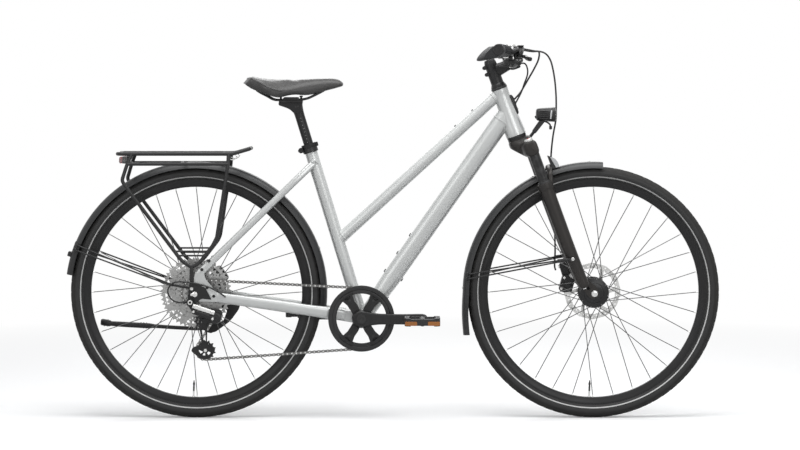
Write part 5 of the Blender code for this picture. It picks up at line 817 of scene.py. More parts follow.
def makeMainFrame():
    shapes = []
    add = shapes.append
    seat = [(0, 17.5), (483.5, 17.45), (483.8, 17.45)]
    add(turned(bottomBracket, seatUp, [*seat, (499.8, 17.45), (499.8, 13.9), (470, 13.9), (200, 13.9)], 48))
    add(turned(bottomBracket, across, [(-34.2, 17.2), (-34.2, 20), (-33.8, 20.6), (33.8, 20.6), (34.2, 20),
        (34.2, 17.2)], 48, closed=True))
    head = [(0, 24), (0.6, 28.5), (15, 28.5), (20, 27.8), (70, 24.5), (118.5, 22.2), (124, 22.4), (129, 23),
        (137.9, 23), (138.5, 20)]
    add(turned(headBase, steerUp, head, 56))

    start, end = onSeat(tubeSet["topOnSeat"]), onFork(tubeSet["topOnHead"], 0)
    add(rod([start, end], tubeSet["topRadius"], 40))
    way = (end - start).normalized()
    add(weldBead(start + way * 19, (way + seatForward * 0.2).normalized(), 32.2, 32.5))
    add(weldBead(end - way * 25, (way + steerForward * 0.1).normalized(), 32.2, 32.5))
    rise = way.cross(across)
    for share in (0.745, 0.85):
        shapes += bossScrew(start.lerp(end, share) + rise * (tubeSet["topRadius"] - 0.4), rise, 4.6)

    start = bottomBracket - up * tubeSet["downDrop"]
    end = onFork(tubeSet["downOnHead"], 0)
    way = (end - start).normalized()
    rise = way.cross(across)
    sizes = ((0, 56, 40), (0.06, 56, 40), (0.1, 53.5, 42.5), (0.15, 47.5, 48.5), (0.2, 44.5, 51.5),
        (0.24, 44, 52), (0.95, 44, 52), (1, 44, 50))
    add(sweptAlong([start.lerp(end, share) for share, w, h in sizes], [oval(w, h, 56, 2.3) for share, w,
        h in sizes], across))
    add(weldBead(end - way * 30, way, 44.5, 52.5, square=2.3))
    for share, sign in ((0.386, 1), (0.3, 1), (0.214, 1), (0.222, -1), (0.13, -1)):
        reach = 26 if share > 0.2 else 22.5
        shapes += bossScrew(start.lerp(end, share) + rise * (sign * reach), rise * sign)

    # port for the hose and cable on the front of the head tube, with its screw
    port = [(56, 26.8), (60, 29.2), (86, 30), (106, 29.2), (113, 26.2)]
    rings = []
    for height, ahead in port:
        middle = onFork(height, ahead - 9)
        rings.append(laid(middle, across, steerForward, oval(24.5, 18, 28, 3.2)))
    add(inFinish(skinOver(rings), 1))
    add(turned(onFork(70, 27), steerForward, [(0, 3), (3.4, 3), (4, 2.2)], 18, finish=2))
    for y in (5.8, -6):
        add(turned(onFork(98 if y > 0 else 88, 26.2, y), steerForward, [(0, 4.3), (4.2, 4), (4.8, 3.4)], 20,
            finish=1))
    makePiece("mainFrame", shapes, "frame", [pearlPaint, blackAnodised, brightSteel],
        ["head_tube", "top_tube", "down_tube", "seat_tube"], smooth=34)


def stayLine(front, back, stations, square, count=40):
    points = []
    sections = []
    for run, share, width, height, lift in stations:
        spot = front.lerp(back, run)
        spot.y = front.y + (tubeSet["stayMiddle"] - front.y) * share
        points.append(spot + up * lift)
        sections.append((width, height))
    fine = smoothRun(points, 5)
    sizes = []
    for i in range(len(fine)):
        k = min(i // 5, len(sections) - 2)
        t = i / 5 - k
        t = t * t * (3 - 2 * t)
        width = sections[k][0] * (1 - t) + sections[k + 1][0] * t
        height = sections[k][1] * (1 - t) + sections[k + 1][1] * t
        sizes.append(oval(width, height, count, square))
    return sweptAlong(fine, sizes, across)


def dropoutShape(low, high, hanger):
    end = rearAxle + forward * 9 + up * 54
    way = (onSeat(455) - end).normalized()
    square = Vector((way.z, 0, -way.x)) * 10.4
    inner = end - rearAxle + square
    outer = end - rearAxle - square
    corners = [(62, -21.2, 4), (62, 4.3, 4), (46, 23, 14), (28.5, 44, 8), (inner.x + 10, inner.z + 12, 3),
        (outer.x, outer.z, 0), (-1, 48, 6), (-19, 18, 6), (-19.5, -8, 6)]
    if hanger:
        corners += [(-23.3, -30, 7), (-3.3, -32, 7)]
    corners.append((6, -20, 6))
    return flatPlate(rounded(corners, 5), low, high, [circle((0, 0), 6.6, 24)], start=rearAxle)


def makeStays():
    front = bottomBracket + across * 30
    left = stayLine(front, rearAxle, ((0.1, 0, 17, 33, 0), (0.13, 0, 18, 33, 0), (0.215, 0.18, 18, 33, 0),
        (0.375, 0.36, 18, 31, 0), (0.63, 0.63, 16, 29, 0), (0.79, 0.855, 13.5, 28, 0),
        (0.885, 1, 8.5, 27.5, 0), (0.905, 1, 7.2, 26, 0)), 2.6)
    yoke = flatPlate(rounded([(-78, -4, 8), (-78, 23, 8), (-10, 17, 0), (-10, -16, 0)], 6), -34, 34,
        start=bottomBracket)
    inside, outside = tubeSet["dropoutInside"], tubeSet["dropoutOutside"]
    chain = [left, mirrored(left), yoke, dropoutShape(inside, outside, False),
        dropoutShape(-outside, -inside, True)]
    for u, v, size in ((20, 69.2, 4.6), (34.5, 18.5, 4.2), (52.9, -5.4, 4.2), (40, 93.5, 4.6)):
        for sign in (-1, 1):
            spot = atRear(u, v, sign * outside)
            chain.append(turned(spot, across * sign, [(-2, size), (1.6, size), (2.2, size - 0.8), (2.2, 2),
                (1.2, 1.8)], 22, finish=1))
    makePiece("chainstayPair", chain, "frame", [pearlPaint, blackAnodised, brightSteel],
        ["chainstays"], bevel=0.7, smooth=34)

    top = onSeat(455) + across * 12
    end = rearAxle + forward * 9 + up * 54
    height = 20
    upper = stayLine(top, end, ((-0.02, 0, 16, height, 0), (0, 0, 16, height, 0),
        (0.125, 0.302, 18, height, 0), (0.27, 0.445, 18, height, 0), (0.8, 0.84, 14, height, 0),
        (0.92, 1, 8, height, 0), (1, 1, 7.2, height, 0)), 2.4)
    # the top ends are closed by flat caps beside the seat tube
    cap = turned(onSeat(459, 13.5), (top - end).normalized(), [(-4, 9.6), (5.5, 9.6), (6.2, 8.8)], 30)
    middle = onSeat(455).lerp(end, 0.165)
    bridge = rod([middle - across * 30, middle - across * 12, middle + across * 12, middle + across * 30],
        [6.2, 5.8, 5.8, 6.2], 28)
    hanger = [turned(middle, -forward, [(0, 5.2), (10, 5.2), (11, 4.4)], 22, finish=1)]
    makePiece("seatstayPair", [upper, mirrored(upper), cap, mirrored(cap), bridge, *hanger], "frame",
        [pearlPaint, blackAnodised], ["seatstays"], smooth=34)


def makeSeatClamp():
    bore = 13.8
    collar = turned(bottomBracket, seatUp, [(485, 17.8), (485, 21), (485.6, 21.45), (494.5, 21.45),
        (496, 20.7), (498.5, 20.7), (500, 21.45), (509.4, 21.45), (510, 20.8), (510, bore), (500.5, bore),
        (500.5, 17.8)], 56, closed=True)
    lug = []
    for sign in (-1, 1):
        low, high = sorted((sign * 1.2, sign * 9))
        lug.append(flatPlate(rounded([(-31.2, 490.5, 5), (-19, 490.5, 0), (-19, 505.5, 0), (-31.2, 505.5, 5)],
            5), low, high, start=bottomBracket, axes=seatAxes))
    axle = onSeat(498, 0, -27.5)
    bolt = [turned(axle, across, [(-11.2, 2.2), (-11.2, 3.6), (-12, 5.6), (-10, 6.2), (10, 6.2), (12, 5.6),
        (12, 3)], 24)]
    tab = flatPlate(rounded([(19, 496.5, 0), (25.8, 497.5, 2), (26.2, 509.5, 3), (19, 509, 2)], 4), -7.5, 7.5,
        start=bottomBracket, axes=seatAxes)
    makePiece("seatClamp", [collar, *lug, *bolt, tab], "frame", [blackAnodised],
        ["seat_clamp"], bevel=0.4, smooth=30)


makeMainFrame()
makeStays()
makeSeatClamp()
print("frame ready")


# Rear end: mudguard and its stays, rack, lamp, stand and caliper

guardSet = {"radius": 368, "width": 53, "depth": 18, "wall": 2.2, "stay": 2.2}
rackBolt = (-8.3, 16)


def guardBand(spots, finish=0):
    # a rounded channel with a rolled edge on each side
    half = guardSet["width"] / 2
    outer = []
    inner = []
    for step in range(17):
        share = -1 + step / 8
        bend = abs(share) ** 3.2
        outer.append((share * half, -bend * guardSet["depth"]))
        inner.append((share * (half - guardSet["wall"]), -guardSet["wall"] * (1 - bend * 0.3)
            - bend * (guardSet["depth"] - guardSet["wall"])))
    profile = outer + inner[::-1]
    return sweptAlong(spots, [profile] * len(spots), across, finish=finish)


def stayRun(corners, finish=1):
    return rod(bentRun(corners, 12, 6), guardSet["stay"], 12, finish)


def eyeAt(spot, low, high, sign):
    near, far = sorted((sign * low, sign * high))
    return [flatPlate(circle((spot.x, spot.z), 6.2, 28), near, far, finish=1),
        turned(Vector((spot.x, sign * high, spot.z)), across * sign, [(-1, 4.6), (2.2, 4.6), (3, 3.6),
        (3, 1.8), (1.8, 1.6)], 22, finish=2)]


def makeRearGuard():
    spots = [roundWheel(rearAxle, guardSet["radius"], 172 - 178 * i / 96) for i in range(97)]
    shapes = [guardBand(spots)]
    add = shapes.append
    for sign in (-1, 1):
        bolt = beside(rearAxle, rackBolt, sign * 81.4)
        for degrees, lift, drop in ((160.5, 0, 10), (158.2, 3, 13)):
            start = roundWheel(rearAxle, guardSet["radius"] - 9, degrees, sign * 20.5)
            end = bolt + up * lift
            add(stayRun([start, start + across * (sign * 12) + forward * 4, bolt - forward * 60 + up * drop,
                end]))
        shapes += eyeAt(bolt, 78.9, 81.7, sign)
        for degrees in (160.5, 158.2):
            clip = roundWheel(rearAxle, guardSet["radius"] - 8.5, degrees, sign * 26.2)
            add(turned(clip, across * sign, [(-3, 4.6), (1.6, 4.6), (2.4, 3.6)], 20, finish=1))
    outward = outAt(163)
    along = outward.cross(across)
    bridge = roundWheel(rearAxle, guardSet["radius"], 163)
    bracket = rounded([(-1, -6, 2), (10, -6, 3), (10, 8, 3), (-1, 8, 2)], 4)
    add(flatPlate(bracket, -10, 10, start=bridge, axes=(outward, across, along), finish=1))
    # the thicker flap at the end, and rivets down the middle
    flap = [roundWheel(rearAxle, guardSet["radius"] + 1.2, 172 - 15 * i / 16) for i in range(17)]
    add(guardBand(flap, finish=3))
    for degrees in (158, 96, 20, 2):
        spot = roundWheel(rearAxle, guardSet["radius"], degrees)
        out = (spot - rearAxle).normalized()
        add(turned(spot, out, [(-4, 4), (1, 4), (1.8, 3), (2, 1.2)], 18, finish=2))
    wire = smoothRun([atRear(256, 292, 6), atRear(245, 285, 10), atRear(246, 276, 4), atRear(243, 274, 0)], 5)
    add(rod(wire, 1.4, 10, finish=1))
    makePiece("rearGuard", shapes, "frame", [guardPlastic, rackPaint, brightSteel,
        blackPlastic], ["rear_mudguard"], smooth=38)


rackSet = {"tube": 5.2, "top": 391, "deckHalf": 60, "legHalf": 75}


def makeRack():
    tube, top, deckHalf, legHalf = rackSet.values()
    shapes = []
    add = shapes.append
    for sign in (-1, 1):
        rail = [atRear(-216.3, top, sign * 46), atRear(-209, top, sign * deckHalf),
            atRear(105.7, top, sign * deckHalf), atRear(153.2, top + 14, sign * 54)]
        add(rod(bentRun(rail, 10, 6), tube, 20))
        loop = [atRear(-175.3, top, sign * deckHalf), atRear(-187.3, 363, sign * 70),
            atRear(-201.3, 318, sign * legHalf), atRear(-195.3, 306, sign * legHalf),
            atRear(-35.3, 92, sign * legHalf), atRear(-8.3, 75, sign * legHalf),
            atRear(12.7, 87, sign * legHalf), atRear(60.7, 149, sign * legHalf), atRear(93.7, 363, sign * 70),
            atRear(94.7, top, sign * deckHalf)]
        add(rod(bentRun(loop, 16, 7), tube, 20))
        add(rod([loop[1], loop[-2]], tube * 0.9, 18))
        for height, ends in ((108, (-46.3, 29.7)), (120, (-55.3, 39))):
            add(rod([atRear(x, height, sign * legHalf) for x in ends], tube * 0.5, 12))
        near, far = sorted((sign * (legHalf + 0.6), sign * (legHalf + 3.6)))
        foot = link(rackBolt, 7, (-8.3, 74), 5.2, 10)
        add(flatPlate(foot, near, far, start=rearAxle))
        add(turned(atRear(-8.3, 66, sign * legHalf), up, [(0, 5.8), (10, 5.2)], 18))
        # the luggage spring's hook under the front of the rail
        hook = [atRear(x, top - drop, sign * deckHalf)
            for x, drop in ((90, 4), (96, 13), (108, 16), (118, 9), (115, 4))]
        add(rod(smoothRun(hook, 6), 1.5, 10, finish=1))
    for x, z, half in ((-214.3, top, 50), (-149.3, top, deckHalf), (-34.3, top, deckHalf),
            (80.7, top, deckHalf), (151.7, top + 13.6, 53.5), (-187.3, 363, 70)):
        add(rod([atRear(x, z, y) for y in (-half, half)], tube * 0.85, 18))
        for sign in (-1, 1):
            spot = atRear(x, z, sign * (half - tube * 0.9))
            add(turned(spot, across * sign, [(-1.2, tube * 0.85), (1.6, tube * 1.06)], 18))
    deck = roundBox(-159.3, -13, 90.7, 13, 6, 5)
    ribs = []
    for k in range(6):
        start = -138 + 38 * k
        ribs.append(roundBox(start, -5.5, start + 26, 5.5, 4, 4))
    add(flatPlate(deck, 393, 397.2, ribs, start=rearAxle, axes=flatAxes))
    plate = roundBox(-22, -6, 22, 22, 3, 4)
    add(flatPlate(plate, -191.8, -188.8, start=rearAxle + up * 363, axes=(across, forward, up)))
    for y in (-15, 15):
        spot = atRear(-188.8, 368, y)
        add(turned(spot, forward, [(0, 3.6), (3, 3.6), (3.4, 2.8)], 6, finish=1))
    makePiece("rack", shapes, "frame", [rackPaint, brightSteel], ["rack"], bevel=0.4,
        smooth=34)


tailLightSet = {"low": 364, "height": 19, "lensHalf": 36, "halfWidth": 45}


def makeTailLight():
    low, height, lensHalf, halfWidth = tailLightSet.values()
    case = rounded([(-212.8, low, 6), (-211.8, low + height, 6), (-192.1, low + height, 4), (-192.1, low, 4)],
        6)
    back = rounded([(-203.5, low - 0.4, 3), (-203.5, low + height + 0.4, 3), (-191.9, low + height + 0.4, 4),
        (-191.9, low - 0.4, 4)], 5)
    shapes = [flatPlate(case, -lensHalf, lensHalf, start=rearAxle), flatPlate(case, -halfWidth,
        -lensHalf - 0.4, start=rearAxle, finish=1), flatPlate(case, lensHalf + 0.4, halfWidth, start=rearAxle,
        finish=1), flatPlate(back, 0.4 - halfWidth, halfWidth - 0.4, start=rearAxle, finish=2)]
    for k in range(9):
        y = -30 + 7.5 * k
        rib = rounded([(-213.3, low + 3, 1), (-212.5, low + 16.5, 1), (-210, low + 16.5, 0),
            (-210, low + 3, 0)], 3)
        shapes.append(flatPlate(rib, y - 1.2, y + 1.2, start=rearAxle))
    shapes.append(turned(atRear(-210.5, low + 9.5), -forward, [(0, 5.5), (2.4, 5.2), (2.8, 3)], 24, finish=1))
    makePiece("tailLight", shapes, "frame", [redLens, clearLens, blackPlastic], ["tail_light"],
        bevel=0.4, smooth=34)


standSet = {"axis": (-0.2, 0.967, 0.148), "hinge": (30, -108, 86), "grooves": (180, 188, 196, 290, 300)}


def makeStand():
    hinge = atRear(*standSet["hinge"])
    axis = Vector(standSet["axis"]).normalized()
    outline = rounded([(hinge.x - 13, hinge.z - 12, 8), (hinge.x - 13, hinge.z + 14, 6), (hinge.x + 22,
        rearAxle.z - 24, 6), (hinge.x + 88, rearAxle.z - 24, 4), (hinge.x + 88, rearAxle.z - 50, 14),
        (hinge.x + 60, hinge.z + 20, 12), (hinge.x + 16, hinge.z - 12, 8)], 6)
    window = rounded([(hinge.x + 10, hinge.z + 16, 5), (hinge.x + 30, rearAxle.z - 48, 6), (hinge.x + 52,
        rearAxle.z - 56, 6), (hinge.x + 40, hinge.z + 20, 6)], 5)
    shapes = [flatPlate(outline, 60, 74.5, [window])]
    shapes.append(turned(hinge, axis, [(-20, 11.2), (-19, 12), (-6.4, 12)], 40))
    for x in (36, 74):
        spot = Vector((hinge.x + x, 74.5, rearAxle.z - 34))
        shapes.append(turned(spot, across, [(-2, 5.2), (3, 5.2), (3.6, 4.4), (3.6, 2.4), (1.6, 2.2)], 26,
            finish=1))
    makePiece("standBracket", shapes, "frame", [blackAnodised, brightSteel],
        ["kickstand_bracket"], bevel=0.8, smooth=32)
    leg = [turned(hinge, axis, [(-6, 11.2), (-5.4, 12), (11.6, 12), (13.6, 10.2), (14, 8.6), (14, 5),
        (12.8, 4.6)], 44), turned(hinge, axis, [(11.8, 4.4), (14.8, 4.4), (15.2, 3.8)], 6, finish=1)]
    run = ((4, -2), (40, -4), (100, -1), (152, 2.5), (158, 3), (172, 3.7), (230, 7), (268, 9.3), (280, 10.2),
        (284, 10.8), (296, 12.8), (307, 14.7), (310, 15))
    sizes = (13.8, 12.5, 12, 12, 12.4, 16.8, 17, 16, 15, 19.6, 21, 20.6, 16)
    points = [hinge + axis * 4 - forward * back + up * rise for back, rise in run]
    leg.append(sweptAlong(points, [oval(size, size * 0.92, 32, 2.6) for size in sizes], across))
    # grooves round the sleeve and a thumb screw
    for back in standSet["grooves"]:
        spot = hinge + axis * 4 - forward * back + up * (4.4 + (back - 180) * 0.07)
        leg.append(turned(spot, (forward - up * 0.05).normalized(), [(-1.1, 8.8 if back < 200 else 10.6),
            (1.1, 8.8 if back < 200 else 10.6)], 32, finish=2))
    screw = hinge + axis * 4 - forward * 205 + up * 6
    leg.append(turned(screw, across, [(6, 4.2), (9.4, 4.2), (10, 3.4)], 20, finish=1))
    makePiece("stand", leg, "kickstand", [blackAnodised, brightSteel, blackPlastic],
        ["kickstand"], bevel=0.5, smooth=34)


caliperSet = {"bolt": 3.6, "boltOut": 87, "boltAlong": 16, "pistonOut": 72}


def caliperBody(centre, degrees, y):
    # a two-part body that straddles the disc, turned about the wheel's centre
    out = outAt(degrees)
    along = across.cross(out)
    axes = (out, across, along)
    outline = rounded([(56, -16.5, 3), (56, 16.5, 3), (70, 21.5, 6), (78, 25.8, 6), (93.5, 22, 8),
        (93.5, -22, 8), (78, -25.8, 6), (70, -21.5, 6)], 6)
    pad = rounded([(60, -13, 3), (60, 13, 3), (80, 15, 4), (80, -15, 4)], 5)
    top = rounded([(84.5, -22.5, 4), (84.5, 22.5, 4), (93.5, 21.5, 6), (93.5, -21.5, 6)], 5)
    shapes = [flatPlate(outline, y - 11.2, y - 2.2, start=centre, axes=axes), flatPlate(outline, y + 2.2,
        y + 13.2, start=centre, axes=axes), flatPlate(top, y - 3, y + 3, start=centre, axes=axes),
        flatPlate(pad, y - 2.4, y - 1.2, start=centre, axes=axes, finish=2), flatPlate(pad, y + 1.2, y + 2.4,
        start=centre, axes=axes, finish=2)]
    add = shapes.append
    size = caliperSet["bolt"]
    for side in (1, -1):
        place = centre + out * caliperSet["boltOut"] + along * (side * caliperSet["boltAlong"]) + across * y
        add(turned(place, across, [(12, size), (15, size), (15.5, size - 0.8), (15.5, 1.8), (13.5, 1.6)], 20,
            finish=1))
        add(turned(place, -across, [(10, size), (12.5, size), (13, size - 0.8)], 20, finish=1))
    piston = centre + out * caliperSet["pistonOut"] + across * y
    add(turned(piston, across, [(12, 11.8), (14.2, 11.2), (14.6, 10), (14.6, 6.2), (13.6, 5.8)], 36))
    add(turned(piston, -across, [(10, 11.2), (12.2, 10.6), (12.6, 9.4)], 36))
    return shapes


def makeRearCaliper():
    shapes = caliperBody(rearAxle, 36, 52)
    foot = rounded([(40, 10.5, 2), (60, 7, 2), (78, 4.8, 4), (78, 30, 8), (40, 44, 8)], 5)
    shapes.append(flatPlate(foot, 60, 75, start=rearAxle))
    for x, z in ((50, 21), (66, 16)):
        spot = atRear(x, z, 75)
        shapes.append(turned(spot, across, [(-2, 5), (2.2, 5), (2.8, 4.2), (2.8, 2.2), (1.2, 2)], 24,
            finish=1))
    makePiece("rearCaliper", shapes, "frame", [blackAnodised, brightSteel, silverAlloy],
        ["rear_caliper"], bevel=0.6, smooth=32)


makeRearGuard()
makeRack()
makeTailLight()
makeStand()
makeRearCaliper()
print("rear end ready")


# Drive

driveSet = {
    "pitch": 12.7,
    "chainLine": 47.75,
    "ringTeeth": 42,
    "cogs": (48, 41, 34, 28, 23, 19, 15, 13, 11),
    "chainOnCog": 5,
    "cogSpacing": 4.35,
    "cogThickness": 1.8,
    "guide": (20.7, -79, 11),
    "tension": (27.3, -159.5, 13),
}
chainLine = driveSet["chainLine"]


def pitchRadius(teeth):
    return driveSet["pitch"] / 2 / sin(pi / teeth)


def toothedOutline(teeth, height=3.4):
    # valley, flank and tip of each tooth
    outline = []
    radius = pitchRadius(teeth)
    for i in range(teeth):
        for share, rise in ((0, -1), (0.13, -0.86), (0.28, -0.25), (0.4, 0.62), (0.46, 0.92), (0.54, 0.92),
                (0.6, 0.62), (0.72, -0.25), (0.87, -0.86)):
            turn = 2 * pi * (i + share) / teeth
            far = radius + rise * height
            outline.append(polar(far, turn))
    return outline


def ringWindow(low, high, start, finish, twist=0, steps=6):
    # a window between two radii and two angles, slanted by a twist at its inner side
    window = []
    for step in range(steps + 1):
        turn = radians(start + (finish - start) * step / steps)
        window.append(polar(high, turn))
    for step in range(steps + 1):
        turn = radians(finish - (finish - start) * step / steps + twist)
        window.append(polar(low, turn))
    return window


def makeCassette():
    shapes = []
    add = shapes.append
    half = driveSet["cogThickness"] / 2
    first = chainLine - driveSet["chainOnCog"] * driveSet["cogSpacing"]
    for i, teeth in enumerate(driveSet["cogs"]):
        y = -(first + i * driveSet["cogSpacing"])
        radius = pitchRadius(teeth)
        holes = [circle((0, 0), 18, 30)]
        if teeth >= 23:
            count = 10 if teeth > 30 else 8
            inner = 22.5
            outer = radius - 10.5
            if outer - inner > 6:
                span = 360 / count
                for k in range(count):
                    start = k * span + i * 9
                    holes.append(ringWindow(inner, outer, start, start + span * 0.62, twist=-10))
            for k in range(count * 2):
                turn = radians(k * 180 / count + i * 5)
                spot = radius - 6.8
                holes.append(circle(polar(spot, turn), 1.7, 10))
        add(flatPlate(toothedOutline(teeth), y - half, y + half, holes, start=rearAxle, finish=0
            if i < 7 else 1))
        if i < len(driveSet["cogs"]) - 1:
            low = y - driveSet["cogSpacing"] + half
            ring = min(radius, pitchRadius(driveSet["cogs"][i + 1])) - 9
            outer = max(20.5, min(23.5, ring))
            add(turned(rearAxle, across, [(low, 17.8), (low, outer), (y - half, outer), (y - half, 17.8)], 40,
                closed=True, finish=2))
    last = -(first + 8 * driveSet["cogSpacing"])
    add(turned(rearAxle, across, [(last - half, 17.8), (last - half, 18.8), (last - half - 1.2, 18.4),
        (last - half - 1.4, 15), (last - half + 0.6, 14.8), (last - half + 0.6, 17.8)], 44, closed=True,
        finish=2))
    for k in range(12):
        spot = rearAxle + outAt(30 * k) * 15 + across * (last - half)
        add(turned(spot, across, [(-1, 1.1), (1, 1.1)], 6, finish=1))
    makePiece("cassette", shapes, "cassette", [cogSteel, chainSteel, blackAnodised], ["cassette"],
        smooth=24)


def flatSpot(point):
    return Vector((point.x, point.z))


def chainWheels():
    return [(flatSpot(bottomBracket), pitchRadius(driveSet["ringTeeth"]), 1), (flatSpot(rearAxle),
        pitchRadius(driveSet["cogs"][driveSet["chainOnCog"]]), 1),
        (flatSpot(beside(rearAxle, driveSet["guide"])), pitchRadius(driveSet["guide"][2]), -1),
        (flatSpot(beside(rearAxle, driveSet["tension"])), pitchRadius(driveSet["tension"][2]), 1)]


def chainTangent(first, second):
    centre, radius, sense = first
    nextCentre, nextRadius, nextSense = second
    gap = nextCentre - centre
    way = atan2(gap.y, gap.x) + asin((sense * radius - nextSense * nextRadius) / gap.length)
    left = Vector((-sin(way), cos(way)))
    return centre - left * (sense * radius), nextCentre - left * (nextSense * nextRadius)


def chainPins():
    wheels = chainWheels()
    route = []
    for i, wheel in enumerate(wheels):
        centre, radius, sense = wheel
        arrive = chainTangent(wheels[i - 1], wheel)[1] - centre
        leave = chainTangent(wheel, wheels[(i + 1) % len(wheels)])[0] - centre
        start = atan2(arrive.y, arrive.x)
        turnBy = (atan2(leave.y, leave.x) - start) * sense % (2 * pi)
        steps = max(2, round(turnBy * radius / 2))
        for step in range(steps + 1):
            turn = start + sense * turnBy * step / steps
            route.append(centre + Vector((cos(turn), sin(turn))) * radius)
    lengths = [0]
    for i, point in enumerate(route):
        lengths.append(lengths[-1] + (route[(i + 1) % len(route)] - point).length)
    count = 2 * round(lengths[-1] / driveSet["pitch"] / 2)
    pins = []
    i = 0
    for k in range(count):
        target = lengths[-1] * k / count
        while lengths[i + 1] < target:
            i += 1
        share = (target - lengths[i]) / (lengths[i + 1] - lengths[i])
        pins.append(route[i].lerp(route[(i + 1) % len(route)], share))
    return pins


def chainPlate(first, second, low, high, size, waist):
    way = second - first
    turn = atan2(way.y, way.x)
    outline = []
    for centre, base in ((second, turn), (first, turn + pi)):
        for step in range(7):
            angle = base + radians(-105 + 35 * step)
            outline.append((centre.x + size * cos(angle), centre.y + size * sin(angle)))
        middle = (first + second) / 2
        angle = base + pi / 2
        outline.append((middle.x + waist * cos(angle), middle.y + waist * sin(angle)))
    return flatPlate(outline, low, high)


def makeChain():
    pins = chainPins()
    shapes = []
    add = shapes.append
    for i, pin in enumerate(pins):
        following = pins[(i + 1) % len(pins)]
        outer = i % 2
        near, far = (2.1, 2.9) if outer else (1.2, 2)
        size = 4 if outer else 4.1
        for sign in (-1, 1):
            low, high = sorted((-chainLine + sign * near, -chainLine + sign * far))
            add(inFinish(chainPlate(pin, following, low, high, size, 2.7), outer))
        centre = Vector((pin.x, -chainLine, pin.y))
        add(turned(centre, across, [(-1.2, 3.7), (1.2, 3.7)], 14, finish=1))
        add(turned(centre, across, [(-3.2, 1.3), (-3, 1.8), (3, 1.8), (3.2, 1.3)], 10, finish=2))
    makePiece("chain", shapes, "frame", [chainSteel, chainSteel, brightSteel], ["chain"], smooth=30)
    print("chain of", len(pins), "links")


crankSet = {
    "length": 170,
    "armAngles": (56, 124, 236, 304),
}


def crankArmShape(finish=0):
    stations = ((-23, 76.5, 18, 7), (-20, 76.5, 30, 12), (-10, 76.5, 42, 14.5), (0, 76.5, 45, 15),
        (15, 76.8, 41, 15), (30, 77.4, 35, 14.5), (50, 78.6, 30.5, 14), (80, 80.8, 29, 13.5),
        (110, 83.8, 29, 13.5), (140, 86.4, 30, 13.5), (155, 87.2, 31, 13.5), (170, 87.4, 31, 13.5),
        (178, 87.4, 27.5, 13), (183, 87.2, 20, 11.8), (185.2, 86.8, 11, 9))
    rings = []
    for x, face, width, thick in stations:
        centre = bottomBracket + forward * x - across * (face - thick / 2)
        rings.append(laid(centre, across, up, oval(thick, width, 32, 4.5)))
    return skinOver(rings, finish=finish)


def spiderShape():
    # four arms that flare at the guard, each with a triangular window near its tip
    outline = []
    windows = []
    angles = crankSet["armAngles"]
    for i, degrees in enumerate(angles):
        turn = radians(degrees)
        following = radians(angles[(i + 1) % 4] + (360 if i == 3 else 0))
        for distance, offset in ((34, -12.2), (52, -12), (66, -15.5), (75.5, -20.5), (76.5, -8), (76.8, 0),
                (76.5, 8), (75.5, 20.5), (66, 15.5), (52, 12), (34, 12.2)):
            outline.append((distance * cos(turn) - offset * sin(turn),
                distance * sin(turn) + offset * cos(turn)))
        gap = following - turn
        for share in (0.36, 0.5, 0.64):
            valley = turn + gap * share
            inner = 21.5 if gap > 1.5 else 24.5
            outline.append(polar(inner, valley))
        window = []
        for distance, offset in ((61, 0), (70, 10), (71.4, 9.5), (71.4, -9.5), (70, -10)):
            window.append((distance * cos(turn) - offset * sin(turn),
                distance * sin(turn) + offset * cos(turn)))
        windows.append(window)
    return flatPlate(outline, -60.5, -51, windows, start=bottomBracket)


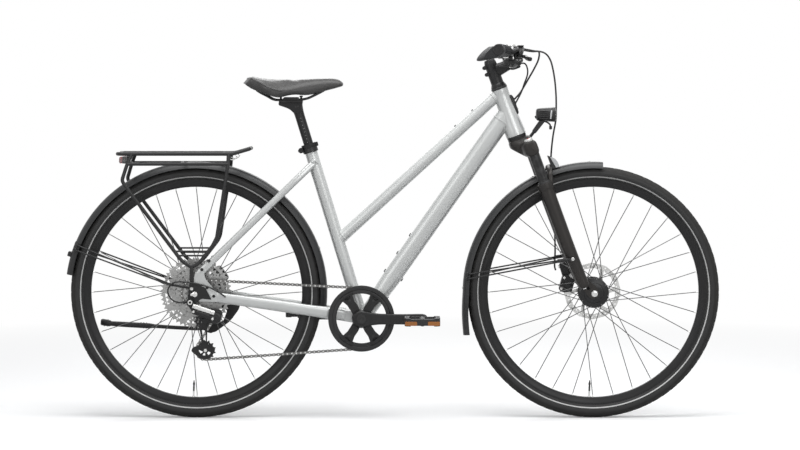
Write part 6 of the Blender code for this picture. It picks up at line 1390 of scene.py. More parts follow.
def makeCrankset():
    boss = [(37.5, 16.5), (42, 16.5), (44, 18.5), (64, 20), (72, 20)]
    right = [turned(bottomBracket, -across, boss, 40), turned(bottomBracket, across,
        [(-72.5, 12), (73.5, 12)], 32, finish=1), spiderShape(), crankArmShape()]
    # the arm's foot covers the four roots, and a cap closes the spindle
    right.append(turned(bottomBracket, -across, [(56, 27), (62, 26.5), (70, 22.5), (73, 20.5)], 40))
    right.append(turned(bottomBracket, -across, [(75.5, 13), (77, 13), (77.4, 12.4), (77.4, 6), (76.8, 5.4)],
        32, finish=2))
    pin = [(74.5, 6), (76, 4.5), (143.5, 4.5)]
    cap = [(87, 8.5), (88.6, 8.5), (89, 8), (91.2, 7.6)]
    eye = bottomBracket + forward * crankSet["length"]
    right.append(turned(eye, -across, pin, 24, finish=1))
    right.append(turned(eye, -across, cap, 6, finish=1))
    makePiece("rightCrank", right, "crankset", [blackAnodised, brightSteel, blackPlastic],
        ["right_crank"], bevel=0.6, smooth=32)
    left = [turned(bottomBracket, across, boss, 40), halfTurn(crankArmShape()), turned(bottomBracket, across,
        [(75.5, 12), (77, 12), (77.4, 11), (77.4, 5), (76.8, 4.6)], 32, finish=2), halfTurn(turned(eye,
        -across, pin, 24, finish=1)), halfTurn(turned(eye, -across, cap, 6, finish=1))]
    for x in (-34, -24):
        spot = bottomBracket + forward * x + across * 70 + up * 13
        left.append(turned(spot, up, [(0, 3), (4, 3), (4.4, 2.6)], 16, finish=1))
    makePiece("leftCrank", left, "crankset", [blackAnodised, brightSteel, blackPlastic],
        ["left_crank"], bevel=0.6, smooth=32)
    half = 1
    ring = [flatPlate(toothedOutline(driveSet["ringTeeth"]), -chainLine - half, -chainLine + half,
        [circle((0, 0), 70, 60)], start=bottomBracket, finish=1)]
    tabs = []
    for i in range(4):
        out = outAt(crankSet["armAngles"][i])
        side = out.cross(across)
        tabs.append(flatPlate([(54, -10), (74, -16), (74, 16), (54, 10)], -chainLine - half,
            -chainLine + half, [circle((60, 0), 3.6, 16)], start=bottomBracket, axes=(out, across, side),
            finish=1))
        spot = bottomBracket + out * 60
        ring.append(turned(spot, across, [(-61.2, 3), (-60.8, 4), (-47, 4), (-45.5, 5), (-44.8, 5)], 20))
    guard = turned(bottomBracket, across, [(-55.2, 70), (-56.6, 70.6), (-57.2, 71.6), (-57.2, 78.6),
        (-56.6, 80), (-57.2, 81.2), (-58, 82), (-58.2, 83.2), (-58.2, 91.2), (-57.8, 92.4), (-56.8, 93),
        (-55.4, 93), (-54.5, 92.2), (-54.5, 71.6), (-54.8, 70.4)], 112, closed=True)
    makePiece("chainringAndGuard", [*ring, *tabs, guard], "crankset", [blackPlastic,
        blackAnodised, brightSteel], ["chainring"], smooth=28)


pedalSet = {"inside": 91.5, "width": 94, "studs": 5, "studGap": 14.5, "ribs": (34, 58)}


def pedalShapes(centre, outward):
    # a platform with a barrel, two side bars with lobes, ribs, and amber reflectors
    shapes = []
    add = shapes.append
    start = centre + outward * pedalSet["inside"]
    axes = (forward, up, outward)
    width = pedalSet["width"]
    for side in (-1, 1):
        bar = [(side * 30, 6, 10), (side * 49, 10, 10), (side * 49, width - 6, 12), (side * 30, width, 10),
            (side * 34, width - 14, 4), (side * 38, 50, 10), (side * 34, 14, 4)]
        add(flatPlate(rounded(bar if side > 0 else bar[::-1], 5), -10.5, 11.5, start=start, axes=axes))
        for k in range(pedalSet["studs"]):
            spot = start + forward * (side * 43) + outward * (18 + pedalSet["studGap"] * k)
            add(turned(spot, up, [(11.2, 2.2), (12, 1.4)], 10))
            add(turned(spot, -up, [(10.2, 2.2), (11.6, 1.4)], 10))
    for low, high in ((1.5, 12.5), (width - 13.5, width - 1.5)):
        end = [(-40, low, 4), (40, low, 4), (40, high, 4), (-40, high, 4)]
        add(flatPlate(rounded(end, 4), -8.5, 9, start=start, axes=axes))
    barrel = [(1, 9), (3, 10.2), (12, 10.8), (30, 8.8), (62, 8.8), (80, 10.8), (90.5, 10.4), (92, 9),
        (92.8, 6)]
    add(turned(start, outward, barrel, 32))
    for low in pedalSet["ribs"]:
        rib = [(-40, low), (40, low), (40, low + 3.2), (-40, low + 3.2)]
        add(flatPlate(rib, -6, 7, start=start, axes=axes))
    for side in (-1, 1):
        lens = rounded([(side * 15, -8.5, 3), (side * 48, -8.5, 3), (side * 48, 3, 3),
            (side * 15, 3, 3)][::side], 4)
        add(flatPlate(lens, width - 4.5, width + 0.3, start=start, axes=(forward, outward, up), finish=1))
        front = roundBox(20, -7, 74, 5, 3, 4)
        place = sorted((side * 47.5, side * 49.2))
        add(flatPlate(front, place[0], place[1], start=start, axes=(outward, forward, up), finish=1))
    return shapes


def makePedals():
    eye = forward * crankSet["length"]
    makePiece("rightPedal", pedalShapes(bottomBracket + eye, -across), "right_pedal",
        [blackPlastic, amberLens], ["pedal_right"], bevel=0.7, smooth=32)
    makePiece("leftPedal", pedalShapes(bottomBracket - eye, across), "left_pedal",
        [blackPlastic, amberLens], ["pedal_left"], bevel=0.7, smooth=32)


def cagePlateOutline():
    top = driveSet["guide"]
    foot = driveSet["tension"]
    plate = [(top, -11, 9, 8), (top, 11, 10, 8), (top, 12, -18, 10), (foot, 4, 19, 8), (foot, 29, 4, 7),
        (foot, 15, -24, 12), (foot, -12, -26, 12), (foot, -40, -2, 4), (foot, -36, 8, 4), (foot, -8, 16, 8),
        (top, -10, -20, 8)]
    crescent = [(foot, -21, 2, 3), (foot, -11, -15, 6), (foot, 9, -15, 6), (foot, 19, 1, 3),
        (foot, 10, -2, 3), (foot, 0, -8, 4), (foot, -10, -2, 3)]
    slot = [(top, -4.5, -18, 2), (top, 6.5, -18, 2), (foot, 1, 26, 2), (foot, -5, 24, 2)]
    outline, *holes = [[(base[0] + u, base[1] + v, size) for base, u, v, size in corners]
        for corners in (plate, crescent, slot)]
    return rounded(outline, 5), [rounded(hole, 4) for hole in holes]


def makeDerailleur():
    inner = -chainLine + 3.45
    outer = -chainLine - 3.45
    outline, holes = cagePlateOutline()
    cage = [flatPlate(outline, outer - 2, outer - 0.2, holes, start=rearAxle), flatPlate(outline, inner + 0.2,
        inner + 2, holes, start=rearAxle)]
    for spot in (driveSet["guide"], driveSet["tension"]):
        centre = beside(rearAxle, spot)
        cage.append(turned(centre, across, [(outer - 2.1, 2.5), (inner + 2.1, 2.5)], 16, finish=1))
        cage.append(turned(centre, across, [(outer - 3.4, 3), (outer - 3.2, 4.4), (outer - 1.8, 4.6)], 20,
            finish=1))
    cage.append(turned(atRear(6, -150), across, [(outer - 1, 2.2), (inner + 1, 2.2)], 16, finish=1))
    makePiece("derailleurCage", cage, "frame", [blackAnodised, brightSteel],
        ["derailleur_cage"], bevel=0.3, smooth=30)
    for name, (x, z, teeth), body, spokes in (("guidePulley", driveSet["guide"], "guide_pulley", 5),
            ("tensionPulley", driveSet["tension"], "tension_pulley", 6)):
        centre = atRear(x, z, -chainLine)
        radius = pitchRadius(teeth)
        windows = [circle((0, 0), 3.1, 20)]
        for k in range(spokes):
            start = 360 / spokes * k
            windows.append(ringWindow(8.5, radius - 6.5, start, start + 360 / spokes * 0.6, steps=4))
        wheel = flatPlate(toothedOutline(teeth, 3), -1.1, 1.1, windows, start=centre)
        hub = turned(centre, across, [(-3.1, 3.1), (-3.1, 6), (-1.2, 7.8), (1.2, 7.8), (3.1, 6), (3.1, 3.1)],
            28, closed=True)
        makePiece(name, [wheel, hub], body, [blackPlastic], [body], smooth=28)

    # body: hanger plate and bolt, upper knuckle, the two links, the lower knuckle and its cable housing
    outside = -75.3
    hanger = rounded([(-17.5, 21.5, 4), (0, 32.5, 4), (30, 18, 6), (46.8, -15, 4), (18, -12, 6), (-3, -33, 4),
        (-20, -26, 5)], 4)
    shapes = [flatPlate(hanger, outside - 3.5, outside, start=rearAxle)]
    add = shapes.append
    bolt = atRear(-12.3, -22, outside)
    add(turned(bolt, -across, [(0, 10.8), (12, 10.8), (13.5, 9.8), (14, 7)], 36))
    add(turned(bolt, -across, [(13, 6.6), (15, 6.6), (15.5, 5.8), (15.5, 3.4), (14, 3)], 28, finish=1))
    hangerBolt = atRear(-8, -1, outside)
    add(turned(hangerBolt, -across, [(2, 4.2), (5.2, 4.2), (5.8, 3.4)], 24, finish=1))
    arm = link((-12.3, -22), 9.2, (0, -43), 8.8)
    add(flatPlate(arm, outside - 10.5, outside - 2, start=rearAxle))
    for lift, out, finish in ((8.5, -3, 2), (-7.5, -4, 0)):
        run = [atRear(-5, -40 + lift, outside - 6.5 + out), atRear(18, -48 + lift, outside - 6.2 + out),
            atRear(38, -55 + lift, outside - 3 + out), atRear(54, -61 + lift, outside + out)]
        add(sweptAlong(run, [oval(8, 12.5, 28, 3.4)] * 4, across, finish=finish))
    for x, z in ((-2, -33), (-3, -48), (48, -50), (50, -68)):
        spot = atRear(x, z, outside)
        add(turned(spot, -across, [(3, 3.6), (14, 3.6), (14.6, 3)], 20, finish=1))
    face = -53.5
    lower = atRear(58.4, -66.4, face)
    add(turned(lower, -across, [(0, 15), (2, 16.2), (20, 16.2), (24, 15), (26.2, 12), (26.6, 8)], 44))
    add(turned(lower, -across, [(26.2, 7), (27.2, 6.6), (27.2, 3.6), (26.4, 3.4)], 28, finish=3))
    housing = rounded([(42, -42, 6), (72, -44, 8), (78, -56, 6), (69, -64, 4), (64, -85, 8), (44, -82, 8)], 5)
    add(flatPlate(housing, face - 19, face - 1, start=rearAxle, finish=3))
    ledge = link((58.4, -66.4), 12, (25, -78), 8)
    add(flatPlate(ledge, face - 5, face - 0.4, start=rearAxle))
    for x in (10, 16.5):
        spot = atRear(x, -36, outside - 8)
        add(turned(spot, (up - forward * 0.3).normalized(), [(0, 1.6), (6, 1.6), (6.2, 2.4), (8, 2.4)], 14,
            finish=1))
    barrel = atRear(-22.8, -22, outside - 8.5)
    add(turned(barrel, -forward, [(-4, 3.6), (3, 3.6), (4, 4.4), (8, 4.4), (9, 3.4)], 18))
    makePiece("derailleurBody", shapes, "frame", [blackAnodised, brightSteel, silverAlloy,
        blackPlastic], ["derailleur_body"], bevel=0.6, smooth=32)


makeCassette()
makeChain()
makeCrankset()
makePedals()
makeDerailleur()

cups = [turned(bottomBracket, across * sign, [(33, 20), (34.3, 20.5), (36.6, 20.5), (37.2, 19.8),
    (37.3, 12.8), (33, 12.8)], 44, closed=True) for sign in (-1, 1)]
for sign in (-1, 1):
    for k in range(16):
        spot = bottomBracket + outAt(22.5 * k) * 19.8
        cups.append(turned(spot, across * sign, [(34.6, 1.4), (36.8, 1.4)], 8))
makePiece("bearingCups", cups, "frame", [blackAnodised], ["bottom_bracket"], smooth=32)
print("drive ready")


# Fork, headlight and front mudguard

forkSet = {"legY": 65, "legAhead": 26.5, "rake": 53.7, "axleDrop": 488.8}


def smoothStations(stations, steps=5):
    return [tuple(row) for row in smoothRun([Vector(station) for station in stations], steps)]


def makeCrown():
    half = ((-86.8, 29, -46, 12, 20), (-85.5, 28, -46, 26, 34), (-80, 25.5, -45.5, 37, 41),
        (-66, 22.5, -44.5, 43, 43), (-52, 20.5, -44.5, 45, 42), (-38, 11.5, -33, 56, 34),
        (-20, 5.2, -23, 65, 30))
    stations = smoothStations(half + tuple((-y, *rest) for y, *rest in half[::-1]), 5)
    rings = []
    for y, ahead, height, depth, tall in stations:
        centre = onFork(height, ahead, y)
        rings.append(laid(centre, steerForward, steerUp, oval(depth, tall, 40, 3.4)))
    shapes = [skinOver(rings)]
    add = shapes.append
    add(turned(headBase, steerUp, [(-14, 26.2), (-11.8, 27), (-6.2, 27), (-5.8, 26.4), (-5, 26.4),
        (-4.6, 27.2), (-0.4, 27.2)], 48, finish=1))
    add(turned(headBase, steerUp, [(-20, 14.3), (222, 14.3)], 28, finish=1))
    for y in (-forkSet["legY"], forkSet["legY"]):
        start = onFork(0, forkSet["legAhead"], y)
        add(turned(start, steerUp, [(-262, 15), (-40, 15)], 40, finish=2))
        add(turned(start, steerUp, [(-31.5, 14.8), (-29.2, 14), (-28.8, 12), (-28.8, 7), (-29.6, 6.4)], 32,
            finish=1))
        # a raised rib down the outside of each shoulder
        side = copysign(1, y)
        rib = [onFork(-60, 29, y + side * 19.5), onFork(-47, 29, y + side * 20.8),
            onFork(-35, 27, y + side * 17)]
        add(rod(smoothRun(rib, 4), 2.2, 12))
    makePiece("forkCrown", shapes, "steering", [charcoalPaint, blackAnodised, blackAnodised],
        ["fork_crown"], smooth=38)
    start = onFork(-28.6, 25.5, -65)
    knob = [turned(start, steerUp, [(0, 10.6), (0.6, 11.6), (4, 11.8), (4.8, 11.2), (5.6, 11.2), (6.2, 11.8),
        (10.6, 11.6), (11.6, 10.6), (12, 9)], 44)]
    for k in range(20):
        turn = 2 * pi * k / 20
        spot = start + (steerForward * cos(turn) + across * sin(turn)) * 11.3
        knob.append(turned(spot, steerUp, [(6.4, 0.9), (10.2, 0.9)], 8))
    lever = flatPlate(rounded([(-4, -10.5, 3), (4, -10.5, 3), (3, 10.5, 3), (-3, 10.5, 3)], 4), 10.4, 13.2,
        start=start, axes=(steerForward, steerUp, across), finish=1)
    makePiece("lockoutKnob", [*knob, lever], "lockout", [silverAlloy, redLens],
        ["lockout_knob"], bevel=0.3, smooth=36)


def makeLowers():
    legs = []
    stations = smoothStations(((149.4, 26.5, 19.6), (150, 26.5, 21.2), (152, 26.5, 21.8), (162, 26.5, 21.8),
        (165, 26.5, 21.4), (170, 26.5, 20.1), (176, 26.5, 19.8), (250, 26.8, 19.5), (330, 27.5, 19),
        (385, 29.4, 17.8), (430, 31.5, 16.5), (450, 33, 16.1), (458, 33.8, 15), (462.6, 34.4, 11.5),
        (463.2, 34.5, 9)), 4)
    rings = []
    for drop, ahead, radius in stations:
        centre = onFork(-drop, ahead, forkSet["legY"])
        rings.append(laid(centre, steerForward, across, oval(2 * radius, 2 * radius, 40)))
    legs.append(skinOver(rings))
    # the wiper seal on top of the leg
    top = onFork(0, forkSet["legAhead"], forkSet["legY"])
    legs.append(turned(top, steerUp, [(-150, 19), (-147.2, 18.8), (-146.2, 17.8), (-144, 17.2),
        (-143.2, 15.8)], 40, finish=1))
    end = [(20.5, -425, 4), (24.5, -461, 12), (40, -501, 10), (64, -502, 10), (68, -479, 10), (45, -435, 14),
        (42.5, -421, 4)]
    hole = circle((forkSet["rake"], -forkSet["axleDrop"]), 6.8, 24)
    window = rounded([(31.8, -460, 3), (38.5, -453, 3), (48, -471, 3), (40, -474, 3)], 4)
    legs.append(flatPlate(rounded(end, 6), 50.3, 58.3, [hole, window], start=headBase, axes=forkAxes))
    stay = onFork(-374, 28.5, forkSet["legY"])
    legs.append(turned(stay, across, [(10, 7.2), (17.8, 6.2), (19.4, 6)], 28))
    legs.append(turned(onFork(-458, 33.8, forkSet["legY"]), -steerUp, [(2, 6.2), (7.2, 6), (8, 5.2)], 6,
        finish=2))
    shapes = legs + [mirrored(shape) for shape in legs]
    points = []
    sections = []
    for i in range(41):
        turn = pi * i / 40
        rise = sin(turn) ** 0.55 if 0 < i < 40 else 0
        points.append(onFork(-158 + 46 * rise, 26.5 + 29 * (0.55 + 0.45 * rise), forkSet["legY"] * cos(turn)))
        sections.append(oval(14, 10 + 6 * (1 - rise), 28, 3))
    shapes.append(sweptAlong(points, sections, steerForward))
    shapes.append(flatPlate(rounded([(9.5, -443, 3), (9.5, -387, 3), (26.5, -387, 3), (26.5, -443, 3)], 4),
        52.5, 63, start=headBase, axes=forkAxes))
    makePiece("forkLowers", shapes, "fork_lowers", [charcoalPaint, blackPlastic, brightSteel],
        ["fork_lowers"], bevel=0.5, smooth=40)


def makeFrontCaliper():
    spot = onFork(-445, -8) - frontAxle
    shapes = caliperBody(frontAxle, atan2(spot.z, spot.x) * 180 / pi, 37)
    axes = forkAxes
    foot = rounded([(-12, -445, 4), (9, -445, 2), (9, -385, 2), (-9, -385, 6)], 5)
    shapes.append(flatPlate(foot, 44.5, 61.5, start=headBase, axes=axes))
    for height in (-437, -393):
        bolt = onFork(height, -9, 54)
        shapes.append(turned(bolt, -steerForward, [(-4, 4.8), (3, 4.8), (3.6, 4), (3.6, 2.2), (2, 2)], 24,
            finish=1))
    makePiece("frontCaliper", shapes, "fork_lowers", [blackAnodised, brightSteel, silverAlloy],
        ["front_caliper"], bevel=0.6, smooth=32)


def makeFrontGuard():
    spots = [roundWheel(frontAxle, guardSet["radius"], 86 + 94 * i / 60) for i in range(61)]
    last = spots[-1]
    tail = [last - up * (121 * i / 16) + forward * (2 * i / 16 - 3 * sin(pi * i / 16)) for i in range(1, 17)]
    shapes = [guardBand((spots + tail)[::-1])]
    add = shapes.append
    eye = onFork(-374, 28.5, 87.3)
    for sign in (-1, 1):
        place = Vector((eye.x, sign * eye.y, eye.z))
        for degrees, lift in ((171.5, 0), (173.7, -4)):
            start = roundWheel(frontAxle, guardSet["radius"] - 9, degrees, sign * 20.5)
            add(stayRun([start, start + across * (sign * 10) + forward * 4,
                place - forward * 40 - up * (5 - lift) - across * (sign * 8),
                place - forward * 11 - up * (1 - lift), place + up * lift * 0.4]))
            clip = roundWheel(frontAxle, guardSet["radius"] - 8.5, degrees, sign * 26.2)
            add(turned(clip, across * sign, [(-3, 4.2), (1.6, 4.2), (2.4, 3.4)], 20, finish=1))
        shapes += eyeAt(place, 84.8, 87.6, sign)
        sleeve = [place - forward * 42 - up * 5.5 - across * (sign * 8), place - forward * 11 - up * 1.5]
        add(rod(sleeve, 4.6, 20, finish=1))
    axes = forkAxes
    face = 62.8
    rise = guardSet["radius"] - forkSet["axleDrop"]
    holder = rounded([(face, rise - 1.5, 2), (face + 15, rise - 2.5, 2), (face + 8, rise + 32, 4),
        (face, rise + 38.5, 2)], 4)
    add(flatPlate(holder, -18.5, 18.5, start=headBase, axes=axes, finish=3))
    lens = rounded([(face + 11, rise - 1, 2), (face + 21.5, rise - 2, 2), (face + 20.5, rise + 16, 8),
        (face + 12, rise + 30, 8), (face + 5, rise + 33, 2)], 5)
    add(flatPlate(lens, -19.8, 19.8, start=headBase, axes=axes, finish=4))
    for degrees in (92, 118, 178):
        spot = roundWheel(frontAxle, guardSet["radius"], degrees)
        out = (spot - frontAxle).normalized()
        add(turned(spot, out, [(-4, 4), (1, 4), (1.8, 3), (2, 1.2)], 18, finish=2))
    makePiece("frontGuard", shapes, "fork_lowers", [guardPlastic, rackPaint, brightSteel,
        blackPlastic, whiteLens], ["front_mudguard"], smooth=38)


headlightSet = {"pivot": (-6.1, 51.8), "middle": (27.1, 98), "ribs": 5, "ribGap": 5.2}


def makeHeadlight():
    spot = onFork(*headlightSet["pivot"])
    start = onFork(-22, 26)
    arm = sweptAlong([start, start.lerp(spot, 0.6), spot], [oval(16, 9, 28, 3)] * 3, across)
    eye = turned(spot, across, [(-8, 4.8), (-7.6, 5.5), (7.6, 5.5), (8, 4.8)], 30)
    pin = turned(spot, across, [(-14, 1.8), (-13.6, 2.2), (13.6, 2.2), (14, 1.8)], 18)
    makePiece("headlightBracket", [arm, eye, pin], "steering", [blackAnodised],
        ["headlight_bracket"], bevel=0.4, smooth=36)
    middle = onFork(*headlightSet["middle"])
    rings = []
    for x, wide, tall in smoothStations(((-27.6, 26, 16), (-27, 36, 24), (-24.5, 46, 32.5), (-18, 50, 35.5),
            (0, 54, 38), (18, 58.5, 40.2), (23.6, 60, 41), (26.2, 59, 40)), 4):
        centre = middle + forward * x
        rings.append(laid(centre, across, up, oval(wide, tall, 56, 2.8)))
    shapes = [skinOver(rings)]
    add = shapes.append
    for k in range(headlightSet["ribs"]):
        lift = -11 + headlightSet["ribGap"] * k
        for sign in (-1, 1):
            rib = [middle + forward * x + up * lift + across * (sign * y) for x, y in ((-20, 25.2),
                (-8, 26.6), (6, 28.1))]
            add(rod(rib, [0.8, 1.6, 0.8], 10, finish=3))
    front = middle + forward * 26.2
    lensRings = []
    for x, share in ((-1, 1), (0.6, 0.985), (1.8, 0.9), (2.4, 0.7), (2.6, 0.35)):
        lensRings.append([front + forward * x + across * u * share + up * v * share for u,
            v in oval(54.5, 35.5, 48, 2.8)])
    add(inFinish(skinOver(lensRings), 2))
    for sign in (-1, 1):
        window = [middle + forward * x + across * (sign * y) + up * z for x, y, z in ((11.8, 27.2, -12),
            (12.8, 28, -4), (14, 28.4, 5), (14.8, 27.8, 12))]
        add(rod(window, [1.8, 2.6, 2.6, 1.8], 14, finish=1))
        low, high = sorted((sign * 8.5, sign * 12))
        outline = link((spot.x, spot.z), 5.8, (middle.x - 7.5, middle.z - 14), 7, 10)
        add(flatPlate(outline, low, high))
        add(turned(spot, across * sign, [(11.8, 4), (13.8, 4), (14.2, 3.2), (14.2, 1.8), (13, 1.6)], 20))
    stub = middle - forward * 25.5 - up * 6
    add(turned(stub, (-forward - up * 0.5).normalized(), [(0, 4.2), (4.8, 4), (5.4, 3)], 20))
    cable = [middle + forward * x + up * z for x, z in ((-6, -18), (4, -21.5), (12, -27), (13.5, -42))]
    add(rod(bentRun(cable, 6, 4), 2.4, 14))
    add(rod([cable[-1] + up * 10, cable[-1] + up * 1], 4.2, 18))
    makePiece("headlight", shapes, "headlight", [blackPlastic, whiteLens, clearLens,
        rackPaint], ["headlight"], bevel=0.3, smooth=38)


makeCrown()
makeLowers()
makeFrontCaliper()
makeFrontGuard()
makeHeadlight()
print("fork ready")


# Stem, handlebar and what is clamped on it

barSet = {"brakeAt": 158, "shifterAt": 128, "bellAt": 84, "radius": 11.1, "gripLength": 130,
    "gripRadius": 15.8}
barCentre = onFork(196.6, 59.1)


def barSpots():
    places = ((0, 0, 0), (0, 34, 0), (-6, 66, 11), (-15, 110, 24), (-20.5, 150, 28.5), (-26, 190, 30),
        (-49.4, 310, 32.5))
    return [barCentre + Vector(place) for place in places]


def barSpot(y):
    spots = barSpots()
    for inner, outer in zip(spots, spots[1:]):
        if inner.y <= y <= outer.y:
            return inner.lerp(outer, (y - inner.y) / (outer.y - inner.y))
    return spots[-1]


barWay = (barSpots()[-1] - barSpots()[-2]).normalized()


def clampRing(y, inner, outer, width, finish=0):
    way = (barSpot(y + 5) - barSpot(y - 5)).normalized()
    half = width / 2
    return turned(barSpot(y), way, [(-half, inner), (-half, outer - 0.6), (-half + 0.6, outer),
        (half - 0.6, outer), (half, outer - 0.6), (half, inner)], 44, closed=True, finish=finish)


stemSet = {"clampHalf": 22, "lugHeights": (188.5, 208.5), "boltSide": 15.5, "boltLift": 16.5}


def makeStem():
    shapes = [turned(headBase, steerUp, [(138.8, 20), (138.8, 22.6), (139.4, 23), (144.4, 23), (145, 22.6),
        (145.2, 20)], 52, finish=1), turned(headBase, steerUp, [(145.4, 20), (145.6, 22.4), (150, 20.6),
        (155.3, 18.4), (156, 17.8), (210, 17.3), (216, 17), (223, 15.2), (226.2, 13.5), (226.6, 9),
        (225, 8.4)], 52), turned(headBase, steerUp, [(224, 7.8), (227.2, 7.8), (227.6, 7), (227.6, 3.6),
        (225.6, 3.4)], 28, finish=2)]
    add = shapes.append
    half = stemSet["clampHalf"]
    add(turned(barCentre, across, [(-half, 16.1), (-half, 20), (-half + 1, 20.9), (half - 1, 20.9),
        (half, 20), (half, 16.1)], 52, closed=True))
    neck = smoothStations(((190.4, -6, 29, 41), (190.6, 2, 30, 40), (191.6, 16, 30.5, 36.5),
        (192.8, 30, 33, 33), (195, 43, 36.5, 32), (196.6, 51.1, 38, 32)), 4)
    add(sweptAlong([onFork(height, ahead) for height, ahead, wide, tall in neck], [oval(wide, tall, 36, 2.6)
        for height, ahead, wide, tall in neck], across))
    for height in stemSet["lugHeights"]:
        for low, high in ((-11, -1.2), (1.2, 11)):
            lug = link((-20.5, height), 5.4, (-12, height), 6.6)
            add(flatPlate(lug, low, high, start=headBase, axes=forkAxes))
        bolt = onFork(height, -20.5)
        add(turned(bolt, across, [(-13.5, 2.4), (-13.2, 4), (-10.8, 4.2), (10.6, 4.2), (12, 3.6), (12.4, 2)],
            22, finish=2))
    # faceplate with its four bolts
    out = steerForward
    for y in (-stemSet["boltSide"], stemSet["boltSide"]):
        for lift in (-stemSet["boltLift"], stemSet["boltLift"]):
            spot = barCentre + out * 8 + steerUp * lift + across * y
            add(turned(spot, out, [(-6, 4.6), (6.2, 4.6), (6.8, 4)], 20))
            add(turned(spot, out, [(6, 3.4), (8.8, 3.4), (9.2, 2.8), (9.2, 1.6), (8, 1.4)], 20, finish=2))
    makePiece("stem", shapes, "steering", [blackAnodised, guardPlastic, rackPaint], ["stem"],
        bevel=0.5, smooth=36)


def makeBar():
    spots = barSpots()
    radii = (15.9, 15.9, 13.5, 11.1, 11.1, 11.1, 11.1)
    rows = [Vector((*p, r)) for p, r in zip(spots, radii)]
    right = [Vector((p.x, -p.y, p.z, p.w)) for p in rows[:0:-1]]
    fine = smoothRun(right + rows, 6)
    points = [Vector(row[:3]) for row in fine]
    shape = sweptAlong(points, [oval(2 * row[3], 2 * row[3], 32) for row in fine], up)
    makePiece("handlebar", [shape], "steering", [blackAnodised], ["handlebar"], smooth=50)


def gripShapes():
    end = barSpots()[-1] + barWay * 4
    start = end - barWay * barSet["gripLength"]
    back = -forward - up * 0.68
    back = (back - barWay * back.dot(barWay)).normalized()
    rise = back.cross(barWay)
    if rise.z < 0:
        rise = -rise
    rings = []
    stations = smoothStations(((0.004, 0, 0.9), (0.03, 0.5, 1), (0.15, 3, 1), (0.3, 8, 0.99),
        (0.45, 15.5, 0.98), (0.6, 24, 0.98), (0.74, 30.5, 0.99), (0.86, 34, 1), (0.94, 34, 1),
        (0.985, 32.5, 0.97), (1, 30, 0.9)), 4)
    for share, wing, size in stations:
        centre = start.lerp(end, share)
        radius = barSet["gripRadius"] * size
        ring = []
        for i in range(48):
            turn = 2 * pi * i / 48
            ahead = radius * cos(turn)
            high = radius * sin(turn)
            if ahead > 0:
                share2 = cos(turn)
                ahead *= 1 + wing / radius
                high *= 1 - 0.3 * min(1, wing / 30) * share2 ** 2
                high += wing * 0.12 * share2
            ring.append(centre + back * ahead + rise * high)
        rings.append(ring)
    shapes = [skinOver(rings)]
    add = shapes.append
    # inner collar with its bolt, and the disc that closes the end
    add(turned(start, barWay, [(-9.6, 11.3), (-9.6, 15.8), (-8.8, 16.6), (-1.4, 16.6), (-0.6, 15.8),
        (-0.6, 11.3)], 48, closed=True, finish=1))
    bolt = start - barWay * 5 - forward * 1 - up * 16
    add(turned(bolt, forward, [(-7, 3), (6.4, 3), (7, 2.2)], 16, finish=2))
    add(turned(end, barWay, [(-1, 15.2), (1, 15.6), (1.8, 14.8), (2.2, 12), (1.8, 10), (2.4, 6)], 44,
        finish=1))
    # raised bars across the palm rest and rings under the fingers
    for k in range(9):
        share = 0.44 + 0.052 * k
        spot = start.lerp(end, share)
        run = [spot + back * (barSet["gripRadius"] * 0.92 + 2 * step) + rise * 11.6 for step in range(1, 6)]
        run = [point + rise * (1.6 - 1.2 * step) for step, point in enumerate(run)]
        add(rod(run, [0.4, 1.1, 1.2, 1.1, 0.4], 8))
    for k in range(14):
        spot = start.lerp(end, 0.1 + 0.055 * k)
        arc = []
        for step in range(13):
            turn = radians(112 + 136 * step / 12)
            arc.append(spot + back * (barSet["gripRadius"] * cos(turn))
                + rise * (barSet["gripRadius"] * sin(turn)))
        add(rod(arc, [0.3] + [1] * 11 + [0.3], 8))
    return shapes


def leverPivot():
    return barSpot(barSet["brakeAt"]) + forward * 36 - up * 13 + across * 12


def hosePort():
    centre = barSpot(barSet["brakeAt"])
    end = centre + forward * 42 + up * 9.5 - across * 51
    way = Vector((0.56, -0.82, -0.12)).normalized()
    return end + way * 1.2, way


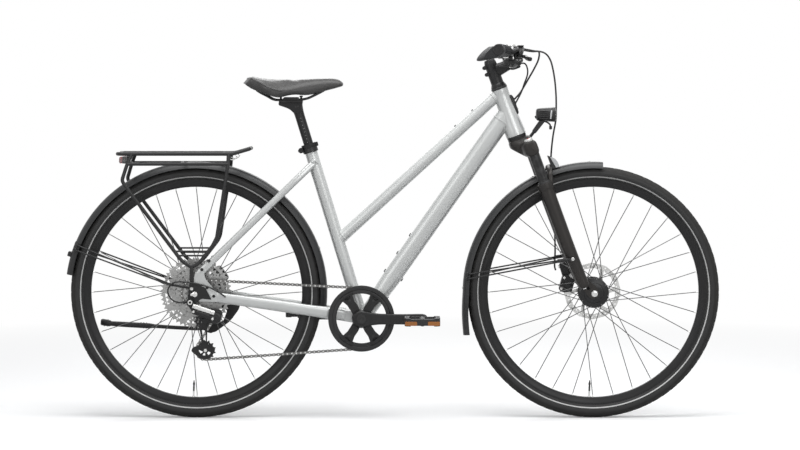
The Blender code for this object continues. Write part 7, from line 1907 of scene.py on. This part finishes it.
def brakeBodyShapes():
    centre = barSpot(barSet["brakeAt"])
    shapes = [clampRing(barSet["brakeAt"], 11.3, 16, 14)]
    add = shapes.append
    run = smoothStations(((41.2, -52, 9.8, 12, 12), (41, -50.5, 9.6, 15, 15.2), (40, -40, 8.6, 16.4, 17),
        (38.5, -20, 7, 18.5, 20), (36, -4, 1, 18.5, 20.5), (34, 7, -3.8, 18, 20), (33.5, 8.2, -4.3, 14, 16)),
        4)
    add(sweptAlong([centre + Vector((x, y, z)) for x, y, z, wide, tall in run], [oval(wide, tall, 32, 2.6)
        for x, y, z, wide, tall in run], up))
    add(rod([centre + forward * 10, centre + forward * 22, centre + forward * 34 + up * 4], [8, 7.5, 8.5],
        28))
    # reservoir cover with its two screws, and the clamp's bolt
    top = centre + forward * 38.5 + up * 16 - across * 24
    cover = roundBox(-8.5, -19, 8.5, 17, 5, 5)
    add(flatPlate(cover, -1.4, 1.6, start=top, axes=flatAxes, finish=3))
    for y in (-14.5, 12.5):
        add(turned(top + across * y, up, [(1, 2.6), (2.8, 2.6), (3.2, 2), (3.2, 1), (2.4, 0.9)], 18,
            finish=1))
    add(turned(centre - up * 17.5 + forward * 8, forward, [(-8, 5), (8, 5)], 20))
    add(turned(centre - up * 17.5 + forward * 16, forward, [(0, 3.6), (3.4, 3.6), (4, 2.8), (4, 1.6),
        (3, 1.4)], 18, finish=1))
    spot = leverPivot()
    jaw = link((spot.x, spot.y), 7.5, (spot.x - 8, spot.y - 14), 9, 10)
    for low, high in ((4.3, 8), (-8, -4.3)):
        add(flatPlate(jaw, spot.z + low, spot.z + high, axes=flatAxes))
    back = link((spot.x - 11, spot.y - 12), 6, (spot.x - 12, spot.y - 20), 5.8, 8)
    add(flatPlate(back, spot.z - 7.8, spot.z + 7.8, axes=flatAxes))
    add(turned(spot, up, [(-8.6, 2.2), (-8.2, 3.4), (-6.4, 3.4), (-6, 2.2), (6, 2.2), (6.4, 3.4), (8.2, 3.4),
        (8.6, 2.4)], 20, finish=1))
    start, way = hosePort()
    add(turned(start, way, [(-6, 5.2), (-2.6, 5.2), (-2.2, 4.6), (1.6, 4.2), (3.6, 3.4), (4, 2.7)], 6,
        finish=3))
    return shapes


def leverShapes():
    spot = leverPivot()
    shapes = [turned(spot, up, [(-3.8, 2.4), (-3.8, 6.4), (-3.4, 6.8), (3.4, 6.8), (3.8, 6.4), (3.8, 2.4)],
        32, closed=True)]
    run = smoothStations(((3.5, 5, 0, 7.4, 7.6), (9, 20, -0.5, 9, 8.6), (12.5, 36, -1.5, 10.8, 8.6),
        (14, 50, -2.5, 12, 8.4), (14.5, 67, -4, 12.2, 8.8), (16, 82, -6, 12, 9.6), (19, 89.5, -7, 12, 10.6),
        (22, 95, -8, 11.8, 11.2), (24.5, 98, -8.5, 9.6, 9.8), (25.5, 99, -8.8, 5, 6)), 5)
    shapes.append(sweptAlong([spot + Vector(row[:3]) for row in run], [oval(row[3], row[4], 28, 3)
        for row in run], up))
    for x, y, z in ((12.8, 38, -0.8), (14, 50, -1.7), (14.3, 62, -2.8)):
        shapes.append(turned(spot + Vector((x, y, z)), up, [(2.6, 2.6), (3.4, 2.4), (3.4, 1.4), (2.8, 1.2)],
            18, finish=1))
    return shapes


def makeHandControls():
    for side in ("Left", "Right"):
        sets = [gripShapes(), brakeBodyShapes(), leverShapes()]
        if side == "Right":
            sets = [[mirrored(shape) for shape in shapes] for shapes in sets]
        low = side.lower()
        makePiece("grip" + side, sets[0], "steering", [gripRubber, blackAnodised, brightSteel],
            ["grip_" + low], smooth=42)
        makePiece("brakeBody" + side, sets[1], "steering", [blackAnodised, brightSteel,
            silverAlloy, blackPlastic], ["brake_body_" + low], bevel=0.4, smooth=36)
        makePiece("brakeLever" + side, sets[2], low + "_lever", [blackAnodised, brightSteel],
            ["brake_lever_" + low], smooth=40)


shiftPivot = barSpot(barSet["shifterAt"]) + forward * 6 - up * 34.5
shiftPivot.y = -shiftPivot.y


def cablePort():
    nose = shiftPivot + up * 6 + forward * 30 + across * 8
    way = (nose - (shiftPivot + up * 9)).normalized()
    return nose + way * 1.2, way


def makeShifter():
    spot = shiftPivot
    shapes = [mirrored(clampRing(barSet["shifterAt"], 11.3, 14, 10))]
    add = shapes.append
    add(turned(spot, up, [(1, 10), (1, 15), (2, 17.6), (3.6, 18.5), (14.4, 18.5), (16, 17.8), (17.6, 15),
        (18, 12)], 52))
    add(turned(spot, up, [(17.6, 11.8), (18.6, 11.4), (19, 10), (18.4, 9)], 44, finish=1))
    start, way = cablePort()
    nose = spot + up * 9
    add(rod([nose, nose.lerp(start, 0.55), start - way * 9, start - way * 1], [7.8, 7, 5.8, 5.2], 28))
    for k in range(4):
        add(turned(start - way * (8 - 1.6 * k), way, [(-0.5, 6.2), (0.5, 6.2)], 24, finish=1))
    add(rod([spot + up * 12 - forward * 3, spot + up * 24 - forward * 6], [7.5, 5.8], 26))
    add(turned(spot, up, [(-6.8, 2.4), (-6.4, 3), (6, 3)], 20, finish=2))
    window = roundBox(-10, -6, 4, 6, 3, 5)
    add(flatPlate(window, 18.4, 19.8, start=spot, axes=flatAxes, finish=3))
    makePiece("shifterBody", shapes, "steering", [blackPlastic, blackAnodised, brightSteel,
        clearLens], ["shifter_body"], bevel=0.3, smooth=38)
    outline = link((spot.x, spot.y), 10, (spot.x - 22, spot.y + 20), 7.5, 12)
    lever = [flatPlate(outline, spot.z - 4.6, spot.z + 0.2, [circle((spot.x, spot.y), 3.2, 24)],
        axes=flatAxes)]
    pad = Vector((spot.x - 22, spot.y + 20, spot.z - 2.2))
    for k in range(4):
        shift = -4.2 + 2.8 * k
        lever.append(rod([pad + forward * shift - across * 4.5 + up * 2.6,
            pad + forward * shift + across * 4.5 + up * 2.6], 0.7, 8, finish=1))
    makePiece("shiftLever", lever, "shift_lever", [blackPlastic, guardPlastic],
        ["shift_lever"], bevel=0.6, smooth=36)


def makeBell():
    centre = barSpot(barSet["bellAt"])
    shapes = [clampRing(barSet["bellAt"], 12.6, 15.8, 8, finish=1)]
    add = shapes.append
    add(rod([centre + up * 12, centre + up * 31.5 + forward * 7.5], 4.2, 24, finish=1))
    base = centre + up * 30 + forward * 7.5
    profile = [(0, 12.8), (0, 14.2), (0.8, 14.6), (2, 14.5)]
    for step in range(1, 11):
        turn = radians(9 * step)
        profile.append((2.2 + 8.3 * sin(turn), 14.5 * cos(turn) + 0.2))
    add(turned(base, up, profile, 56))
    add(turned(base, up, [(9.8, 3), (11.2, 2.8), (11.6, 2)], 24, finish=2))
    add(rod([base - up * 1 + across * 3 - forward * 4, base - up * 0.6 + across * 10 - forward * 12,
        base + up * 0.4 + across * 12 - forward * 17], [2.2, 2, 2.6], 16, finish=1))
    makePiece("bell", shapes, "steering", [silverAlloy, blackPlastic, brightSteel], ["bell"],
        bevel=0.2, smooth=40)


makeStem()
makeBar()
makeHandControls()
makeShifter()
makeBell()
print("cockpit ready")


# Saddle and post

saddleSet = {
    "rear": -421.6, "length": 284,
    # share of the length, half width, crown, crease, skirt, hollow below
    "stations": (
        (0, 60, 956, 954.5, 942, 1), (0.006, 65.5, 960, 959, 938.5, 3),
        (0.016, 68.5, 960.8, 959.8, 936.5, 5), (0.06, 76, 959, 955.6, 928.5, 10),
        (0.116, 81.5, 956.2, 950.5, 921.8, 14), (0.2, 83, 953.5, 941.5, 914, 18),
        (0.27, 80, 951.8, 933.2, 906.6, 20), (0.33, 74, 950.5, 926.2, 902.2, 22),
        (0.38, 66.5, 950.2, 923, 903.5, 21), (0.44, 56, 950.8, 922.5, 907.8, 19),
        (0.52, 45, 952.4, 923.5, 910.2, 18), (0.62, 36, 954.6, 926.2, 908.5, 17),
        (0.72, 29, 956, 930, 912.5, 14), (0.82, 24.5, 956.8, 934.5, 920.5, 11),
        (0.9, 22.5, 956.5, 938, 926.2, 8), (0.95, 20.5, 953.5, 939.5, 930, 5),
        (0.982, 16.5, 947, 939, 932.5, 3), (0.996, 10.5, 942.5, 937.5, 934, 2),
    ),
    "lean": 12, "bow": 10, "leanEnds": 0.22,
    "pressure": 4, "frames": 20, "travel": 3.5, "voxel": 3.8,
}


def saddleRings(steps, inset=0):
    rings = []
    for share, half, crown, crease, skirt, hollow in smoothStations(saddleSet["stations"], steps):
        x = saddleSet["rear"] + saddleSet["length"] * share
        half -= inset
        crown -= inset
        ring = []
        for step in range(21):
            u = -cos(pi * step / 20)
            rise = max(0, 1 - abs(u) ** 2.2) ** 0.75
            ring.append(Vector((x, u * half, crease + (crown - crease) * rise)))
        for share2, narrow in ((0.3, 0.998), (0.62, 0.985), (0.9, 0.955), (1, 0.915)):
            ring.append(Vector((x, half * narrow, crease + (skirt - crease) * share2)))
        for step in range(1, 8):
            u = 0.86 - 1.72 * step / 8
            ring.append(Vector((x, half * u, skirt + hollow * (1 - abs(u) ** 2.5))))
        for share2, narrow in ((1, 0.915), (0.9, 0.955), (0.62, 0.985), (0.3, 0.998)):
            ring.append(Vector((x, -half * narrow, crease + (skirt - crease) * share2)))
        fade = max(0, 1 - share / saddleSet["leanEnds"])
        for point in ring:
            high = (point.z - skirt) / (crown - skirt)
            point.x += fade * (saddleSet["lean"] * high + saddleSet["bow"] * abs(point.y / half) ** 4)
        rings.append(ring)
    return rings


def swollen(piece):
    # cloth that is pumped up a little and capped, with its underside held
    start = [vertex.co.copy() for vertex in piece.data.vertices]
    held = piece.vertex_groups.new(name="held")
    for vertex in piece.data.vertices:
        if vertex.normal.z < -0.35:
            held.add([vertex.index], 1, "REPLACE")
    cloth = piece.modifiers.new("padding", "CLOTH")
    cloth.settings.use_pressure = True
    cloth.settings.uniform_pressure_force = saddleSet["pressure"]
    cloth.settings.effector_weights.gravity = 0
    cloth.settings.vertex_group_mass = "held"
    cloth.settings.quality = 4
    scene = bpy.context.scene
    for number in range(1, saddleSet["frames"] + 1):
        scene.frame_set(number)
    graph = bpy.context.evaluated_depsgraph_get()
    grown = [vertex.co.copy() for vertex in piece.evaluated_get(graph).data.vertices]
    piece.modifiers.remove(cloth)
    piece.vertex_groups.remove(held)
    scene.frame_set(1)
    for vertex, before, after in zip(piece.data.vertices, start, grown):
        move = after - before
        if move.length > saddleSet["travel"] * mm:
            move = move.normalized() * saddleSet["travel"] * mm
        vertex.co = before + move


def makeSaddle():
    pad = makePiece("saddlePad", [skinOver(saddleRings(4, 1.5))], "seatpost", [saddleCover],
        ["saddle"], smooth=70)
    remesh = pad.modifiers.new("skin", "REMESH")
    remesh.mode = "VOXEL"
    remesh.voxel_size = saddleSet["voxel"] * mm
    graph = bpy.context.evaluated_depsgraph_get()
    mesh = bpy.data.meshes.new_from_object(pad.evaluated_get(graph))
    pad.modifiers.remove(remesh)
    pad.data = mesh
    mesh.materials.clear()
    mesh.materials.append(saddleCover)
    swollen(pad)
    soft = pad.modifiers.new("even", "SMOOTH")
    soft.factor = 0.5
    soft.iterations = 2
    fine = pad.modifiers.new("fine", "SUBSURF")
    fine.levels = 1
    fine.render_levels = 1
    graph = bpy.context.evaluated_depsgraph_get()
    mesh = bpy.data.meshes.new_from_object(pad.evaluated_get(graph))
    pad.modifiers.clear()
    pad.data = mesh
    mesh.shade_smooth()

    # seams follow the crease on both sides and across the tail, laid on the finished pad
    tree = BVHTree.FromObject(pad, bpy.context.evaluated_depsgraph_get())
    stations = smoothStations(saddleSet["stations"], 4)
    seams = []
    for sign in (-1, 1):
        line = []
        for share, half, crown, crease, skirt, _ in stations:
            if 0.02 <= share <= 0.42:
                fade = max(0, 1 - share / saddleSet["leanEnds"])
                lean = fade * (saddleSet["lean"] * (crease - skirt) / (crown - skirt) + saddleSet["bow"])
                spot = Vector((saddleSet["rear"] + saddleSet["length"] * share + lean, sign * half * 1.01,
                    crease))
                line.append(tree.find_nearest(spot * mm)[0] / mm)
        seams.append(rod(line, [0.4] + [1] * (len(line) - 2) + [0.4], 10))
    tail = []
    for step in range(15):
        y = -62 + 124 * step / 14
        spot = Vector((saddleSet["rear"] + 8 + 8 * (abs(y) / 62) ** 4, y, 960))
        tail.append(tree.find_nearest(spot * mm)[0] / mm)
    seams.append(rod(tail, [0.4] + [1] * 13 + [0.4], 10))
    shell = []
    for ring in saddleRings(3):
        low = min(point.z for point in ring)
        half = max(point.y for point in ring) * 0.86
        x = ring[0].x
        x = saddleSet["rear"] + 6 + (x - saddleSet["rear"]) * 0.965
        shell.append([Vector((x, half * cos(t), low + 3 + 3.4 * sin(t))) for t in [2 * pi * i / 28
            for i in range(28)]])
    makePiece("saddleTrim", [*seams, inFinish(skinOver(shell), 1)], "seatpost",
        [saddleCover, blackPlastic], smooth=50)


postSet = {"railHeight": 895, "top": 623.5, "radius": 13.6, "plateHalf": 28.2}


def railSpots():
    x = -277.6
    low = postSet["railHeight"]
    half = [Vector((x + ahead, y, low + rise)) for ahead, y, rise in ((-104, 34, 28), (-92, 31, 20),
        (-74, 26, 11), (-56, 22, 0), (-30, 22, 0), (18, 22, 0.5), (38, 21, 4), (62, 16, 15.5), (82, 11, 26),
        (92, 5, 33))]
    return [Vector((p.x, -p.y, p.z)) for p in half] + half[::-1]


def makePost():
    rails = rod(bentRun(railSpots(), 16, 6), 3.5, 20)
    makePiece("saddleRails", [rails], "seatpost", [rackPaint], ["saddle_rails"], smooth=50)
    low = postSet["railHeight"]
    head = onSeat(postSet["top"])
    shapes = [turned(bottomBracket, seatUp, [(273.5, 11.6), (273.5, 13), (274.5, 13.6), (590, 13.6),
        (602, 14.1), (612, 15.2), (620, 16.8), (622.5, 15.8)], 48)]
    add = shapes.append
    # forged head that spreads back to the clamp, the clamp's two plates and its bolts
    forging = rounded([(head.x - 49, low - 3.5, 2), (head.x - 49.5, low - 15, 5),
        (head.x - 38, low - 18.5, 4), (head.x - 17, low - 26.5, 10), (head.x - 8.5, head.z - 21.5, 3),
        (head.x + 14, head.z - 21.5, 3), (head.x + 15, head.z - 5, 6), (head.x + 18, low - 3.5, 2)], 6)
    add(flatPlate(forging, -16, 16))
    plates = (([(-47, -6.2), (17.5, -6.2), (17.5, -1), (-47, -1)], 1), ([(-40, 1), (8, 1), (6, 8), (-34, 8)],
        0.98))
    for outline, share in plates:
        corners = rounded([(head.x + x, low + z, 2) for x, z in outline], 4)
        add(flatPlate(corners, -postSet["plateHalf"] * share, postSet["plateHalf"] * share))
    for x, drop, radius in ((-44, -15, 6), (13, -10, 4.5)):
        spot = Vector((head.x + x, 0, low))
        add(turned(spot, up, [(drop, radius * 0.7), (drop + 1, radius), (-4, radius), (-4, 3), (8.2, 3),
            (8.2, 4.8), (11.6, 4.8), (12.2, 4), (12.2, 2.2), (10.6, 2)], 24))
    add(turned(Vector((head.x - 44, 0, low - 10.5)), across, [(-18.5, 4), (-18, 6), (18, 6), (18.5, 4)], 24))
    for k in range(8):
        mark = bottomBracket + seatUp * (515 + 10 * k) - across * 13.5
        add(rod([mark - seatForward * 1.6, mark + seatForward * 1.6], 0.35, 6, finish=1))
    makePiece("seatpost", shapes, "seatpost", [blackAnodised, brightSteel], ["seatpost"],
        bevel=0.5, smooth=36)


makeSaddle()
makePost()
print("saddle ready")


# Hoses and cables: each its real length, from where it leaves one piece to where it enters the next

def runLength(points):
    return sum((b - a).length for a, b in zip(points, points[1:]))


def spots(*places):
    return [Vector(place) for place in places]


def makeCord(name, points, radius, node, body=None, bend=None, finish=None):
    run = smoothRun(points, 10)
    shape = rod(run, radius, 18)
    mesh = bpy.data.meshes.new(name)
    mesh.from_pydata([point * mm for point in shape[0]], [], shape[1])
    mesh.materials.append(finish or sheathBlack)
    piece = placed(name, mesh, 50)
    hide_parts(node)
    if bend:
        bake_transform(piece)
    else:
        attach(piece, body)
    print(name, "runs", round(runLength(run), 1), "mm")
    return piece


def makeCords():
    hose = 2.5
    start, way = hosePort()
    front = [start, start + way * 10, *spots((392, 74, 1031.5), (414, 62, 1031.5), (431.5, 56, 1024.5),
        (444, 52, 1007), (451.5, 49, 980), (457, 46, 945), (460, 44, 906), (460.5, 44, 868))]
    for height, ahead, y in ((0, 120.5, 44), (-38.3, 98.5, 44), (-84.3, 76.5, 47), (-123.9, 62.7, 56),
            (-185.1, 55.3, 90), (-259.6, 26.1, 92.5), (-344.8, -2.8, 90), (-386.4, -20.1, 78),
            (-399.3, -22.6, 66)):
        front.append(onFork(height, ahead, y))
    makeCord("frontBrakeHose", front, hose, "front_brake_hose",
        bend=("steering", "fork_lowers", onFork(20, 50), onFork(-170, 50)))
    start = Vector((start.x, -start.y, start.z))
    way = Vector((way.x, -way.y, way.z))
    end = onFork(98, 30.7, 5.8)
    makeCord("rearBrakeHose", [start, start + way * 10, *spots((392, -74, 1031.5), (406, -60, 1028.5),
        (405, -46, 1007), (393, -30, 980), (380, -16, 956), (367.5, -4, 933), (356, 4, 914)), end], hose,
        "rear_brake_hose", bend=("steering", "frame", onFork(150, 100),
        onFork(98, 36)))
    cable = 2.2
    start, way = cablePort()
    end = onFork(88, 30.7, -6)
    makeCord("shiftCableFront", [start, start + way * 10, *spots((370, -106, 988.5), (373.5, -88, 974),
        (372, -66, 959), (366.5, -44, 942), (359, -20, 917)), end], cable,
        "shift_cable_front", bend=("steering", "frame", onFork(140, 85), onFork(88, 36)))
    outside = -75.3
    end = atRear(-23.1, -22, outside - 8.5)
    rear = [atRear(x, z, outside - out) for x, z, out in ((86, -8, 0.6), (60, 11, 7), (24, 26, 12.5),
        (-22, 35, 14), (-58, 33, 14), (-74, 12, 13), (-66, -11, 11), (-48, -22, 9))]
    makeCord("shiftCableRear", [*rear, end - forward * 10, end], cable,
        "shift_cable_rear", body="frame")


makeCords()
print("cords ready")


# Floor, world and lamps

stageSet = {"floorSize": 24, "fadeStart": 1.5, "fadeEnd": 3.2, "floorTone": 0.93, "bounceTone": 0.12,
    "floorLift": 0.1}


def makeFloor():
    mesh = bpy.data.meshes.new("floor")
    half = stageSet["floorSize"] / 2
    mesh.from_pydata([(-half, -half, 0), (half, -half, 0), (half, half, 0), (-half, half, 0)], [],
        [(0, 1, 2, 3)])
    floor = bpy.data.objects.new("floor", mesh)
    bpy.context.collection.objects.link(floor)
    material = bpy.data.materials.new("paleFloor")
    material.use_nodes = True
    tree = material.node_tree
    tree.nodes.clear()
    place = addNode(tree, "TexCoord").outputs["Object"]
    distance = addNode(tree, "VectorMath", {0: place}, operation="LENGTH")
    fade = addNode(tree, "MapRange", {"Value": distance.outputs["Value"], "From Min": stageSet["fadeStart"],
        "From Max": stageSet["fadeEnd"]})
    path = addNode(tree, "LightPath")
    seen = maths(tree, "MAXIMUM", path.outputs["Is Camera Ray"], path.outputs["Is Glossy Ray"])
    seen = maths(tree, "MAXIMUM", seen, path.outputs["Is Transmission Ray"])
    share = maths(tree, "MULTIPLY", fade.outputs["Result"], seen)
    tone = addNode(tree, "MapRange", {"Value": seen, "To Min": stageSet["bounceTone"],
        "To Max": stageSet["floorTone"]})
    matt = addNode(tree, "BsdfDiffuse", {"Color": tone.outputs["Result"]})
    lift = maths(tree, "MULTIPLY", seen, stageSet["floorLift"])
    lifted = addNode(tree, "Emission", {"Color": (1, 1, 1, 1), "Strength": lift})
    near = addNode(tree, "AddShader")
    tree.links.new(matt.outputs[0], near.inputs[0])
    tree.links.new(lifted.outputs[0], near.inputs[1])
    glow = addNode(tree, "Emission", {"Color": (1, 1, 1, 1), "Strength": 1})
    mixed = addNode(tree, "MixShader", {0: share})
    tree.links.new(near.outputs[0], mixed.inputs[1])
    tree.links.new(glow.outputs[0], mixed.inputs[2])
    result = addNode(tree, "OutputMaterial")
    tree.links.new(mixed.outputs[0], result.inputs["Surface"])
    mesh.materials.append(material)


def makeWorld():
    world = bpy.data.worlds.new("studio")
    bpy.context.scene.world = world
    world.use_nodes = True
    tree = world.node_tree
    tree.nodes.clear()
    path = addNode(tree, "LightPath")
    seen = maths(tree, "MAXIMUM", path.outputs["Is Camera Ray"], path.outputs["Is Glossy Ray"])
    seen = maths(tree, "MAXIMUM", seen, path.outputs["Is Transmission Ray"])
    ambient = addNode(tree, "Background", {"Color": (0.95, 0.97, 1, 1), "Strength": 0.34})
    white = addNode(tree, "Background", {"Color": (1, 1, 1, 1), "Strength": 1})
    mixed = addNode(tree, "MixShader", {0: seen})
    tree.links.new(ambient.outputs[0], mixed.inputs[1])
    tree.links.new(white.outputs[0], mixed.inputs[2])
    result = addNode(tree, "OutputWorld")
    tree.links.new(mixed.outputs[0], result.inputs["Surface"])


# place, aim, width and height of each softbox, and its power
lamps = {
    "topBox": ((0.1, -0.6, 3.2), (0, 0, 0.4), 3.2, 1.6, 80),
    "frontBox": ((1.6, -3.4, 2), (0.1, 0, 0.5), 2, 1.6, 30),
    "sideBox": ((-2.2, -3.2, 1.5), (-0.1, 0, 0.5), 1.6, 1.8, 16),
    "backBox": ((0.2, 2.8, 2.4), (0, 0, 0.6), 2.8, 1.2, 30),
}


def makeLamps():
    for name, (place, aim, width, height, power) in lamps.items():
        data = bpy.data.lights.new(name, "AREA")
        data.shape = "RECTANGLE"
        data.size = width
        data.size_y = height
        data.energy = power
        lamp = bpy.data.objects.new(name, data)
        lamp.location = place
        way = Vector(aim) - Vector(place)
        lamp.rotation_euler = way.to_track_quat("-Z", "Y").to_euler()
        bpy.context.collection.objects.link(lamp)


makeFloor()
makeWorld()
makeLamps()
bpy.context.scene.view_settings.view_transform = "Standard"
print("stage ready,", pieceCount, "pieces made")
